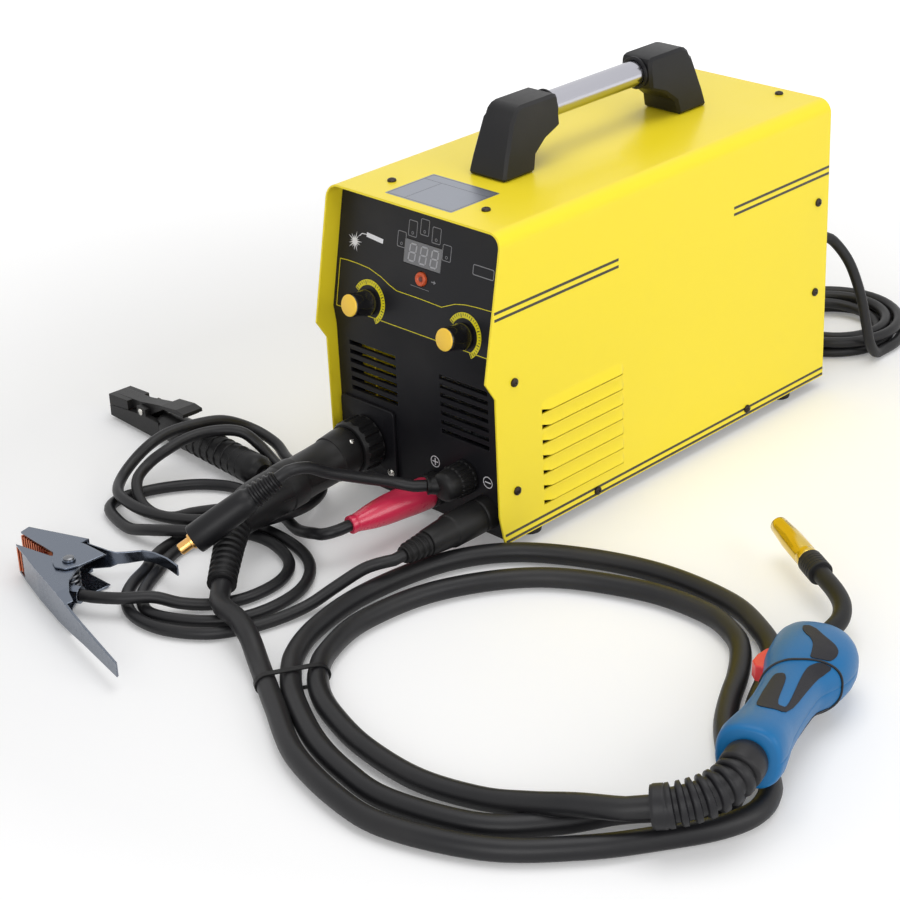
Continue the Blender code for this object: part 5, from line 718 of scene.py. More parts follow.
def refined(node, look, slot, smooth=32.0, ease=0.0, steps=2):
    """The node's own shape with its facets welded and smoothed, and where asked its edges rounded."""
    solid = frame["nodes"][node]
    bm = bmesh.new()
    bm.from_mesh(solid.data)
    bmesh.ops.remove_doubles(bm, verts=bm.verts, dist=0.000004)
    bmesh.ops.dissolve_limit(bm, angle_limit=math.radians(0.6), verts=bm.verts, edges=bm.edges)
    made = finished(node + "_skin", mesh_of(node + "_skin", bm), look, smooth)
    if ease:
        rounding = made.modifiers.new("rounding", "BEVEL")
        rounding.width = ease
        rounding.segments = steps
        rounding.limit_method = "ANGLE"
        rounding.angle_limit = math.radians(smooth + 6.0)
    return seated(made, solid["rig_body"], slot, node)


for node in ("rear_panel", "side_door"):
    refined(node, yellow_coat, "yellow_paint")
refined("base_pan", pan_paint, "pan_paint")
for end in ("front", "rear"):
    for side in ("left", "right"):
        refined(f"foot_{end}_{side}", foot_rubber, "rubber", ease=0.0008)

# Printed stripes: a pair broken for the bare name place, and a pair along the foot of the side
bm = bmesh.new()
STRIPE_REAR = CASE_LENGTH - 0.0004
for front, rear, z in ((-0.0098, 0.1220, 0.1926), (0.2575, STRIPE_REAR, 0.1926), (-0.0098, 0.1220, 0.1872),
                       (0.2575, STRIPE_REAR, 0.1872), (-0.0062, STRIPE_REAR, 0.0154),
                       (-0.0056, STRIPE_REAR, 0.0100)):
    block(bm, (HALF_WIDTH - STRIPE_FOOT, front, z), (HALF_WIDTH + STRIPE_INK, rear, z + STRIPE_HEIGHT))
piece("side_stripes", bm, stripe_ink, "machine", "black_plastic")


def rounded_outline(left, right, low, high, radius, steps=5):
    """A rectangle with round corners, as points in the flat."""
    points = []
    for x, y, turn in ((right - radius, low + radius, -90), (right - radius, high - radius, 0),
                       (left + radius, high - radius, 90), (left + radius, low + radius, 180)):
        for k in range(steps + 1):
            angle = math.radians(turn + 90 * k / steps)
            points.append((x + radius * math.cos(angle), y + radius * math.sin(angle)))
    return points


# The bare foil plate on the top sheet, with its fine border line
bm = bmesh.new()
slab(bm, rounded_outline(-0.0380, 0.0300, 0.0105, 0.0610, 0.0012), lambda x, y, lift: (x, y, TOP_Z + lift),
     -0.0001, 0.0001)
piece("bare_plate", bm, plate_foil, "machine", "steel")
bm = bmesh.new()
for low, high in (((-0.0366, 0.0119), (0.0286, 0.0123)), ((-0.0366, 0.0592), (0.0286, 0.0596)),
                  ((-0.0366, 0.0123), (-0.0362, 0.0592)), ((0.0282, 0.0123), (0.0286, 0.0592)),
                  ((-0.0362, 0.0500), (0.0282, 0.0503)), ((-0.0190, 0.0123), (-0.0187, 0.0500))):
    block(bm, (*low, TOP_Z - 0.0001), (*high, TOP_Z + 0.00014))
piece("bare_plate_border", bm, stripe_ink, "machine", "black_plastic")


# --- Cover with its pressed louvres ----------------------------------------------------------------
# Sides and top are one sheet, folded at a large radius and cut to the hood's outline in front. Seven
# louvres are pressed outward over slots in its right side; the left side is cut out for the door.
SHEET = 0.0015
FOOT_HEIGHT = 0.009
FOLD_RADIUS = 0.011
FOLD_STEPS = 10


def cut_away(target, cutter):
    """The target's mesh less the cutter's, as a plain mesh; both helper objects go."""
    hole = target.modifiers.new("recess", "BOOLEAN")
    hole.operation = "DIFFERENCE"
    hole.object = cutter
    bpy.context.view_layer.update()
    ready = bpy.data.meshes.new_from_object(target.evaluated_get(bpy.context.evaluated_depsgraph_get()))
    for old in (target, cutter):
        bpy.data.objects.remove(old)
    return ready


def loose(name, bm):
    """A helper object that isn't part of the machine."""
    bmesh.ops.recalc_face_normals(bm, faces=bm.faces)
    return linked(name, mesh_of(name, bm))


def folded(half, top, radius):
    """Half-way round the sheet's cross-section, from the right foot to the left foot."""
    points = [(half, FOOT_HEIGHT)]
    for side, first in ((1, 0), (-1, 90)):
        for k in range(FOLD_STEPS + 1):
            turn = math.radians(first + 90 * k / FOLD_STEPS)
            points.append((side * (half - radius) + radius * math.cos(turn),
                           top - radius + radius * math.sin(turn)))
    return points + [(-half, FOOT_HEIGHT)]


bm = bmesh.new()
inner_side = folded(HALF_WIDTH - SHEET, TOP_Z - SHEET, FOLD_RADIUS - SHEET)[::-1]
slab(bm, folded(HALF_WIDTH, TOP_Z, FOLD_RADIUS) + inner_side, lambda x, z, y: (x, y, z), -0.0400, CASE_LENGTH)
sheet = loose("sheet", bm)
bm = bmesh.new()
slab(bm, [(-0.060, -0.010), (-0.0064, -0.010), (-0.0064, 0.009), (-0.0114, 0.034), (-0.0114, 0.128),
          (-0.0210, 0.143), (0.0, TOP_Z), (0.0, 0.260), (-0.060, 0.260)], lambda y, z, x: (x, y, z), -0.2, 0.2)
block(bm, (-0.0990, 0.035, 0.035), (-0.0855, 0.345, 0.225))
LOUVRES = [0.028 + 0.0124 * k for k in range(7)]
LOUVRE_FRONT = 0.033
LOUVRE_REAR = 0.1275
LOUVRE_RISE = 0.0094
for low in LOUVRES:
    block(bm, (0.0850, LOUVRE_FRONT + 0.0030, low - 0.0026), (0.0950, LOUVRE_REAR - 0.0020, low + 0.0045))
open_sheet = cut_away(sheet, loose("cut_outs", bm))
bm = bmesh.new()
bm.from_mesh(open_sheet)
piece("cover_sheet", bm, yellow_coat, "machine", "yellow_paint", "cover", smooth=30.0)

# Each louvre: a shell that swells out from the sheet to an open lip, rounded off at both ends
LOUVRE_COLUMNS = 30               # they stand closer together at both ends
LOUVRE_ROWS = 9
LOUVRE_SWELL = 0.0030
LOUVRE_SHEET = 0.0011
LOUVRE_SINK = 0.0002
bm = bmesh.new()
for low in LOUVRES:
    skins = ([], [])
    for j in range(LOUVRE_COLUMNS + 1):
        across = math.cos(math.pi * (j / LOUVRE_COLUMNS))
        y = LOUVRE_FRONT + (LOUVRE_REAR - LOUVRE_FRONT) * (0.5 - 0.5 * across * (1.3 - 0.3 * abs(across)))
        near = min(1.0, (y - LOUVRE_FRONT) / 0.0110, (LOUVRE_REAR - y) / 0.0060)
        swell = near * near * (3 - 2 * near)
        for skin, inset in zip(skins, (0.0, LOUVRE_SHEET)):
            column = []
            for k in range(LOUVRE_ROWS + 1):
                rise = k / LOUVRE_ROWS
                out = HALF_WIDTH - LOUVRE_SINK + LOUVRE_SWELL * swell * (1 - rise) ** 1.3 - inset
                column.append(bm.verts.new((out, y, low + 0.0016 * (1 - swell) * (1 - rise) + LOUVRE_RISE * rise)))
            skin.append(column)
    outer, inner = skins
    for skin in skins:
        for a, b in zip(skin, skin[1:]):
            for k in range(LOUVRE_ROWS):
                bm.faces.new((a[k], a[k + 1], b[k + 1], b[k]))
    for j in range(LOUVRE_COLUMNS):
        for k in (0, LOUVRE_ROWS):
            bm.faces.new((outer[j][k], outer[j + 1][k], inner[j + 1][k], inner[j][k]))
    for j in (0, LOUVRE_COLUMNS):
        for k in range(LOUVRE_ROWS):
            bm.faces.new((outer[j][k], outer[j][k + 1], inner[j][k + 1], inner[j][k]))
piece("side_louvres", bm, yellow_coat, "machine", "yellow_paint", smooth=60.0)


# --- Screws ----------------------------------------------------------------------------------------
# Cross-recessed pan-head screws hold the sheets: black ones in the yellow case, bright ones with a
# flange on the front panel. Each is turned a different way, as a driver leaves it.
screw_black = finish_of("blackened_screw", srgb(34, 22, 14), 0.34, metallic=0.5, grain=1500.0, depth=0.00003,
                        wear=2.0, worn=srgb(150, 140, 120))
screw_bright = finish_of("bright_screw", srgb(210, 208, 202), 0.24, metallic=1.0, grain=1200.0, depth=0.00002)


def screw_head(flange):
    """A domed head of radius 1 with a cross recess, on a flange where it has one."""
    dome = [(0.30 + 0.42 * math.sin(math.radians(a)), math.cos(math.radians(a))) for a in range(0, 90, 18)]
    foot = [(-0.05, flange), (0.10, flange), (0.14, 1.0)] if flange > 1 else [(-0.05, 0.96), (0.05, 1.0)]
    bm = bmesh.new()
    turned(bm, [(-0.05, 0)] + foot + dome + [(0.72, 0)], (0, 0, 0), (0, 0, 1), 24)
    head = loose("screw_head", bm)
    bm = bmesh.new()
    cross = [(0.10, 0.10), (0.10, 0.52), (-0.10, 0.52), (-0.10, 0.10), (-0.52, 0.10), (-0.52, -0.10),
             (-0.10, -0.10), (-0.10, -0.52), (0.10, -0.52), (0.10, -0.10), (0.52, -0.10), (0.52, 0.10)]
    slab(bm, cross, lambda u, v, lift: (u * (0.7 + lift * 0.5), v * (0.7 + lift * 0.5), lift), 0.24, 1.0)
    return bpy.data.objects.new("screw_pattern", cut_away(head, loose("cross_recess", bm)))


def screw_tree():
    """Geometry Nodes: a head on each point, along the point's own facing, turned at random."""
    tree = bpy.data.node_groups.new("screws_on_points", "GeometryNodeTree")
    tree.is_modifier = True
    for label, kind in (("Geometry", "Geometry"), ("Head", "Object"), ("Head Radius", "Float"), ("Seed", "Int"),
                        ("Finish", "Material")):
        tree.interface.new_socket(label, in_out="INPUT", socket_type="NodeSocket" + kind)
    tree.interface.new_socket("Geometry", in_out="OUTPUT", socket_type="NodeSocketGeometry")
    made = {kind: tree.nodes.new(kind) for kind in (
        "NodeGroupInput", "NodeGroupOutput", "GeometryNodeObjectInfo", "GeometryNodeInstanceOnPoints",
        "GeometryNodeInputNamedAttribute", "FunctionNodeAlignRotationToVector", "FunctionNodeRandomValue",
        "ShaderNodeCombineXYZ", "GeometryNodeRotateInstances", "GeometryNodeRealizeInstances",
        "GeometryNodeSetMaterial")}
    given = made["NodeGroupInput"].outputs
    facing = made["GeometryNodeInputNamedAttribute"]
    facing.data_type = "FLOAT_VECTOR"
    facing.inputs["Name"].default_value = "facing"
    made["FunctionNodeAlignRotationToVector"].axis = "Z"
    chance = made["FunctionNodeRandomValue"]
    chance.data_type = "FLOAT"
    chance.inputs[3].default_value = math.pi
    spread, spun, solid = (made["GeometryNodeInstanceOnPoints"], made["GeometryNodeRotateInstances"],
                           made["GeometryNodeRealizeInstances"])
    for source, target in (
            (given["Geometry"], spread.inputs["Points"]),
            (given["Head"], made["GeometryNodeObjectInfo"].inputs["Object"]),
            (made["GeometryNodeObjectInfo"].outputs["Geometry"], spread.inputs["Instance"]),
            (facing.outputs["Attribute"], made["FunctionNodeAlignRotationToVector"].inputs["Vector"]),
            (made["FunctionNodeAlignRotationToVector"].outputs["Rotation"], spread.inputs["Rotation"]),
            (given["Head Radius"], spread.inputs["Scale"]), (given["Seed"], chance.inputs["Seed"]),
            (chance.outputs[1], made["ShaderNodeCombineXYZ"].inputs["Z"]),
            (spread.outputs["Instances"], spun.inputs["Instances"]),
            (made["ShaderNodeCombineXYZ"].outputs["Vector"], spun.inputs["Rotation"]),
            (spun.outputs["Instances"], solid.inputs["Geometry"]),
            (solid.outputs["Geometry"], made["GeometryNodeSetMaterial"].inputs["Geometry"]),
            (given["Finish"], made["GeometryNodeSetMaterial"].inputs["Material"]),
            (made["GeometryNodeSetMaterial"].outputs["Geometry"], made["NodeGroupOutput"].inputs["Geometry"])):
        tree.links.new(source, target)
    return tree


screws_on_points = screw_tree()
plain_head = screw_head(1.0)
flanged_head = screw_head(1.25)


def screws(name, places, head, radius, seed, look, slot):
    """One piece of like screws; each place is a point of the case and the way its head faces."""
    mesh = bpy.data.meshes.new(name)
    mesh.from_pydata([placed(*point) for point, _ in places], [], [])
    facing = mesh.attributes.new("facing", "FLOAT_VECTOR", "POINT")
    facing.data.foreach_set("vector", [number for _, way in places for number in way])
    points = linked(name + "_points", mesh)
    if head.name not in bpy.context.scene.collection.objects:
        bpy.context.scene.collection.objects.link(head)
    spread = points.modifiers.new("screws", "NODES")
    spread.node_group = screws_on_points
    values = {"Head": head, "Head Radius": radius, "Seed": seed, "Finish": look}
    for socket in screws_on_points.interface.items_tree:
        if socket.in_out == "INPUT" and socket.name in values:
            spread[socket.identifier] = values[socket.name]
    bpy.context.view_layer.update()
    made = bpy.data.meshes.new_from_object(points.evaluated_get(bpy.context.evaluated_depsgraph_get()))
    bpy.data.objects.remove(points)
    bpy.context.scene.collection.objects.unlink(head)
    made.shade_smooth()
    made.set_sharp_from_angle(angle=math.radians(35))
    return seated(linked(name, made), "machine", slot)


RIGHT, LEFT, UP, REAR, FRONT = (1, 0, 0), (-1, 0, 0), (0, 0, 1), (0, 1, 0), (0, -1, 0)
side_places = [(0.0078, 0.1354), (0.0073, 0.0487), (0.0950, 0.0138), (0.2776, 0.0156), (0.3660, 0.1670),
               (0.3650, 0.0895)]
case_screws = [((HALF_WIDTH, y, z), RIGHT) for y, z in side_places]
case_screws += [((-HALF_WIDTH, y, z), LEFT) for y, z in side_places if y > 0.36 or z < 0.02 or y < 0.01]
case_screws += [((x, y, TOP_Z), UP) for x, y in (
    (-0.0516, 0.0310), (0.0460, 0.0297), (0.0470, 0.3670), (-0.0500, 0.3670))]
screws("case_screws", case_screws, plain_head, 0.0034, 3, screw_black, "steel")
REAR_FACE = 0.379
rear_screws = [((x, REAR_FACE, z), REAR) for x, z in (
    (-0.078, 0.020), (0.078, 0.020), (-0.078, 0.225), (0.078, 0.225), (0.010, 0.026), (0.074, 0.026),
    (0.010, 0.090), (0.074, 0.090))]
screws("rear_screws", rear_screws, plain_head, 0.0027, 5, screw_black, "steel")


# --- Front panel -----------------------------------------------------------------------------------
# A black moulded cap with a leaned upper half for the controls and an upright lower half for the
# sockets. Thin yellow and white lines are printed on it; the name places are bare.
PANEL_LOWER_Y = -0.0015
PANEL_STEP_TOP = 0.152
PANEL_STEP_REACH = 0.002
PANEL_LEAN = math.radians(11.0)
KNOB_SPREAD = 0.0495
KNOB_Z = 0.1635
INK = 0.00012
INK_FOOT = -0.0001                # where a print starts, just inside the face
panel_black = finish_of("panel_black", srgb(17, 17, 22), 0.40, grain=2400.0, depth=0.00004, spread=0.05, dust=0.02,
                        wear=0.6, worn=srgb(70, 70, 76), shine=0.20)
yellow_ink = finish_of("yellow_ink", srgb(226, 212, 16), 0.45, ease=0.0001, dust=0.01)
white_ink = finish_of("white_ink", srgb(236, 236, 240), 0.45, ease=0.0001, dust=0.01)
grey_ink = finish_of("grey_ink", srgb(132, 132, 136), 0.45, ease=0.0001, dust=0.01)
refined("front_panel", panel_black, "black_plastic")


def leaned(x, z, lift):
    """A point on the leaned half, lifted off its face."""
    face = PANEL_LOWER_Y - PANEL_STEP_REACH + (z - PANEL_STEP_TOP) * math.tan(PANEL_LEAN)
    return Vector((x, face - lift * math.cos(PANEL_LEAN), z + lift * math.sin(PANEL_LEAN)))


def upright_face(x, z, lift):
    """A point on the upright half, lifted off its face."""
    return Vector((x, PANEL_LOWER_Y - lift, z))


def around(x, z):
    """Flat drawing on the leaned half about one of its points."""
    return lambda across, up, lift: leaned(x + across, z + up * math.cos(PANEL_LEAN), lift)


def stroke(points, width, closed=False):
    """The outline of a line of even width through flat points; a closed line comes as two loops."""
    count = len(points)
    sides = ([], [])
    for k, (u, v) in enumerate(points):
        before = points[k - 1] if k or closed else points[k]
        after = points[(k + 1) % count] if k < count - 1 or closed else points[k]
        first = Vector((u - before[0], v - before[1]))
        second = Vector((after[0] - u, after[1] - v))
        first = second if first.length < 1e-9 else first
        second = first if second.length < 1e-9 else second
        way = (first.normalized() + second.normalized()).normalized()
        reach = width / 2 / max(0.4, way.dot(first.normalized()))
        for side, sign in zip(sides, (1, -1)):
            side.append((u - way.y * reach * sign, v + way.x * reach * sign))
    return sides


def line(bm, points, width, lay, closed=False, lift=INK):
    """A printed line as a thin closed strip."""
    left, right = stroke(points, width, closed)
    corners = []
    for a, b in zip(left, right):
        corners.append([bm.verts.new(lay(*spot, level))
                        for spot, level in ((a, INK_FOOT), (b, INK_FOOT), (b, lift), (a, lift))])
    skinned(bm, corners, closed)
    if not closed:
        bm.faces.new(corners[0])
        bm.faces.new(corners[-1][::-1])


def ring_points(radius, start=0.0, end=360.0, steps=40):
    """Points of a circle or an arc, in degrees; an arc has both its ends."""
    angles = [math.radians(start + (end - start) * k / steps) for k in range(steps + (end - start < 360.0))]
    return [(radius * math.cos(angle), radius * math.sin(angle)) for angle in angles]


# Yellow: the control field's outline and the scale round each knob
FIELD_TOP = [(-0.0836, 0.1887), (-0.0760, 0.1893), (-0.0654, 0.1893), (-0.0520, 0.1885), (-0.0391, 0.1852),
             (-0.0300, 0.1815), (-0.0217, 0.1790), (0.0023, 0.1790), (0.0250, 0.1784), (0.0302, 0.1806),
             (0.0380, 0.1838), (0.0481, 0.1858), (0.0610, 0.1868), (0.0836, 0.1876)]
SCALE_INNER = 0.0131
SCALE_OUTER = 0.0172
SCALE_START = -58.0               # degrees from the viewer's right, up being positive
SCALE_END = 152.0
SCALE_TICKS = 26
bm = bmesh.new()
line(bm, FIELD_TOP[::-1] + [(-0.0836, 0.1700), (-0.0836, 0.1532), (0.0836, 0.1532)], 0.0005, leaned, closed=True)
for x in (-KNOB_SPREAD, KNOB_SPREAD):
    middle = (SCALE_INNER + SCALE_OUTER) / 2
    line(bm, ring_points(middle, SCALE_START, SCALE_END, 60), SCALE_OUTER - SCALE_INNER, around(x, KNOB_Z))
piece("yellow_print", bm, yellow_ink, "machine", "yellow_paint")
bm = bmesh.new()
for x in (-KNOB_SPREAD, KNOB_SPREAD):
    for k in range(SCALE_TICKS):
        turn = math.radians(SCALE_START + 4 + (SCALE_END - SCALE_START - 8) * k / (SCALE_TICKS - 1))
        inner = SCALE_INNER + (0.0006 if k % 5 == 0 else 0.0017)
        ends = [(r * math.cos(turn), r * math.sin(turn)) for r in (inner, SCALE_OUTER - 0.0006)]
        line(bm, ends, 0.0006 if k % 5 == 0 else 0.0004, around(x, KNOB_Z), lift=2 * INK)
piece("scale_ticks", bm, stripe_ink, "machine", "black_plastic")

# White: the arc pictogram, the signs of the sockets; grey: the mode boxes and the empty name box
bm = bmesh.new()
SPARK = (-0.0695, 0.2048)
SPARK_RAYS = 15
for k in range(SPARK_RAYS):
    turn = 2 * math.pi * k / SPARK_RAYS + 0.12
    reach = (0.0078, 0.0050, 0.0064)[k % 3]
    ray = [(far * math.cos(turn + aside), far * math.sin(turn + aside))
           for far, aside in ((0.0008, -1.2), (reach, 0.0), (0.0008, 1.2))]
    slab(bm, ray, around(*SPARK), INK_FOOT, INK)
slab(bm, ring_points(0.0018, steps=20), around(*SPARK), INK_FOOT, 1.3 * INK)
line(bm, [(-0.0652, 0.2098), (-0.0625, 0.2122), (-0.0575, 0.2126)], 0.0006, leaned)
line(bm, [(-0.0575, 0.2126), (-0.0400, 0.2112)], 0.0034, leaned)
for x, z in ((0.0136, 0.0515), (0.0681, 0.0518)):
    line(bm, [(x + u, z + v) for u, v in ring_points(0.0044)], 0.0006, upright_face, closed=True)
    line(bm, [(x - 0.0029, z), (x + 0.0029, z)], 0.0008, upright_face)
line(bm, [(0.0136, 0.0515 - 0.0029), (0.0136, 0.0515 + 0.0029)], 0.0008, upright_face, lift=1.4 * INK)
piece("white_print", bm, white_ink, "machine", "chrome")
bm = bmesh.new()
for x, z in ((-0.0209, 0.2174), (-0.0105, 0.2275), (0.0014, 0.2309), (0.0136, 0.2276), (0.0252, 0.2176)):
    box_line = rounded_outline(-0.0042, 0.0042, -0.0058, 0.0058, 0.0010, 3)
    line(bm, box_line, 0.0005, around(x, z), closed=True)
    line(bm, [(u, v - 0.0032) for u, v in ring_points(0.0010, steps=14)], 0.0004, around(x, z), closed=True)
line(bm, rounded_outline(0.0522, 0.0724, 0.2090, 0.2162, 0.0012, 3), 0.0006, leaned, closed=True)
line(bm, [(0.0125, 0.1938), (0.0150, 0.1938)], 0.0007, leaned)
slab(bm, [(0.0150, 0.1924), (0.0172, 0.1938), (0.0150, 0.1952)], leaned, INK_FOOT, INK)
line(bm, [(-0.0080, 0.1868), (0.0110, 0.1866)], 0.0003, leaned)
piece("grey_print", bm, grey_ink, "machine", "aluminium")
FLANGE_THICK = 0.0027             # of the torch socket's square flange, under its two screws
panel_screws = [((x, PANEL_LOWER_Y - under, z), FRONT) for x, under, z in (
    (-0.0790, 0.0, 0.0747), (-0.0330, FLANGE_THICK, 0.0280), (-0.0790, FLANGE_THICK, 0.0280))]
screws("panel_screws", panel_screws, flanged_head, 0.0028, 8, screw_bright, "chrome")


# --- Display, button and knobs ---------------------------------------------------------------------
# A smoked window shows three unlit figures of seven segments. The button is orange with a dark
# centre, and the knobs have glossy black skirts and flat yellow caps.
window_smoke = finish_of("smoked_window", srgb(88, 88, 92), 0.16, grain=300.0, depth=0.00001, spread=0.03, coat=0.5)
figure_grey = finish_of("figure_grey", srgb(166, 166, 170), 0.3, ease=0.0001, dust=0.01)
button_orange = finish_of("button_orange", srgb(206, 84, 40), 0.34, dust=0.01, ease=0.0003)
button_dark = finish_of("button_dark", srgb(96, 30, 20), 0.4, ease=0.0002)
knob_black = finish_of("knob_black", srgb(20, 20, 24), 0.14, grain=900.0, depth=0.00001, spread=0.05, dust=0.01,
                       coat=0.6, shine=0.40)
cap_yellow = finish_of("cap_yellow", srgb(255, 208, 66), 0.36, dust=0.01, ease=0.0003)
refined("display_window", window_smoke, "window", ease=0.0003)
bm = bmesh.new()
SEGMENT = 0.0064                  # a segment's length
for figure in range(3):
    for u, v, upright_segment in ((0, 1, False), (0, 0, False), (0, -1, False), (-0.5, 0.5, True), (0.5, 0.5, True),
                                  (-0.5, -0.5, True), (0.5, -0.5, True)):
        half = SEGMENT / 2 - 0.0003
        shape = [(-half, 0), (-half + 0.0006, 0.0006), (half - 0.0006, 0.0006), (half, 0), (half - 0.0006, -0.0006),
                 (-half + 0.0006, -0.0006)]
        if upright_segment:
            shape = [(b, a) for a, b in shape]
        centre = ((figure - 1) * 0.0112 + 0.0010, 0.0)
        slanted = [(centre[0] + u * SEGMENT + a + 0.12 * (v * SEGMENT + b), v * SEGMENT + b) for a, b in shape]
        slab(bm, slanted, around(0.0016, 0.2105), 0.0002, 0.00042)
piece("display_figures", bm, figure_grey, "machine", "aluminium")
OFF_PANEL = Vector((0.0, -math.cos(PANEL_LEAN), math.sin(PANEL_LEAN)))
BUTTON = leaned(0.0023, 0.1934, 0.0)
bm = bmesh.new()
turned(bm, [(-0.0030, 0), (-0.0030, 0.0053), (0.0010, 0.0053), (0.0017, 0.0049), (0.0020, 0.0043), (0.0019, 0.0036),
            (0.0012, 0.0026), (0.0008, 0.0022), (0.0008, 0)], BUTTON, OFF_PANEL, 40)
piece("button_cap", bm, button_orange, "mode_button", "orange_plastic", "mode_button")
bm = bmesh.new()
turned(bm, [(0.0004, 0), (0.0004, 0.0020), (0.0010, 0.0019), (0.0012, 0.0012), (0.0012, 0)], BUTTON, OFF_PANEL, 28)
piece("button_centre", bm, button_dark, "mode_button", "orange_plastic")
for side, x in (("left", -KNOB_SPREAD), ("right", KNOB_SPREAD)):
    foot = leaned(x, KNOB_Z, 0.0)
    bm = bmesh.new()
    turned(bm, [(-0.0080, 0), (-0.0080, 0.0028), (0.0004, 0.0028), (0.0004, 0.0097), (0.0008, 0.0100),
                (0.0040, 0.0100), (0.0048, 0.0098), (0.0056, 0.0093), (0.0110, 0.0091), (0.0180, 0.0089),
                (0.0194, 0.0087), (0.0199, 0.0084), (0.0199, 0)], foot, OFF_PANEL, 64)
    piece(f"knob_{side}_skirt", bm, knob_black, f"knob_{side}", "black_plastic", f"knob_{side}")
    bm = bmesh.new()
    turned(bm, [(0.0196, 0), (0.0196, 0.0083), (0.0203, 0.0083), (0.0208, 0.0079), (0.0210, 0.0074), (0.0210, 0)],
           foot, OFF_PANEL, 64)
    piece(f"knob_{side}_cap", bm, cap_yellow, f"knob_{side}", "orange_plastic")


# --- Torch socket, collar nut and torch connector --------------------------------------------------
# The square flange is screwed to the panel. A ribbed nut draws the torch's moulded connector onto it;
# the connector has a long grip, a bend and a ribbed tail for the cable.
PANEL_FACE = PANEL_LOWER_Y - 0.0003
TORCH_X = -0.056
TORCH_Z = 0.049
COLLAR_RIBS = 16
COLLAR_FRONT = PANEL_FACE - 0.0240
moulded_black = finish_of("moulded_black", srgb(16, 16, 18), 0.42, grain=1800.0, depth=0.00006, dust=0.02,
                          shine=0.22)
refined("torch_socket", panel_black, "black_plastic", ease=0.0005)


def fluted(bm, profile, start, way, flutes, deep, sides):
    """A turned ring with soft grips round it: a profile point's third number is its share of their depth."""
    start, way = Vector(start), Vector(way).normalized()
    across = way.orthogonal().normalized()
    over = way.cross(across)
    rings = []
    for along, radius, share in profile:
        ring = []
        for j in range(sides):
            turn = 2 * math.pi * j / sides
            dip = max(0.0, min(1.0, 0.5 - 1.6 * math.cos(flutes * turn)))
            out = across * math.cos(turn) + over * math.sin(turn)
            ring.append(bm.verts.new(start + way * along + out * (radius - deep * share * dip)))
        rings.append(ring)
    skinned(bm, rings, closed=True)


bm = bmesh.new()
fluted(bm, [(0, 0.0175, 0), (0, 0.0205, 0), (0.0004, 0.0210, 0.2), (0.0008, 0.0213, 0.9), (0.0012, 0.0215, 1),
            (0.0150, 0.0215, 1), (0.0156, 0.0214, 0.9), (0.0160, 0.0211, 0.2), (0.0164, 0.0207, 0),
            (0.0182, 0.0202, 0), (0.0188, 0.0197, 0), (0.0190, 0.0188, 0), (0.0190, 0.0145, 0), (0.0145, 0.0145, 0),
            (0.0145, 0.0175, 0)], (TORCH_X, PANEL_FACE - 0.0050, TORCH_Z), (0, -1, 0), COLLAR_RIBS, 0.0013,
       16 * COLLAR_RIBS)
piece("collar_nut_ribbed", bm, moulded_black, "collar_nut", "black_plastic", "collar_nut")

bm = bmesh.new()
turned(bm, [(0.0145 + 0.0003, 0), (0.0145 + 0.0003, 0.0163), (0.0190 - 0.0003, 0.0163), (0.0190 - 0.0003, 0.0139),
            (0.0270, 0.0139), (0.0270, 0)], (TORCH_X, PANEL_FACE - 0.0050, TORCH_Z), (0, -1, 0), 40)
piece("connector_shoulder", bm, moulded_black, "machine", "black_plastic")
bm = bmesh.new()
stations = [((TORCH_X, COLLAR_FRONT - out, TORCH_Z), radius)
            for out, radius in ((0.0003, 0.0166), (0.0010, 0.0176), (0.0024, 0.0183), (0.0040, 0.0185))]
stations += [(row[:3], row[3]) for row in (
    (-0.0560, -0.0430, 0.0467, 0.0185), (-0.0560, -0.0440, 0.0466, 0.0184), (-0.0560, -0.0446, 0.0465, 0.0178),
    (-0.0560, -0.0452, 0.0465, 0.0174), (-0.0560, -0.0600, 0.0452, 0.0172), (-0.0560, -0.0792, 0.0436, 0.0172),
    (-0.0560, -0.0798, 0.0435, 0.0175), (-0.0560, -0.0804, 0.0435, 0.0182), (-0.0560, -0.0812, 0.0434, 0.0185),
    (-0.0560, -0.0944, 0.0422, 0.0185), (-0.0560, -0.0952, 0.0421, 0.0183), (-0.0560, -0.0958, 0.0421, 0.0179),
    (-0.0560, -0.0966, 0.0420, 0.0178), (-0.0560, -0.1100, 0.0410, 0.0178), (-0.0559, -0.1170, 0.0403, 0.0176),
    (-0.0555, -0.1240, 0.0395, 0.0172), (-0.0546, -0.1305, 0.0388, 0.0163), (-0.0530, -0.1370, 0.0380, 0.0150),
    (-0.0505, -0.1430, 0.0372, 0.0137), (-0.0485, -0.1466, 0.0366, 0.0127), (-0.0475, -0.1480, 0.0363, 0.0119))]
tail = [(Vector((-0.0475, -0.1480, 0.0365)), 0.0125), (Vector((-0.0330, -0.1660, 0.0315)), 0.0115),
        (Vector((-0.0150, -0.1875, 0.0245)), 0.0107), (CONNECTOR_END, 0.0107)]
for (start, wide), (end, narrow) in zip(tail, tail[1:]):
    count = max(1, round((end - start).length / 0.0058))
    for k in range(count):
        for share, drop in ((0.12, 0.0), (0.20, 0.35), (0.30, 1.0), (0.70, 1.0), (0.80, 0.35), (0.88, 0.0)):
            at = (k + share) / count
            stations.append((start.lerp(end, at), wide + (narrow - wide) * at - 0.0014 * drop))
stations += [(CONNECTOR_END - CONNECTOR_WAY * 0.0008, 0.0107), (CONNECTOR_END - CONNECTOR_WAY * 0.0002, 0.0103),
             (CONNECTOR_END, 0.0096)]
swept(bm, stations, 48)
piece("torch_connector_moulded", bm, moulded_black, "machine", "black_plastic", "torch_connector")

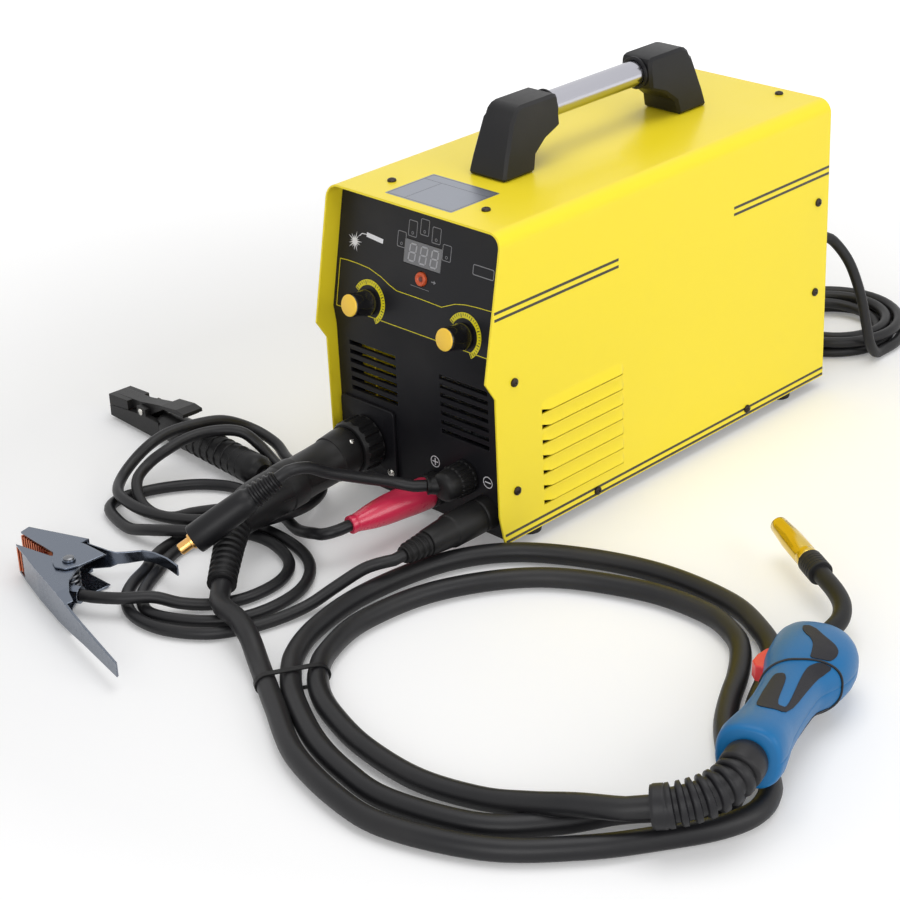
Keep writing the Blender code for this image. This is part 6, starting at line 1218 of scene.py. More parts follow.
# The parting ribs along the grip, and the small bright screw that clamps it
bm = bmesh.new()
for side in (-1, 1):
    for low, high, radius in ((-0.0600, -0.0460, 0.0173), (-0.0785, -0.0600, 0.0172), (-0.1080, -0.0972, 0.0178)):
        x = TORCH_X + side * radius
        z = 0.0432 + (low + high + 0.088) / 2 * 0.0082
        block(bm, (x - 0.0008, low, z - 0.0004), (x + 0.0004, high, z + 0.0004))
piece("connector_parting_ribs", bm, moulded_black, "machine", "black_plastic")
screws("connector_screw", [((TORCH_X + 0.0118, -0.0325, TORCH_Z + 0.0123), (0.62, -0.06, 0.78))], plain_head,
       0.0022, 4, screw_bright, "chrome")


# --- Lead sockets, plugs and the polarity gland ----------------------------------------------------
# Round black sockets take the plugs: a glossy red sleeve on plus, a black one with a ribbed neck on
# minus. The short polarity lead leaves a domed gland beside them.
red_sleeve = finish_of("red_sleeve", srgb(216, 50, 84), 0.30, grain=700.0, depth=0.00004, dust=0.01, coat=0.3)
SOCKET_FRONT = PANEL_FACE - 0.0105
for name, x, z in (("plus", 0.014, 0.030), ("minus", 0.066, 0.027)):
    bm = bmesh.new()
    turned(bm, [(PANEL_FACE, 0.0090), (PANEL_FACE, 0.0130), (SOCKET_FRONT + 0.0022, 0.0130),
                (SOCKET_FRONT + 0.0014, 0.0128), (SOCKET_FRONT + 0.0006, 0.0121), (SOCKET_FRONT, 0.0112),
                (SOCKET_FRONT, 0.0062), (SOCKET_FRONT + 0.0008, 0.0050), (0.012, 0.0050), (0.012, 0.0090)],
           (x, 0, z), (0, 1, 0), 48)
    piece(f"socket_{name}_ring", bm, moulded_black, "machine", "black_plastic", f"socket_{name}")


def eased_stations(stations, steps=4):
    """Stations with a smooth run of middles and radii between them."""
    ready = []
    for k in range(len(stations) - 1):
        four = [stations[max(k - 1, 0)], stations[k], stations[k + 1], stations[min(k + 2, len(stations) - 1)]]
        values = [Vector((*point, radius)) for point, radius in four]
        for step in range(steps):
            spot = on_curve(*values, step / steps)
            ready.append((Vector(spot[:3]), spot[3]))
    return ready + [(Vector(stations[-1][0]), stations[-1][1])]


PLUG_SEAT = SOCKET_FRONT - 0.0003
bm = bmesh.new()
stations = [((x, y, 0.030), radius) for x, y, radius in (
    (0.014, -0.0010, 0.0045), (0.014, PLUG_SEAT, 0.0045), (0.014, PLUG_SEAT, 0.0116),
    (0.014, PLUG_SEAT - 0.0006, 0.0123), (0.0139, PLUG_SEAT - 0.0020, 0.0126))]
stations += eased_stations([((x, y, 0.030), radius) for x, y, radius in (
    (0.0138, -0.0170, 0.0126), (0.0130, -0.028, 0.0122), (0.0118, -0.040, 0.0116), (0.0108, -0.052, 0.0111),
    (0.0098, -0.066, 0.0095), (0.0088, -0.077, 0.0074))])
stations += [((x, y, 0.030), radius) for x, y, radius in (
    (0.0086, -0.0785, 0.0071), (0.0085, -0.0795, 0.0070), (0.0084, -0.0800, 0.0066), (0.0083, -0.0812, 0.0066),
    (0.0082, -0.0818, 0.0070), (0.0081, -0.0850, 0.0070))]
stations.append((ELECTRODE_PLUG_END, 0.0064))
swept(bm, stations, 48)
piece("electrode_plug_sleeve", bm, red_sleeve, "machine", "red_sleeve", "electrode_plug")
bm = bmesh.new()
stations = [((0.066, y, 0.027), radius) for y, radius in (
    (-0.0010, 0.0045), (PLUG_SEAT, 0.0045), (PLUG_SEAT, 0.0120), (PLUG_SEAT - 0.0008, 0.0130), (-0.0408, 0.0130),
    (-0.0418, 0.0127), (-0.0424, 0.0120), (-0.0440, 0.0118), (-0.0540, 0.0110), (-0.0636, 0.0101),
    (-0.0648, 0.0096), (-0.0652, 0.0082))]
stations += ribbed(Vector((0.066, 0, 0.027)), Vector((0, -1, 0)), 0.0658, 0.0052, 4, 0.0094, -0.0005, 0.0016)
stations += [((0.066, -0.0870, 0.027), 0.0066), (GROUND_PLUG_END, 0.0062)]
swept(bm, stations, 48)
piece("ground_plug_grip", bm, moulded_black, "machine", "black_plastic", "ground_plug")
bm = bmesh.new()
GLAND_FLUTES = 18
fluted(bm, [(0.0003, 0.0100, 0), (0.0003, 0.0128, 0), (0.0008, 0.0130, 0), (0.0030, 0.0130, 0), (0.0034, 0.0130, 1),
            (0.0140, 0.0130, 1), (0.0150, 0.0127, 1), (0.0156, 0.0118, 0), (0.0226, 0.0115, 0), (0.0246, 0.0108, 0),
            (0.0262, 0.0095, 0), (0.0272, 0.0076, 0), (0.0279, 0.0046, 0), (0.0281, 0.0012, 0),
            (0.0200, 0.0010, 0)], (0.046, PANEL_LOWER_Y, 0.050), (0, -1, 0), GLAND_FLUTES, 0.0008,
       10 * GLAND_FLUTES)
gland_cap = piece("gland_cap", bm, moulded_black, "machine", "black_plastic")
bm = bmesh.new()
stations = [(row[:3], row[3]) for row in (
    (0.0460, -0.0170, 0.0500, 0.0074), (0.0436, -0.0205, 0.0500, 0.0074), (0.0400, -0.0255, 0.0500, 0.0071),
    (0.0380, -0.0280, 0.0501, 0.0070), (0.0374, -0.0287, 0.0501, 0.0066), (0.0364, -0.0300, 0.0502, 0.0066),
    (0.0359, -0.0307, 0.0503, 0.0070))]
stations += [(POLARITY_GLAND_END - POLARITY_GLAND_WAY * 0.0004, 0.0069), (POLARITY_GLAND_END, 0.0062)]
swept(bm, stations, 40)
piece("gland_nozzle", bm, moulded_black, "machine", "black_plastic")
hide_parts("polarity_gland")


# --- Torch handle ----------------------------------------------------------------------------------
# Two blue moulded halves meet along a fine seam, with black soft grips let in and a rubber ring
# round the waist. The red trigger turns in a slot; the label's place on the head is bare.
handle_blue = finish_of("handle_blue", srgb(8, 102, 158), 0.38, grain=2000.0, depth=0.00005, dust=0.015, wear=0.4,
                        worn=srgb(48, 130, 184), shine=0.30)
grip_black = finish_of("grip_black", srgb(32, 32, 38), 0.55, grain=2600.0, depth=0.00012, dust=0.02, shine=0.20)
trigger_red = finish_of("trigger_red", srgb(240, 58, 62), 0.34, grain=1500.0, depth=0.00003, dust=0.01)
HANDLE_TAIL = Vector((0.4200, -0.1460, 0.0420))
HANDLE_HEAD = Vector((0.3580, 0.0100, 0.0240))
HANDLE_ALONG = (HANDLE_HEAD - HANDLE_TAIL).normalized()
HANDLE_SIDE = Vector((0, 0, 1)).cross(HANDLE_ALONG).normalized()
HANDLE_UP = HANDLE_ALONG.cross(HANDLE_SIDE)
# Along the handle, reach on the trigger side, on the far side, and half height
HANDLE_SECTIONS = ((0.0, 0.0178, 0.0178, 0.0178), (0.0006, 0.0192, 0.0192, 0.0192),
                   (0.0020, 0.0203, 0.0203, 0.0203), (0.0045, 0.0210, 0.0210, 0.0208),
                   (0.0120, 0.0215, 0.0215, 0.0210), (0.0230, 0.0201, 0.0204, 0.0201),
                   (0.0340, 0.0185, 0.0190, 0.0190), (0.0460, 0.0172, 0.0186, 0.0186),
                   (0.0600, 0.0165, 0.0185, 0.0185), (0.0740, 0.0167, 0.0188, 0.0187),
                   (0.0880, 0.0175, 0.0195, 0.0190), (0.0960, 0.0183, 0.0207, 0.0194),
                   (0.1040, 0.0202, 0.0242, 0.0204), (0.1130, 0.0226, 0.0284, 0.0212),
                   (0.1220, 0.0244, 0.0312, 0.0217), (0.1320, 0.0252, 0.0326, 0.0218),
                   (0.1420, 0.0256, 0.0324, 0.0214), (0.1500, 0.0260, 0.0310, 0.0208),
                   (0.1560, 0.0256, 0.0288, 0.0200), (0.1620, 0.0238, 0.0254, 0.0188),
                   (0.1655, 0.0212, 0.0222, 0.0174), (0.1675, 0.0186, 0.0192, 0.0158),
                   (0.1685, 0.0150, 0.0154, 0.0130))


def handle_point(along, side, up):
    """A point of the handle's own frame, which starts at its tail."""
    return HANDLE_TAIL + HANDLE_ALONG * along + HANDLE_SIDE * side + HANDLE_UP * up


def handle_skin(along, turn, lift=0.0):
    """A point of the handle's surface; turn 0 is the trigger side and a quarter turn is the top."""
    after = next((k for k, row in enumerate(HANDLE_SECTIONS) if row[0] >= along), len(HANDLE_SECTIONS) - 1)
    low, high = HANDLE_SECTIONS[max(after - 1, 0)], HANDLE_SECTIONS[after]
    share = (along - low[0]) / max(high[0] - low[0], 1e-9) if after else 0.0
    near, far, tall = (a + (b - a) * share for a, b in zip(low[1:], high[1:]))
    across = math.copysign(abs(math.cos(turn)) ** 0.8, math.cos(turn))
    upward = math.copysign(abs(math.sin(turn)) ** 0.8, math.sin(turn))
    side = across * (near if across > 0 else far)
    return handle_point(along, side + across * lift, upward * (tall + lift))


SEAM = 0.016                      # half the seam's angle
turns = sorted({2 * math.pi * k / 72 for k in range(72) if k % 36}
               | {SEAM, 2 * math.pi - SEAM, math.pi - SEAM, math.pi + SEAM, 0.0, math.pi})
bm = bmesh.new()
rows = [row[0] for row in HANDLE_SECTIONS]
alongs = sorted(set(rows + [0.5 * (a + b) for a, b in zip(rows, rows[1:]) if b - a > 0.004]))
rings = []
for along in alongs:
    rings.append([bm.verts.new(handle_skin(along, turn, -0.0004 if turn in (0.0, math.pi) else 0.0))
                  for turn in turns])
skinned(bm, rings)
bm.faces.new(rings[0][::-1])
bm.faces.new(rings[-1])
body = loose("handle_body", bm)
TRIGGER_AT = 0.126
bm = bmesh.new()
slot = rounded_outline(TRIGGER_AT - 0.018, TRIGGER_AT + 0.018, -0.0062, 0.0062, 0.0012, 2)
slab(bm, slot, lambda u, v, lift: handle_point(u, lift, v), 0.0120, 0.0400)
hollow_handle = cut_away(body, loose("trigger_slot", bm))
bm = bmesh.new()
bm.from_mesh(hollow_handle)
piece("torch_handle_shell", bm, handle_blue, "machine", "blue_plastic", "torch_handle", smooth=40.0)


def softened(outline, share=0.18):
    """The outline with each corner cut twice, so that it reads as rounded."""
    for _ in range(2):
        ready = []
        for k, (u, v) in enumerate(outline):
            (a, b), (c, d) = outline[k - 1], outline[(k + 1) % len(outline)]
            ready += [(u + (a - u) * share, v + (b - v) * share), (u + (c - u) * share, v + (d - v) * share)]
        outline = ready
    return outline


HEAD_GRIP = [(0.1500, 1.38), (0.1515, 1.53), (0.1385, 1.78), (0.1280, 2.25), (0.1190, 2.33), (0.1125, 2.30),
             (0.1086, 2.05), (0.1066, 1.83), (0.1188, 1.74), (0.1246, 1.70), (0.1340, 1.58), (0.1430, 1.42)]
BODY_GRIP = [(0.1062, 2.12), (0.1105, 2.62), (0.0355, 2.3675), (0.0295, 1.3891), (0.0524, 1.2600), (0.0783, 1.2700),
             (0.0818, 1.6174), (0.0385, 1.8016), (0.0411, 2.1888), (0.0950, 1.9597)]
GRIP_RADIUS = 0.02                # what one radian of turn is worth while the grip is flat
GRIP_STEP = 0.0022                # between the cuts that let it follow the skin
GRIP_LIFT = 0.0005
GRIP_FOOT = -0.0008


def let_in(bm, outline):
    """A grip laid round the handle: its outline is in (along, turn)."""
    slab(bm, softened(outline), lambda u, v, side: (u, v * GRIP_RADIUS, side), 0.0, 0.001)
    for normal, reach in ((Vector((1, 0, 0)), 0.17), (Vector((0, 1, 0)), 2 * math.pi * GRIP_RADIUS)):
        for k in range(1, round(reach / GRIP_STEP)):
            bmesh.ops.bisect_plane(bm, geom=bm.verts[:] + bm.edges[:] + bm.faces[:], dist=1e-7,
                                   plane_co=normal * (k * GRIP_STEP), plane_no=normal)
    for vertex in bm.verts:
        along, turn, side = vertex.co.x, vertex.co.y / GRIP_RADIUS, vertex.co.z
        vertex.co = handle_skin(along, turn, GRIP_LIFT if side > 0.0005 else GRIP_FOOT)


UNDER_GRIPS = [[(u, 2 * math.pi - v) for u, v in outline] for outline in (HEAD_GRIP, BODY_GRIP)]
for name, outline in (("head_grip", HEAD_GRIP), ("body_grip", BODY_GRIP),
                      ("head_grip_under", UNDER_GRIPS[0]), ("body_grip_under", UNDER_GRIPS[1])):
    bm = bmesh.new()
    let_in(bm, outline)
    piece(name, bm, grip_black, "machine", "black_plastic", smooth=50.0)

# The rubber ring round the waist
bm = bmesh.new()
RING_STEPS = 72
WAIST = 0.1000                    # along the handle
WAIST_LEAN = 0.0140
rings = []
for k in range(RING_STEPS):
    turn = 2 * math.pi * k / RING_STEPS
    along = WAIST - WAIST_LEAN * math.cos(turn)
    middle = handle_skin(along, turn, 0.0003)
    outward = (handle_skin(along, turn, 0.0013) - middle).normalized()
    rings.append(circle(bm, middle, outward, HANDLE_ALONG, 0.0009, 10))
skinned(bm, rings, closed=True)
piece("waist_ring", bm, cable_rubber, "machine", "rubber", smooth=60.0)
refined("torch_trigger", trigger_red, "red_plastic", ease=0.0008)


# --- Torch neck and gas nozzle ---------------------------------------------------------------------
# A black bent swan neck, a ribbed insulator and a tapered brass-coloured gas nozzle round the
# copper contact tip. The nozzle pushes on.
nozzle_gold = finish_of("nozzle_gold", srgb(214, 184, 84), 0.16, metallic=1.0, grain=500.0, depth=0.00002, dust=0.0,
                        coat=0.3)
copper = finish_of("copper", srgb(206, 120, 84), 0.3, metallic=1.0, grain=700.0, depth=0.00003, dust=0.01)
NECK_START = handle_point(0.1688, 0.0, 0.0)
bend = eased_stations([(NECK_START + HANDLE_ALONG * 0.0060, 0.0065), (NECK_START + HANDLE_ALONG * 0.014, 0.0065),
                       ((0.3495, 0.0440, 0.0232), 0.0065), ((0.3410, 0.0590, 0.0245), 0.0065),
                       ((0.3280, 0.0700, 0.0255), 0.0065), ((0.3120, 0.0795, 0.0260), 0.0065),
                       ((0.3075, 0.0822, 0.0260), 0.0065)], 5)
NECK_END = Vector((0.3055, 0.0833, 0.0260))
nozzle_way = (Vector((0.2885, 0.0932, 0.0260)) - NECK_END).normalized()
INSULATOR_RIBS = 5
INSULATOR_PITCH = 0.0032
stations = [(NECK_START + HANDLE_ALONG * along, radius)
            for along, radius in ((0.0, 0.0062), (0.0006, 0.0080), (0.0046, 0.0080), (0.0052, 0.0066))] + bend
insulator = [(0.0, 0.0065), (0.0001, 0.0086), (0.0008, 0.0091)]
for k in range(INSULATOR_RIBS):
    insulator += [(along + k * INSULATOR_PITCH, radius)
                  for along, radius in ((0.0034, 0.0091), (0.0037, 0.0086), (0.0041, 0.0086), (0.0044, 0.0091))]
insulator[-1:] = [(0.0193, 0.0090), (0.0197, 0.0082), (0.0197, 0.0034), (0.0240, 0.0034)]
stations += [(NECK_END + nozzle_way * along, radius) for along, radius in insulator]
bm = bmesh.new()
swept(bm, stations, 40)
piece("torch_neck_bent", bm, soft_black, "machine", "black_plastic", "torch_neck")
bm = bmesh.new()
turned(bm, [(0.0238, 0), (0.0238, 0.0032), (0.0600, 0.0032), (0.0662, 0.0022), (0.0664, 0.0006), (0.0640, 0.0005),
            (0.0640, 0)], NECK_END, nozzle_way, 32)
piece("contact_tip", bm, copper, "machine", "brass")
NOZZLE_BASE = Vector((0.2877, 0.0937, 0.0260))
NOZZLE_MOUTH = Vector((0.2400, 0.1210, 0.0260))
reach = (NOZZLE_MOUTH - NOZZLE_BASE).length
bm = bmesh.new()
taper = [(reach * share, radius) for share, radius in (
    (0.10, 0.0082), (0.11, 0.0080), (0.13, 0.0080), (0.14, 0.0082), (0.55, 0.0082), (0.60, 0.0081), (0.72, 0.0076),
    (0.88, 0.0070))]
turned(bm, [(0, 0.0062), (0, 0.0080), (0.0005, 0.0082)] + taper
       + [(reach - 0.0004, 0.0066), (reach, 0.0063), (reach, 0.0054), (reach - 0.0006, 0.0052),
          (reach * 0.6, 0.0062)], NOZZLE_BASE, nozzle_way, 64)
piece("gas_nozzle_turned", bm, nozzle_gold, "machine", "brass", "gas_nozzle")


# --- Bend protector --------------------------------------------------------------------------------
# A moulded rubber sleeve in the handle's tail: a smooth cuff, then deep ribs, and a cuff at the end.
# It bends with the torch lead, which leaves through it.
protector_rubber = finish_of("protector_rubber", srgb(20, 20, 24), 0.44, grain=1600.0, depth=0.00005, dust=0.02,
                             shine=0.28)
route = smooth_route([handle_point(-0.0003, 0, 0), handle_point(-0.0050, 0, 0), handle_point(-0.0100, 0, 0),
                      Vector((0.4255, -0.1680, 0.0400)), Vector((0.4220, -0.1810, 0.0366)),
                      Vector((0.4150, -0.1925, 0.0337)), PROTECTOR_END - PROTECTOR_WAY * 0.0100,
                      PROTECTOR_END - PROTECTOR_WAY * 0.0050, PROTECTOR_END], 0.0008)
along = runs(route)
PROTECTOR_CUFF = 0.0150
PROTECTOR_RIBS = 7
PROTECTOR_LIP = 0.0085
pitch = (along[-1] - PROTECTOR_CUFF - PROTECTOR_LIP) / PROTECTOR_RIBS
stations = []
for point, run in zip(route, along):
    if run < PROTECTOR_CUFF:
        radius = min(0.0140, 0.0128 + run * 0.4) if run < PROTECTOR_CUFF - 0.0008 else 0.0134
    elif run < along[-1] - PROTECTOR_LIP:
        share = ((run - PROTECTOR_CUFF) / pitch) % 1.0
        radius = 0.0108 if share < 0.40 else (0.0132 if share < 0.48 or share > 0.92 else 0.0138)
    else:
        radius = 0.0138 if run < along[-1] - 0.0010 else 0.0132
    stations.append((point, radius))
bm = bmesh.new()
swept(bm, stations, 48)
piece("bend_protector_ribbed", bm, protector_rubber, "machine", "rubber", "bend_protector", smooth=50.0)


# --- Electrode holder ------------------------------------------------------------------------------
# A black moulded grip with the lower jaw, and a sprung lever with the upper jaw on a steel pin.
# Copper plates line the jaws.


def in_holder(x, y, z):
    """A point of the holder's own frame, which starts at the jaws and runs to the lead."""
    return HOLDER_TURN @ Vector((x, y, z))


refined("holder_body", moulded_black, "black_plastic", smooth=40.0, ease=0.0007)
refined("holder_lever", moulded_black, "black_plastic", ease=0.0006)
bm = bmesh.new()
for side in (-1, 1):
    turned(bm, [(0, 0), (0, 0.0028), (0.0010, 0.0028), (0.0014, 0.0022), (0.0014, 0)],
           in_holder(0.048, side * 0.0110, 0.0215), in_holder(0, side, 0) - in_holder(0, 0, 0), 20)
piece("holder_pin_heads", bm, screw_bright, "machine", "steel")
JAW_TEETH = 9
TOOTH_PITCH = 0.0030
JAW_SLOPE = 0.0040 / 0.030
bm = bmesh.new()
for low, high in ((0.0020 + k * TOOTH_PITCH, 0.0036 + k * TOOTH_PITCH) for k in range(JAW_TEETH)):
    slab(bm, [(low, -0.0085), (high, -0.0085), (high, 0.0085), (low, 0.0085)],
         lambda u, v, lift: in_holder(u, v, 0.0125 + u * JAW_SLOPE + lift), -0.0010, 0.0001)
piece("holder_jaw_teeth", bm, copper, "machine", "brass")
bm = bmesh.new()
for at in (0.1000 + k * 0.0095 for k in range(9)):
    turned(bm, [(0, 0.0100), (0, 0.01225), (0.0007, 0.0128), (0.0021, 0.0128), (0.0028, 0.01225), (0.0028, 0.0100)],
           in_holder(at, 0, 0.0138), in_holder(1, 0, 0) - in_holder(0, 0, 0), 40)
piece("holder_grip_rings", bm, moulded_black, "machine", "black_plastic")


# --- Ground clamp ----------------------------------------------------------------------------------
# Two pressed zinc-plated halves on a rivet with a spring between them; copper teeth line the jaws and
# the lead's strands are crimped under a strap.
zinc = finish_of("zinc_plate", srgb(196, 201, 206), 0.30, metallic=0.9, grain=420.0, depth=0.00004, spread=0.12,
                 dust=0.03, wear=0.6, worn=srgb(150, 152, 156))
spring_steel = finish_of("spring_steel", srgb(120, 122, 126), 0.28, metallic=1.0, grain=800.0, depth=0.00002)
# Painted shade: the clamp halves are zinc-plated, but this colour paints them darker all over; the patchy edge-wear
# mask brings a light zinc colour back along their edges
clamp_zinc_painted_shade = finish_of("clamp_zinc_painted_shade", srgb(112, 119, 131), 0.24, metallic=1.0, grain=260.0, depth=0.00005,
                        spread=0.18, dust=0.02, wear=2.0, worn=srgb(206, 210, 216))
refined("clamp_lower", clamp_zinc_painted_shade, "zinc_steel", smooth=40.0, ease=0.0004)
refined("clamp_upper", clamp_zinc_painted_shade, "zinc_steel", smooth=40.0, ease=0.0004)
CLAMP_MIDDLE = 0.0145
CLAMP_TEETH = 12
for name, body, start, end, tall, reach in (
        ("clamp_lower_teeth", "machine", (-0.1630, -0.2594), (-0.1320, -0.2538), 0.0016, 0.0100),
        ("clamp_upper_teeth", "clamp_upper", (-0.1735, -0.2476), (-0.1345, -0.2501), 0.0022, 0.0110)):
    bm = bmesh.new()
    for k in range(CLAMP_TEETH):
        x, y = (a + (b - a) * k / CLAMP_TEETH for a, b in zip(start, end))
        block(bm, (x, y - 0.0012, CLAMP_MIDDLE - reach), (x + 0.0014, y + tall, CLAMP_MIDDLE + reach))
    piece(name, bm, copper, body, "brass")
spring_run = []
SPRING_TURNS = 4.5
SPRING_STEPS = 20                 # for each turn
SPRING_RADIUS = 0.0060
SPRING_WIRE = 0.0011              # the wire's own radius
SPRING_LONG = 0.0170
CLAMP_RIVET = (-0.1110, -0.2510)
for k in range(round(SPRING_TURNS * SPRING_STEPS) + 1):
    turn = 2 * math.pi * k / SPRING_STEPS
    x, y = CLAMP_RIVET[0] + SPRING_RADIUS * math.cos(turn), CLAMP_RIVET[1] + SPRING_RADIUS * math.sin(turn)
    z = CLAMP_MIDDLE - SPRING_LONG / 2 + SPRING_LONG * k / (SPRING_TURNS * SPRING_STEPS)
    spring_run.append(((x, y, z), SPRING_WIRE))
bm = bmesh.new()
swept(bm, spring_run, 10)
piece("clamp_spring", bm, spring_steel, "machine", "steel")
bm = bmesh.new()
turned(bm, [(0, 0), (0, 0.0040), (0.0006, 0.0040), (0.0011, 0.0034), (0.0014, 0.0022), (0.0015, 0)],
       (*CLAMP_RIVET, 0.0300), (0, 0, 1), 32)
piece("clamp_rivet_head", bm, spring_steel, "machine", "steel")
bm = bmesh.new()
swept(bm, [(Vector((-0.1040, -0.2709, 0.0145)), 0.0034), (BOOT_END - BOOT_WAY * 0.0190, 0.0036),
           (BOOT_END - BOOT_WAY * 0.0100, 0.0036)], 20)
piece("clamp_lead_strands", bm, copper, "machine", "brass")


# --- Carrying handle -------------------------------------------------------------------------------
# Two black moulded posts, each screwed to the top sheet from inside, hold a bright drawn tube that
# stands in their sockets.
post_black = finish_of("post_black", srgb(22, 22, 25), 0.42, grain=2200.0, depth=0.00008, dust=0.025, wear=0.8,
                       worn=srgb(70, 70, 74), shine=0.24)
bright_tube = finish_of("bright_tube", srgb(186, 186, 194), 0.20, metallic=1.0, grain=90.0, depth=0.00001,
                        spread=0.08, stretch=(30.0, 0.6, 30.0), dust=0.01)
for end in ("front", "rear"):
    refined(f"handle_{end}_post", post_black, "black_plastic", ease=0.0012, steps=3)
HANDLE_MIDDLE_Y = 0.194
HANDLE_TUBE_Z = 0.288
TUBE_REACH = 0.0597
bm = bmesh.new()
turned(bm, [(-TUBE_REACH, 0), (-TUBE_REACH, 0.0094), (-TUBE_REACH + 0.0006, 0.0100), (TUBE_REACH - 0.0006, 0.0100),
            (TUBE_REACH, 0.0094), (TUBE_REACH, 0)], (0, HANDLE_MIDDLE_Y, HANDLE_TUBE_Z), (0, 1, 0), 64)
piece("handle_tube_drawn", bm, bright_tube, "machine", "chrome", "handle_tube")
bm = bmesh.new()
for side in (-1, 1):
    turned(bm, [(0, 0.0104), (0, 0.0124), (0.0004, 0.0128), (0.0014, 0.0128), (0.0018, 0.0124), (0.0018, 0.0104)],
           (0, HANDLE_MIDDLE_Y + side * 0.0520, HANDLE_TUBE_Z), (0, -side, 0), 48)
piece("handle_tube_seats", bm, post_black, "machine", "black_plastic")


# --- Rear: switch, mains gland and fan -------------------------------------------------------------
# The black rocker sits in a clipped bezel marked I and O, the cord leaves a ribbed gland, and the
# fan blows through slots in the sheet behind its screwed frame.
rocker_black = finish_of("rocker_black", srgb(22, 22, 24), 0.24, grain=1500.0, depth=0.00002, dust=0.01, coat=0.3)
fan_black = finish_of("fan_black", srgb(30, 30, 33), 0.45, grain=1500.0, depth=0.00004, dust=0.08, shine=0.30)
ROCKER = (0.035, 0.205)
refined("power_rocker", rocker_black, "black_plastic", ease=0.0007)
bm = bmesh.new()
outer = rounded_outline(ROCKER[0] - 0.0125, ROCKER[0] + 0.0125, ROCKER[1] - 0.0160, ROCKER[1] + 0.0160, 0.0022, 4)
inner = rounded_outline(ROCKER[0] - 0.0096, ROCKER[0] + 0.0096, ROCKER[1] - 0.0128, ROCKER[1] + 0.0128, 0.0008, 4)
rings = []
for outline, y, inset in ((outer, REAR_FACE - 0.0002, 0.0), (outer, REAR_FACE + 0.0014, 0.0),
                          (outer, REAR_FACE + 0.0020, 0.0006), (inner, REAR_FACE + 0.0020, -0.0004),
                          (inner, REAR_FACE + 0.0016, 0.0), (inner, REAR_FACE - 0.0002, 0.0)):
    rings.append([bm.verts.new((ROCKER[0] + (x - ROCKER[0]) * (1 - inset / 0.0125), y,
                                ROCKER[1] + (z - ROCKER[1]) * (1 - inset / 0.0160))) for x, z in outline])
skinned(bm, rings, closed=True)
piece("rocker_bezel", bm, rocker_black, "machine", "black_plastic")


def on_rear(x, z, lift):
    """A point on the rear sheet, lifted off its face."""
    return Vector((x, REAR_FACE + lift, z))


bm = bmesh.new()
line(bm, [(ROCKER[0], ROCKER[1] + 0.0195), (ROCKER[0], ROCKER[1] + 0.0245)], 0.0011, on_rear)
line(bm, [(ROCKER[0] + u * 0.62, ROCKER[1] - 0.0220 + v) for u, v in ring_points(0.0026)], 0.0009, on_rear,
     closed=True)
line(bm, rounded_outline(-0.0560, 0.0020, 0.1600, 0.2050, 0.0015, 3), 0.0004, on_rear, closed=True)
for k in range(9):
    line(bm, [(-0.0530, 0.1640 + k * 0.0045), (-0.0010, 0.1640 + k * 0.0045)], 0.0003, on_rear)
piece("rear_print", bm, stripe_ink, "machine", "black_plastic")
bm = bmesh.new()
MAINS_GLAND = (0.062, REAR_FACE, 0.117)
GLAND_NUT = 0.0126 * 0.87         # from the middle to a corner
turned(bm, [(-0.0080, 0), (-0.0080, 0.0078), (0.0003, 0.0078), (0.0003, 0.0098), (0.0060, 0.0098), (0.0060, 0.0094),
            (0.0066, 0.0098), (0.0086, 0.0098), (0.0092, 0.0092), (0.0104, 0.0092), (0.0110, 0.0097),
            (0.0130, 0.0097), (0.0136, 0.0090), (0.0148, 0.0088), (0.0154, 0.0092), (0.0172, 0.0088),
            (0.0178, 0.0080), (0.0190, 0.0074), (0.0212, 0.0069), (0.0220, 0.0064), (0.0220, 0)], MAINS_GLAND,
       (0, 1, 0), 48)
piece("mains_gland_body", bm, moulded_black, "machine", "black_plastic", "mains_gland")
bm = bmesh.new()
slab(bm, ring_points(GLAND_NUT, steps=6), lambda u, v, lift: on_rear(MAINS_GLAND[0] + u, MAINS_GLAND[2] + v, lift),
     0.0004, 0.0054)
piece("mains_gland_nut", bm, moulded_black, "machine", "black_plastic")
refined("fan_frame", fan_black, "black_plastic", ease=0.0004)
refined("fan_rotor", fan_black, "black_plastic", smooth=40.0, ease=0.0003)


# --- Wire spool ------------------------------------------------------------------------------------
# Welding wire is wound in layers on a moulded black spool, which turns on an axle bolted to the
# divider. The wound face shows each turn.
wound_wire = finish_of("wound_wire", srgb(190, 142, 104), 0.32, metallic=1.0, grain=2600.0, depth=0.00008,
                       dust=0.02)
spool_black = finish_of("spool_black", srgb(32, 32, 36), 0.42, grain=1500.0, depth=0.00004, shine=0.30)
SPOOL = Vector((-0.020, 0.252, 0.130))
SPOOL_WIDTH = 0.052
refined("spool_axle", moulded_black, "black_plastic", ease=0.0005)
bm = bmesh.new()
turned(bm, [(0, 0.0084), (0, 0.0996), (0.0004, 0.1000), (0.0026, 0.1000), (0.0030, 0.0996), (0.0030, 0.0560),
            (SPOOL_WIDTH - 0.0030, 0.0560), (SPOOL_WIDTH - 0.0030, 0.0996), (SPOOL_WIDTH - 0.0026, 0.1000),
            (SPOOL_WIDTH - 0.0004, 0.1000), (SPOOL_WIDTH, 0.0996), (SPOOL_WIDTH, 0.0880),
            (SPOOL_WIDTH - 0.0008, 0.0872), (SPOOL_WIDTH - 0.0008, 0.0610), (SPOOL_WIDTH, 0.0602),
            (SPOOL_WIDTH, 0.0562), (SPOOL_WIDTH - 0.0180, 0.0540), (SPOOL_WIDTH - 0.0180, 0.0300),
            (SPOOL_WIDTH, 0.0296), (SPOOL_WIDTH, 0.0084)], SPOOL, (-1, 0, 0), 96)
piece("spool_body", bm, spool_black, "wire_spool", "black_plastic", "wire_spool")
bm = bmesh.new()
WINDING_START = 0.0031            # from the flange's outer face
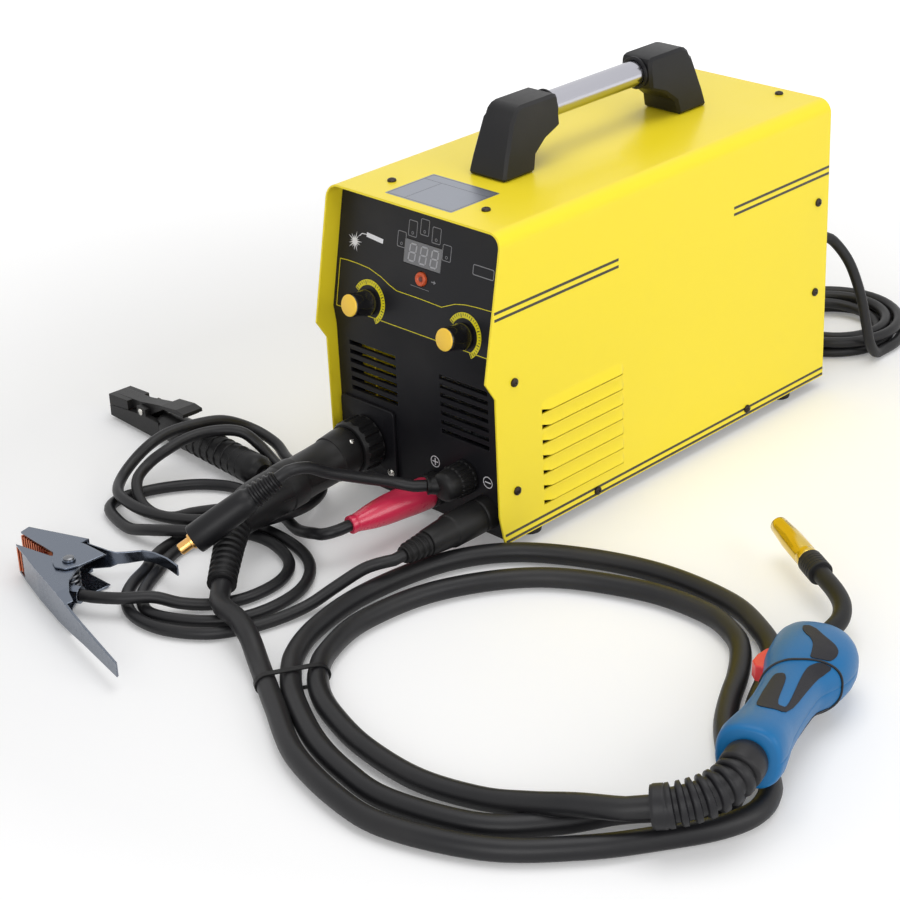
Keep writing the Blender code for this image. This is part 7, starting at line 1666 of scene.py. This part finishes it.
WINDING = SPOOL_WIDTH - 2 * WINDING_START
WINDING_CORE = 0.0565
WIRE_TURNS = 57
profile = [(WINDING_START, WINDING_CORE)]
for k in range(WIRE_TURNS):
    profile += [(WINDING_START + WINDING * k / WIRE_TURNS + share * (WINDING / WIRE_TURNS), radius)
                for share, radius in ((0.02, 0.0815), (0.3, 0.08185), (0.7, 0.08185), (0.98, 0.0815))]
profile.append((SPOOL_WIDTH - WINDING_START, WINDING_CORE))
turned(bm, profile, SPOOL, (-1, 0, 0), 96)
piece("wound_wire", bm, wound_wire, "wire_spool", "brass", smooth=60.0)
SPOOL_RIBS = 6
bm = bmesh.new()
for turn in (2 * math.pi * k / SPOOL_RIBS for k in range(SPOOL_RIBS)):
    across, over = Vector((0, math.cos(turn), math.sin(turn))), Vector((0, -math.sin(turn), math.cos(turn)))
    slab(bm, [(0.0298, -0.0012), (0.0545, -0.0012), (0.0545, 0.0012), (0.0298, 0.0012)],
         lambda u, v, lift: SPOOL + across * u + over * v - Vector((lift, 0, 0)), SPOOL_WIDTH - 0.0185,
         SPOOL_WIDTH - 0.0040)
piece("spool_web_ribs", bm, spool_black, "wire_spool", "black_plastic")


# --- Wire feeder -----------------------------------------------------------------------------------
# A zinc-plated plate on legs carries the guides, the grooved drive roll on its geared motor, and the
# sprung arm with the pressure roll.
roll_steel = finish_of("roll_steel", srgb(170, 172, 176), 0.26, metallic=1.0, grain=60.0, depth=0.00002,
                       stretch=(20.0, 1.0, 1.0))
motor_grey = finish_of("motor_grey", srgb(118, 120, 124), 0.34, metallic=0.85, grain=300.0, depth=0.00003)
refined("feeder_plate", zinc, "zinc_steel", ease=0.0004)
refined("pressure_arm", zinc, "zinc_steel", ease=0.0005)
refined("feeder_motor", motor_grey, "motor", ease=0.0006)
for name, z, radius, bore in (("drive_roll", 0.0335, 0.015, 0.0043), ("pressure_roll", 0.0615, 0.012, 0.0033)):
    bm = bmesh.new()
    turned(bm, [(0, bore), (0, radius * 0.55), (0.0004, radius * 0.57), (0.0004, radius - 0.0012),
                (0, radius - 0.0008), (0.0006, radius), (0.0044, radius), (0.0050, radius - 0.0006),
                (0.0056, radius), (0.0094, radius), (0.0100, radius - 0.0008), (0.0096, radius - 0.0012),
                (0.0096, radius * 0.57), (0.0100, radius * 0.55), (0.0100, bore)], (-0.061, 0.075, z), (1, 0, 0),
           64)
    piece(f"{name}_grooved", bm, roll_steel, name, "steel", name)
bm = bmesh.new()
turned(bm, [(0, 0.0005), (0, 0.0036), (0.0008, 0.0040), (0.0030, 0.0040), (0.0034, 0.0034), (0.0034, 0.0005)],
       (-0.0505, 0.100, 0.080), (-1, 0, 0), 24)
piece("arm_pivot_cap", bm, spring_steel, "machine", "steel")
welding_wire = cable("welding_wire", [Vector((-0.056, y, 0.049)) for y in (-0.0150, 0.030, 0.060, 0.090, 0.113)]
                     + [Vector((-0.0540, 0.1290, 0.0500)), Vector((-0.0480, 0.1800, 0.0500)),
                        Vector((-0.0460, 0.2150, 0.0545)), Vector((-0.0460, 0.2390, 0.0486))], 0.0005)
welding_wire.data.materials.append(wound_wire)
seated(welding_wire, "machine", "brass")


# --- Electronics -----------------------------------------------------------------------------------
# A green board with its parts stands on the divider's shelf; below it are the finned heat sink and
# the transformer with its taped windings.
board_green = finish_of("board_green", srgb(24, 92, 46), 0.38, grain=700.0, depth=0.00004, dust=0.05)
can_blue = finish_of("can_blue", srgb(26, 34, 84), 0.34, grain=900.0, depth=0.00002)
fin_metal = finish_of("fin_metal", srgb(176, 178, 182), 0.40, metallic=1.0, grain=120.0, depth=0.00003,
                      stretch=(1.0, 0.1, 12.0), dust=0.04)
core_iron = finish_of("core_iron", srgb(84, 80, 76), 0.5, metallic=0.6, grain=160.0, depth=0.00006,
                      stretch=(14.0, 1.0, 1.0))
tape_amber = finish_of("tape_amber", srgb(206, 148, 40), 0.34, grain=400.0, depth=0.00006)
divider_zinc = finish_of("divider_zinc", srgb(176, 180, 184), 0.36, metallic=0.9, grain=260.0, depth=0.00005,
                         spread=0.14, dust=0.05)
refined("divider", divider_zinc, "zinc_steel", ease=0.0003)
refined("heat_sink", fin_metal, "aluminium", ease=0.0003)
refined("transformer", core_iron, "iron", ease=0.0005)
refined("main_board", board_green, "board")
BOARD_TOP = 0.1721
bm = bmesh.new()
turned(bm, [(0.0003, 0), (0.0003, 0.0144), (0.0010, 0.0150), (0.0030, 0.0150), (0.0036, 0.0144), (0.0044, 0.0150),
            (0.0440, 0.0150), (0.0447, 0.0146), (0.0450, 0.0138), (0.0450, 0.0130), (0.0446, 0.0126), (0.0446, 0)],
       (0.030, 0.150, BOARD_TOP), (0, 0, 1), 48)
piece("capacitor_can", bm, can_blue, "machine", "can", "capacitor")
bm = bmesh.new()
block(bm, (0.0495, 0.0655, 0.0190), (0.0745, 0.1185, 0.0705))
piece("transformer_tape", bm, tape_amber, "machine", "orange_plastic")
bm = bmesh.new()
for x, y, wide, deep, tall in ((0.052, 0.100, 0.012, 0.016, 0.010), (0.060, 0.140, 0.014, 0.008, 0.016),
                               (0.012, 0.200, 0.010, 0.030, 0.014), (0.050, 0.200, 0.022, 0.022, 0.018),
                               (0.040, 0.250, 0.016, 0.016, 0.011), (0.014, 0.270, 0.016, 0.018, 0.009),
                               (0.060, 0.280, 0.010, 0.026, 0.013), (0.026, 0.092, 0.014, 0.010, 0.007)):
    block(bm, (x - wide / 2, y - deep / 2, BOARD_TOP - 0.0002), (x + wide / 2, y + deep / 2, BOARD_TOP + tall))
piece("board_parts", bm, soft_black, "machine", "black_plastic")
bm = bmesh.new()
for k in range(10):
    x, y = 0.010 + 0.012 * (k % 5), 0.228 + 0.012 * (k // 5)
    turned(bm, [(-0.0002, 0), (-0.0002, 0.0026), (0.0060, 0.0026), (0.0064, 0.0022), (0.0064, 0)],
           (x, y, BOARD_TOP), (0, 0, 1), 20)
piece("board_small_cans", bm, can_blue, "machine", "can")


# --- Door hinge and latch --------------------------------------------------------------------------
# The wire door swings on a pin hinge at the rear and is held by a black quarter-turn latch with a
# raised grip.
refined("door_hinge", zinc, "zinc_steel", smooth=40.0, ease=0.0003)
refined("door_latch", moulded_black, "black_plastic", smooth=40.0, ease=0.0005)
bm = bmesh.new()
block(bm, (-0.0957, 0.0466, 0.1240), (-0.0952, 0.0494, 0.1360))
piece("latch_grip", bm, moulded_black, "door_latch", "black_plastic")
screws("hinge_screws", [((-0.0906, y, z), LEFT) for y, z in ((0.358, 0.090), (0.358, 0.170))], plain_head, 0.0022,
       9, screw_bright, "zinc_steel")
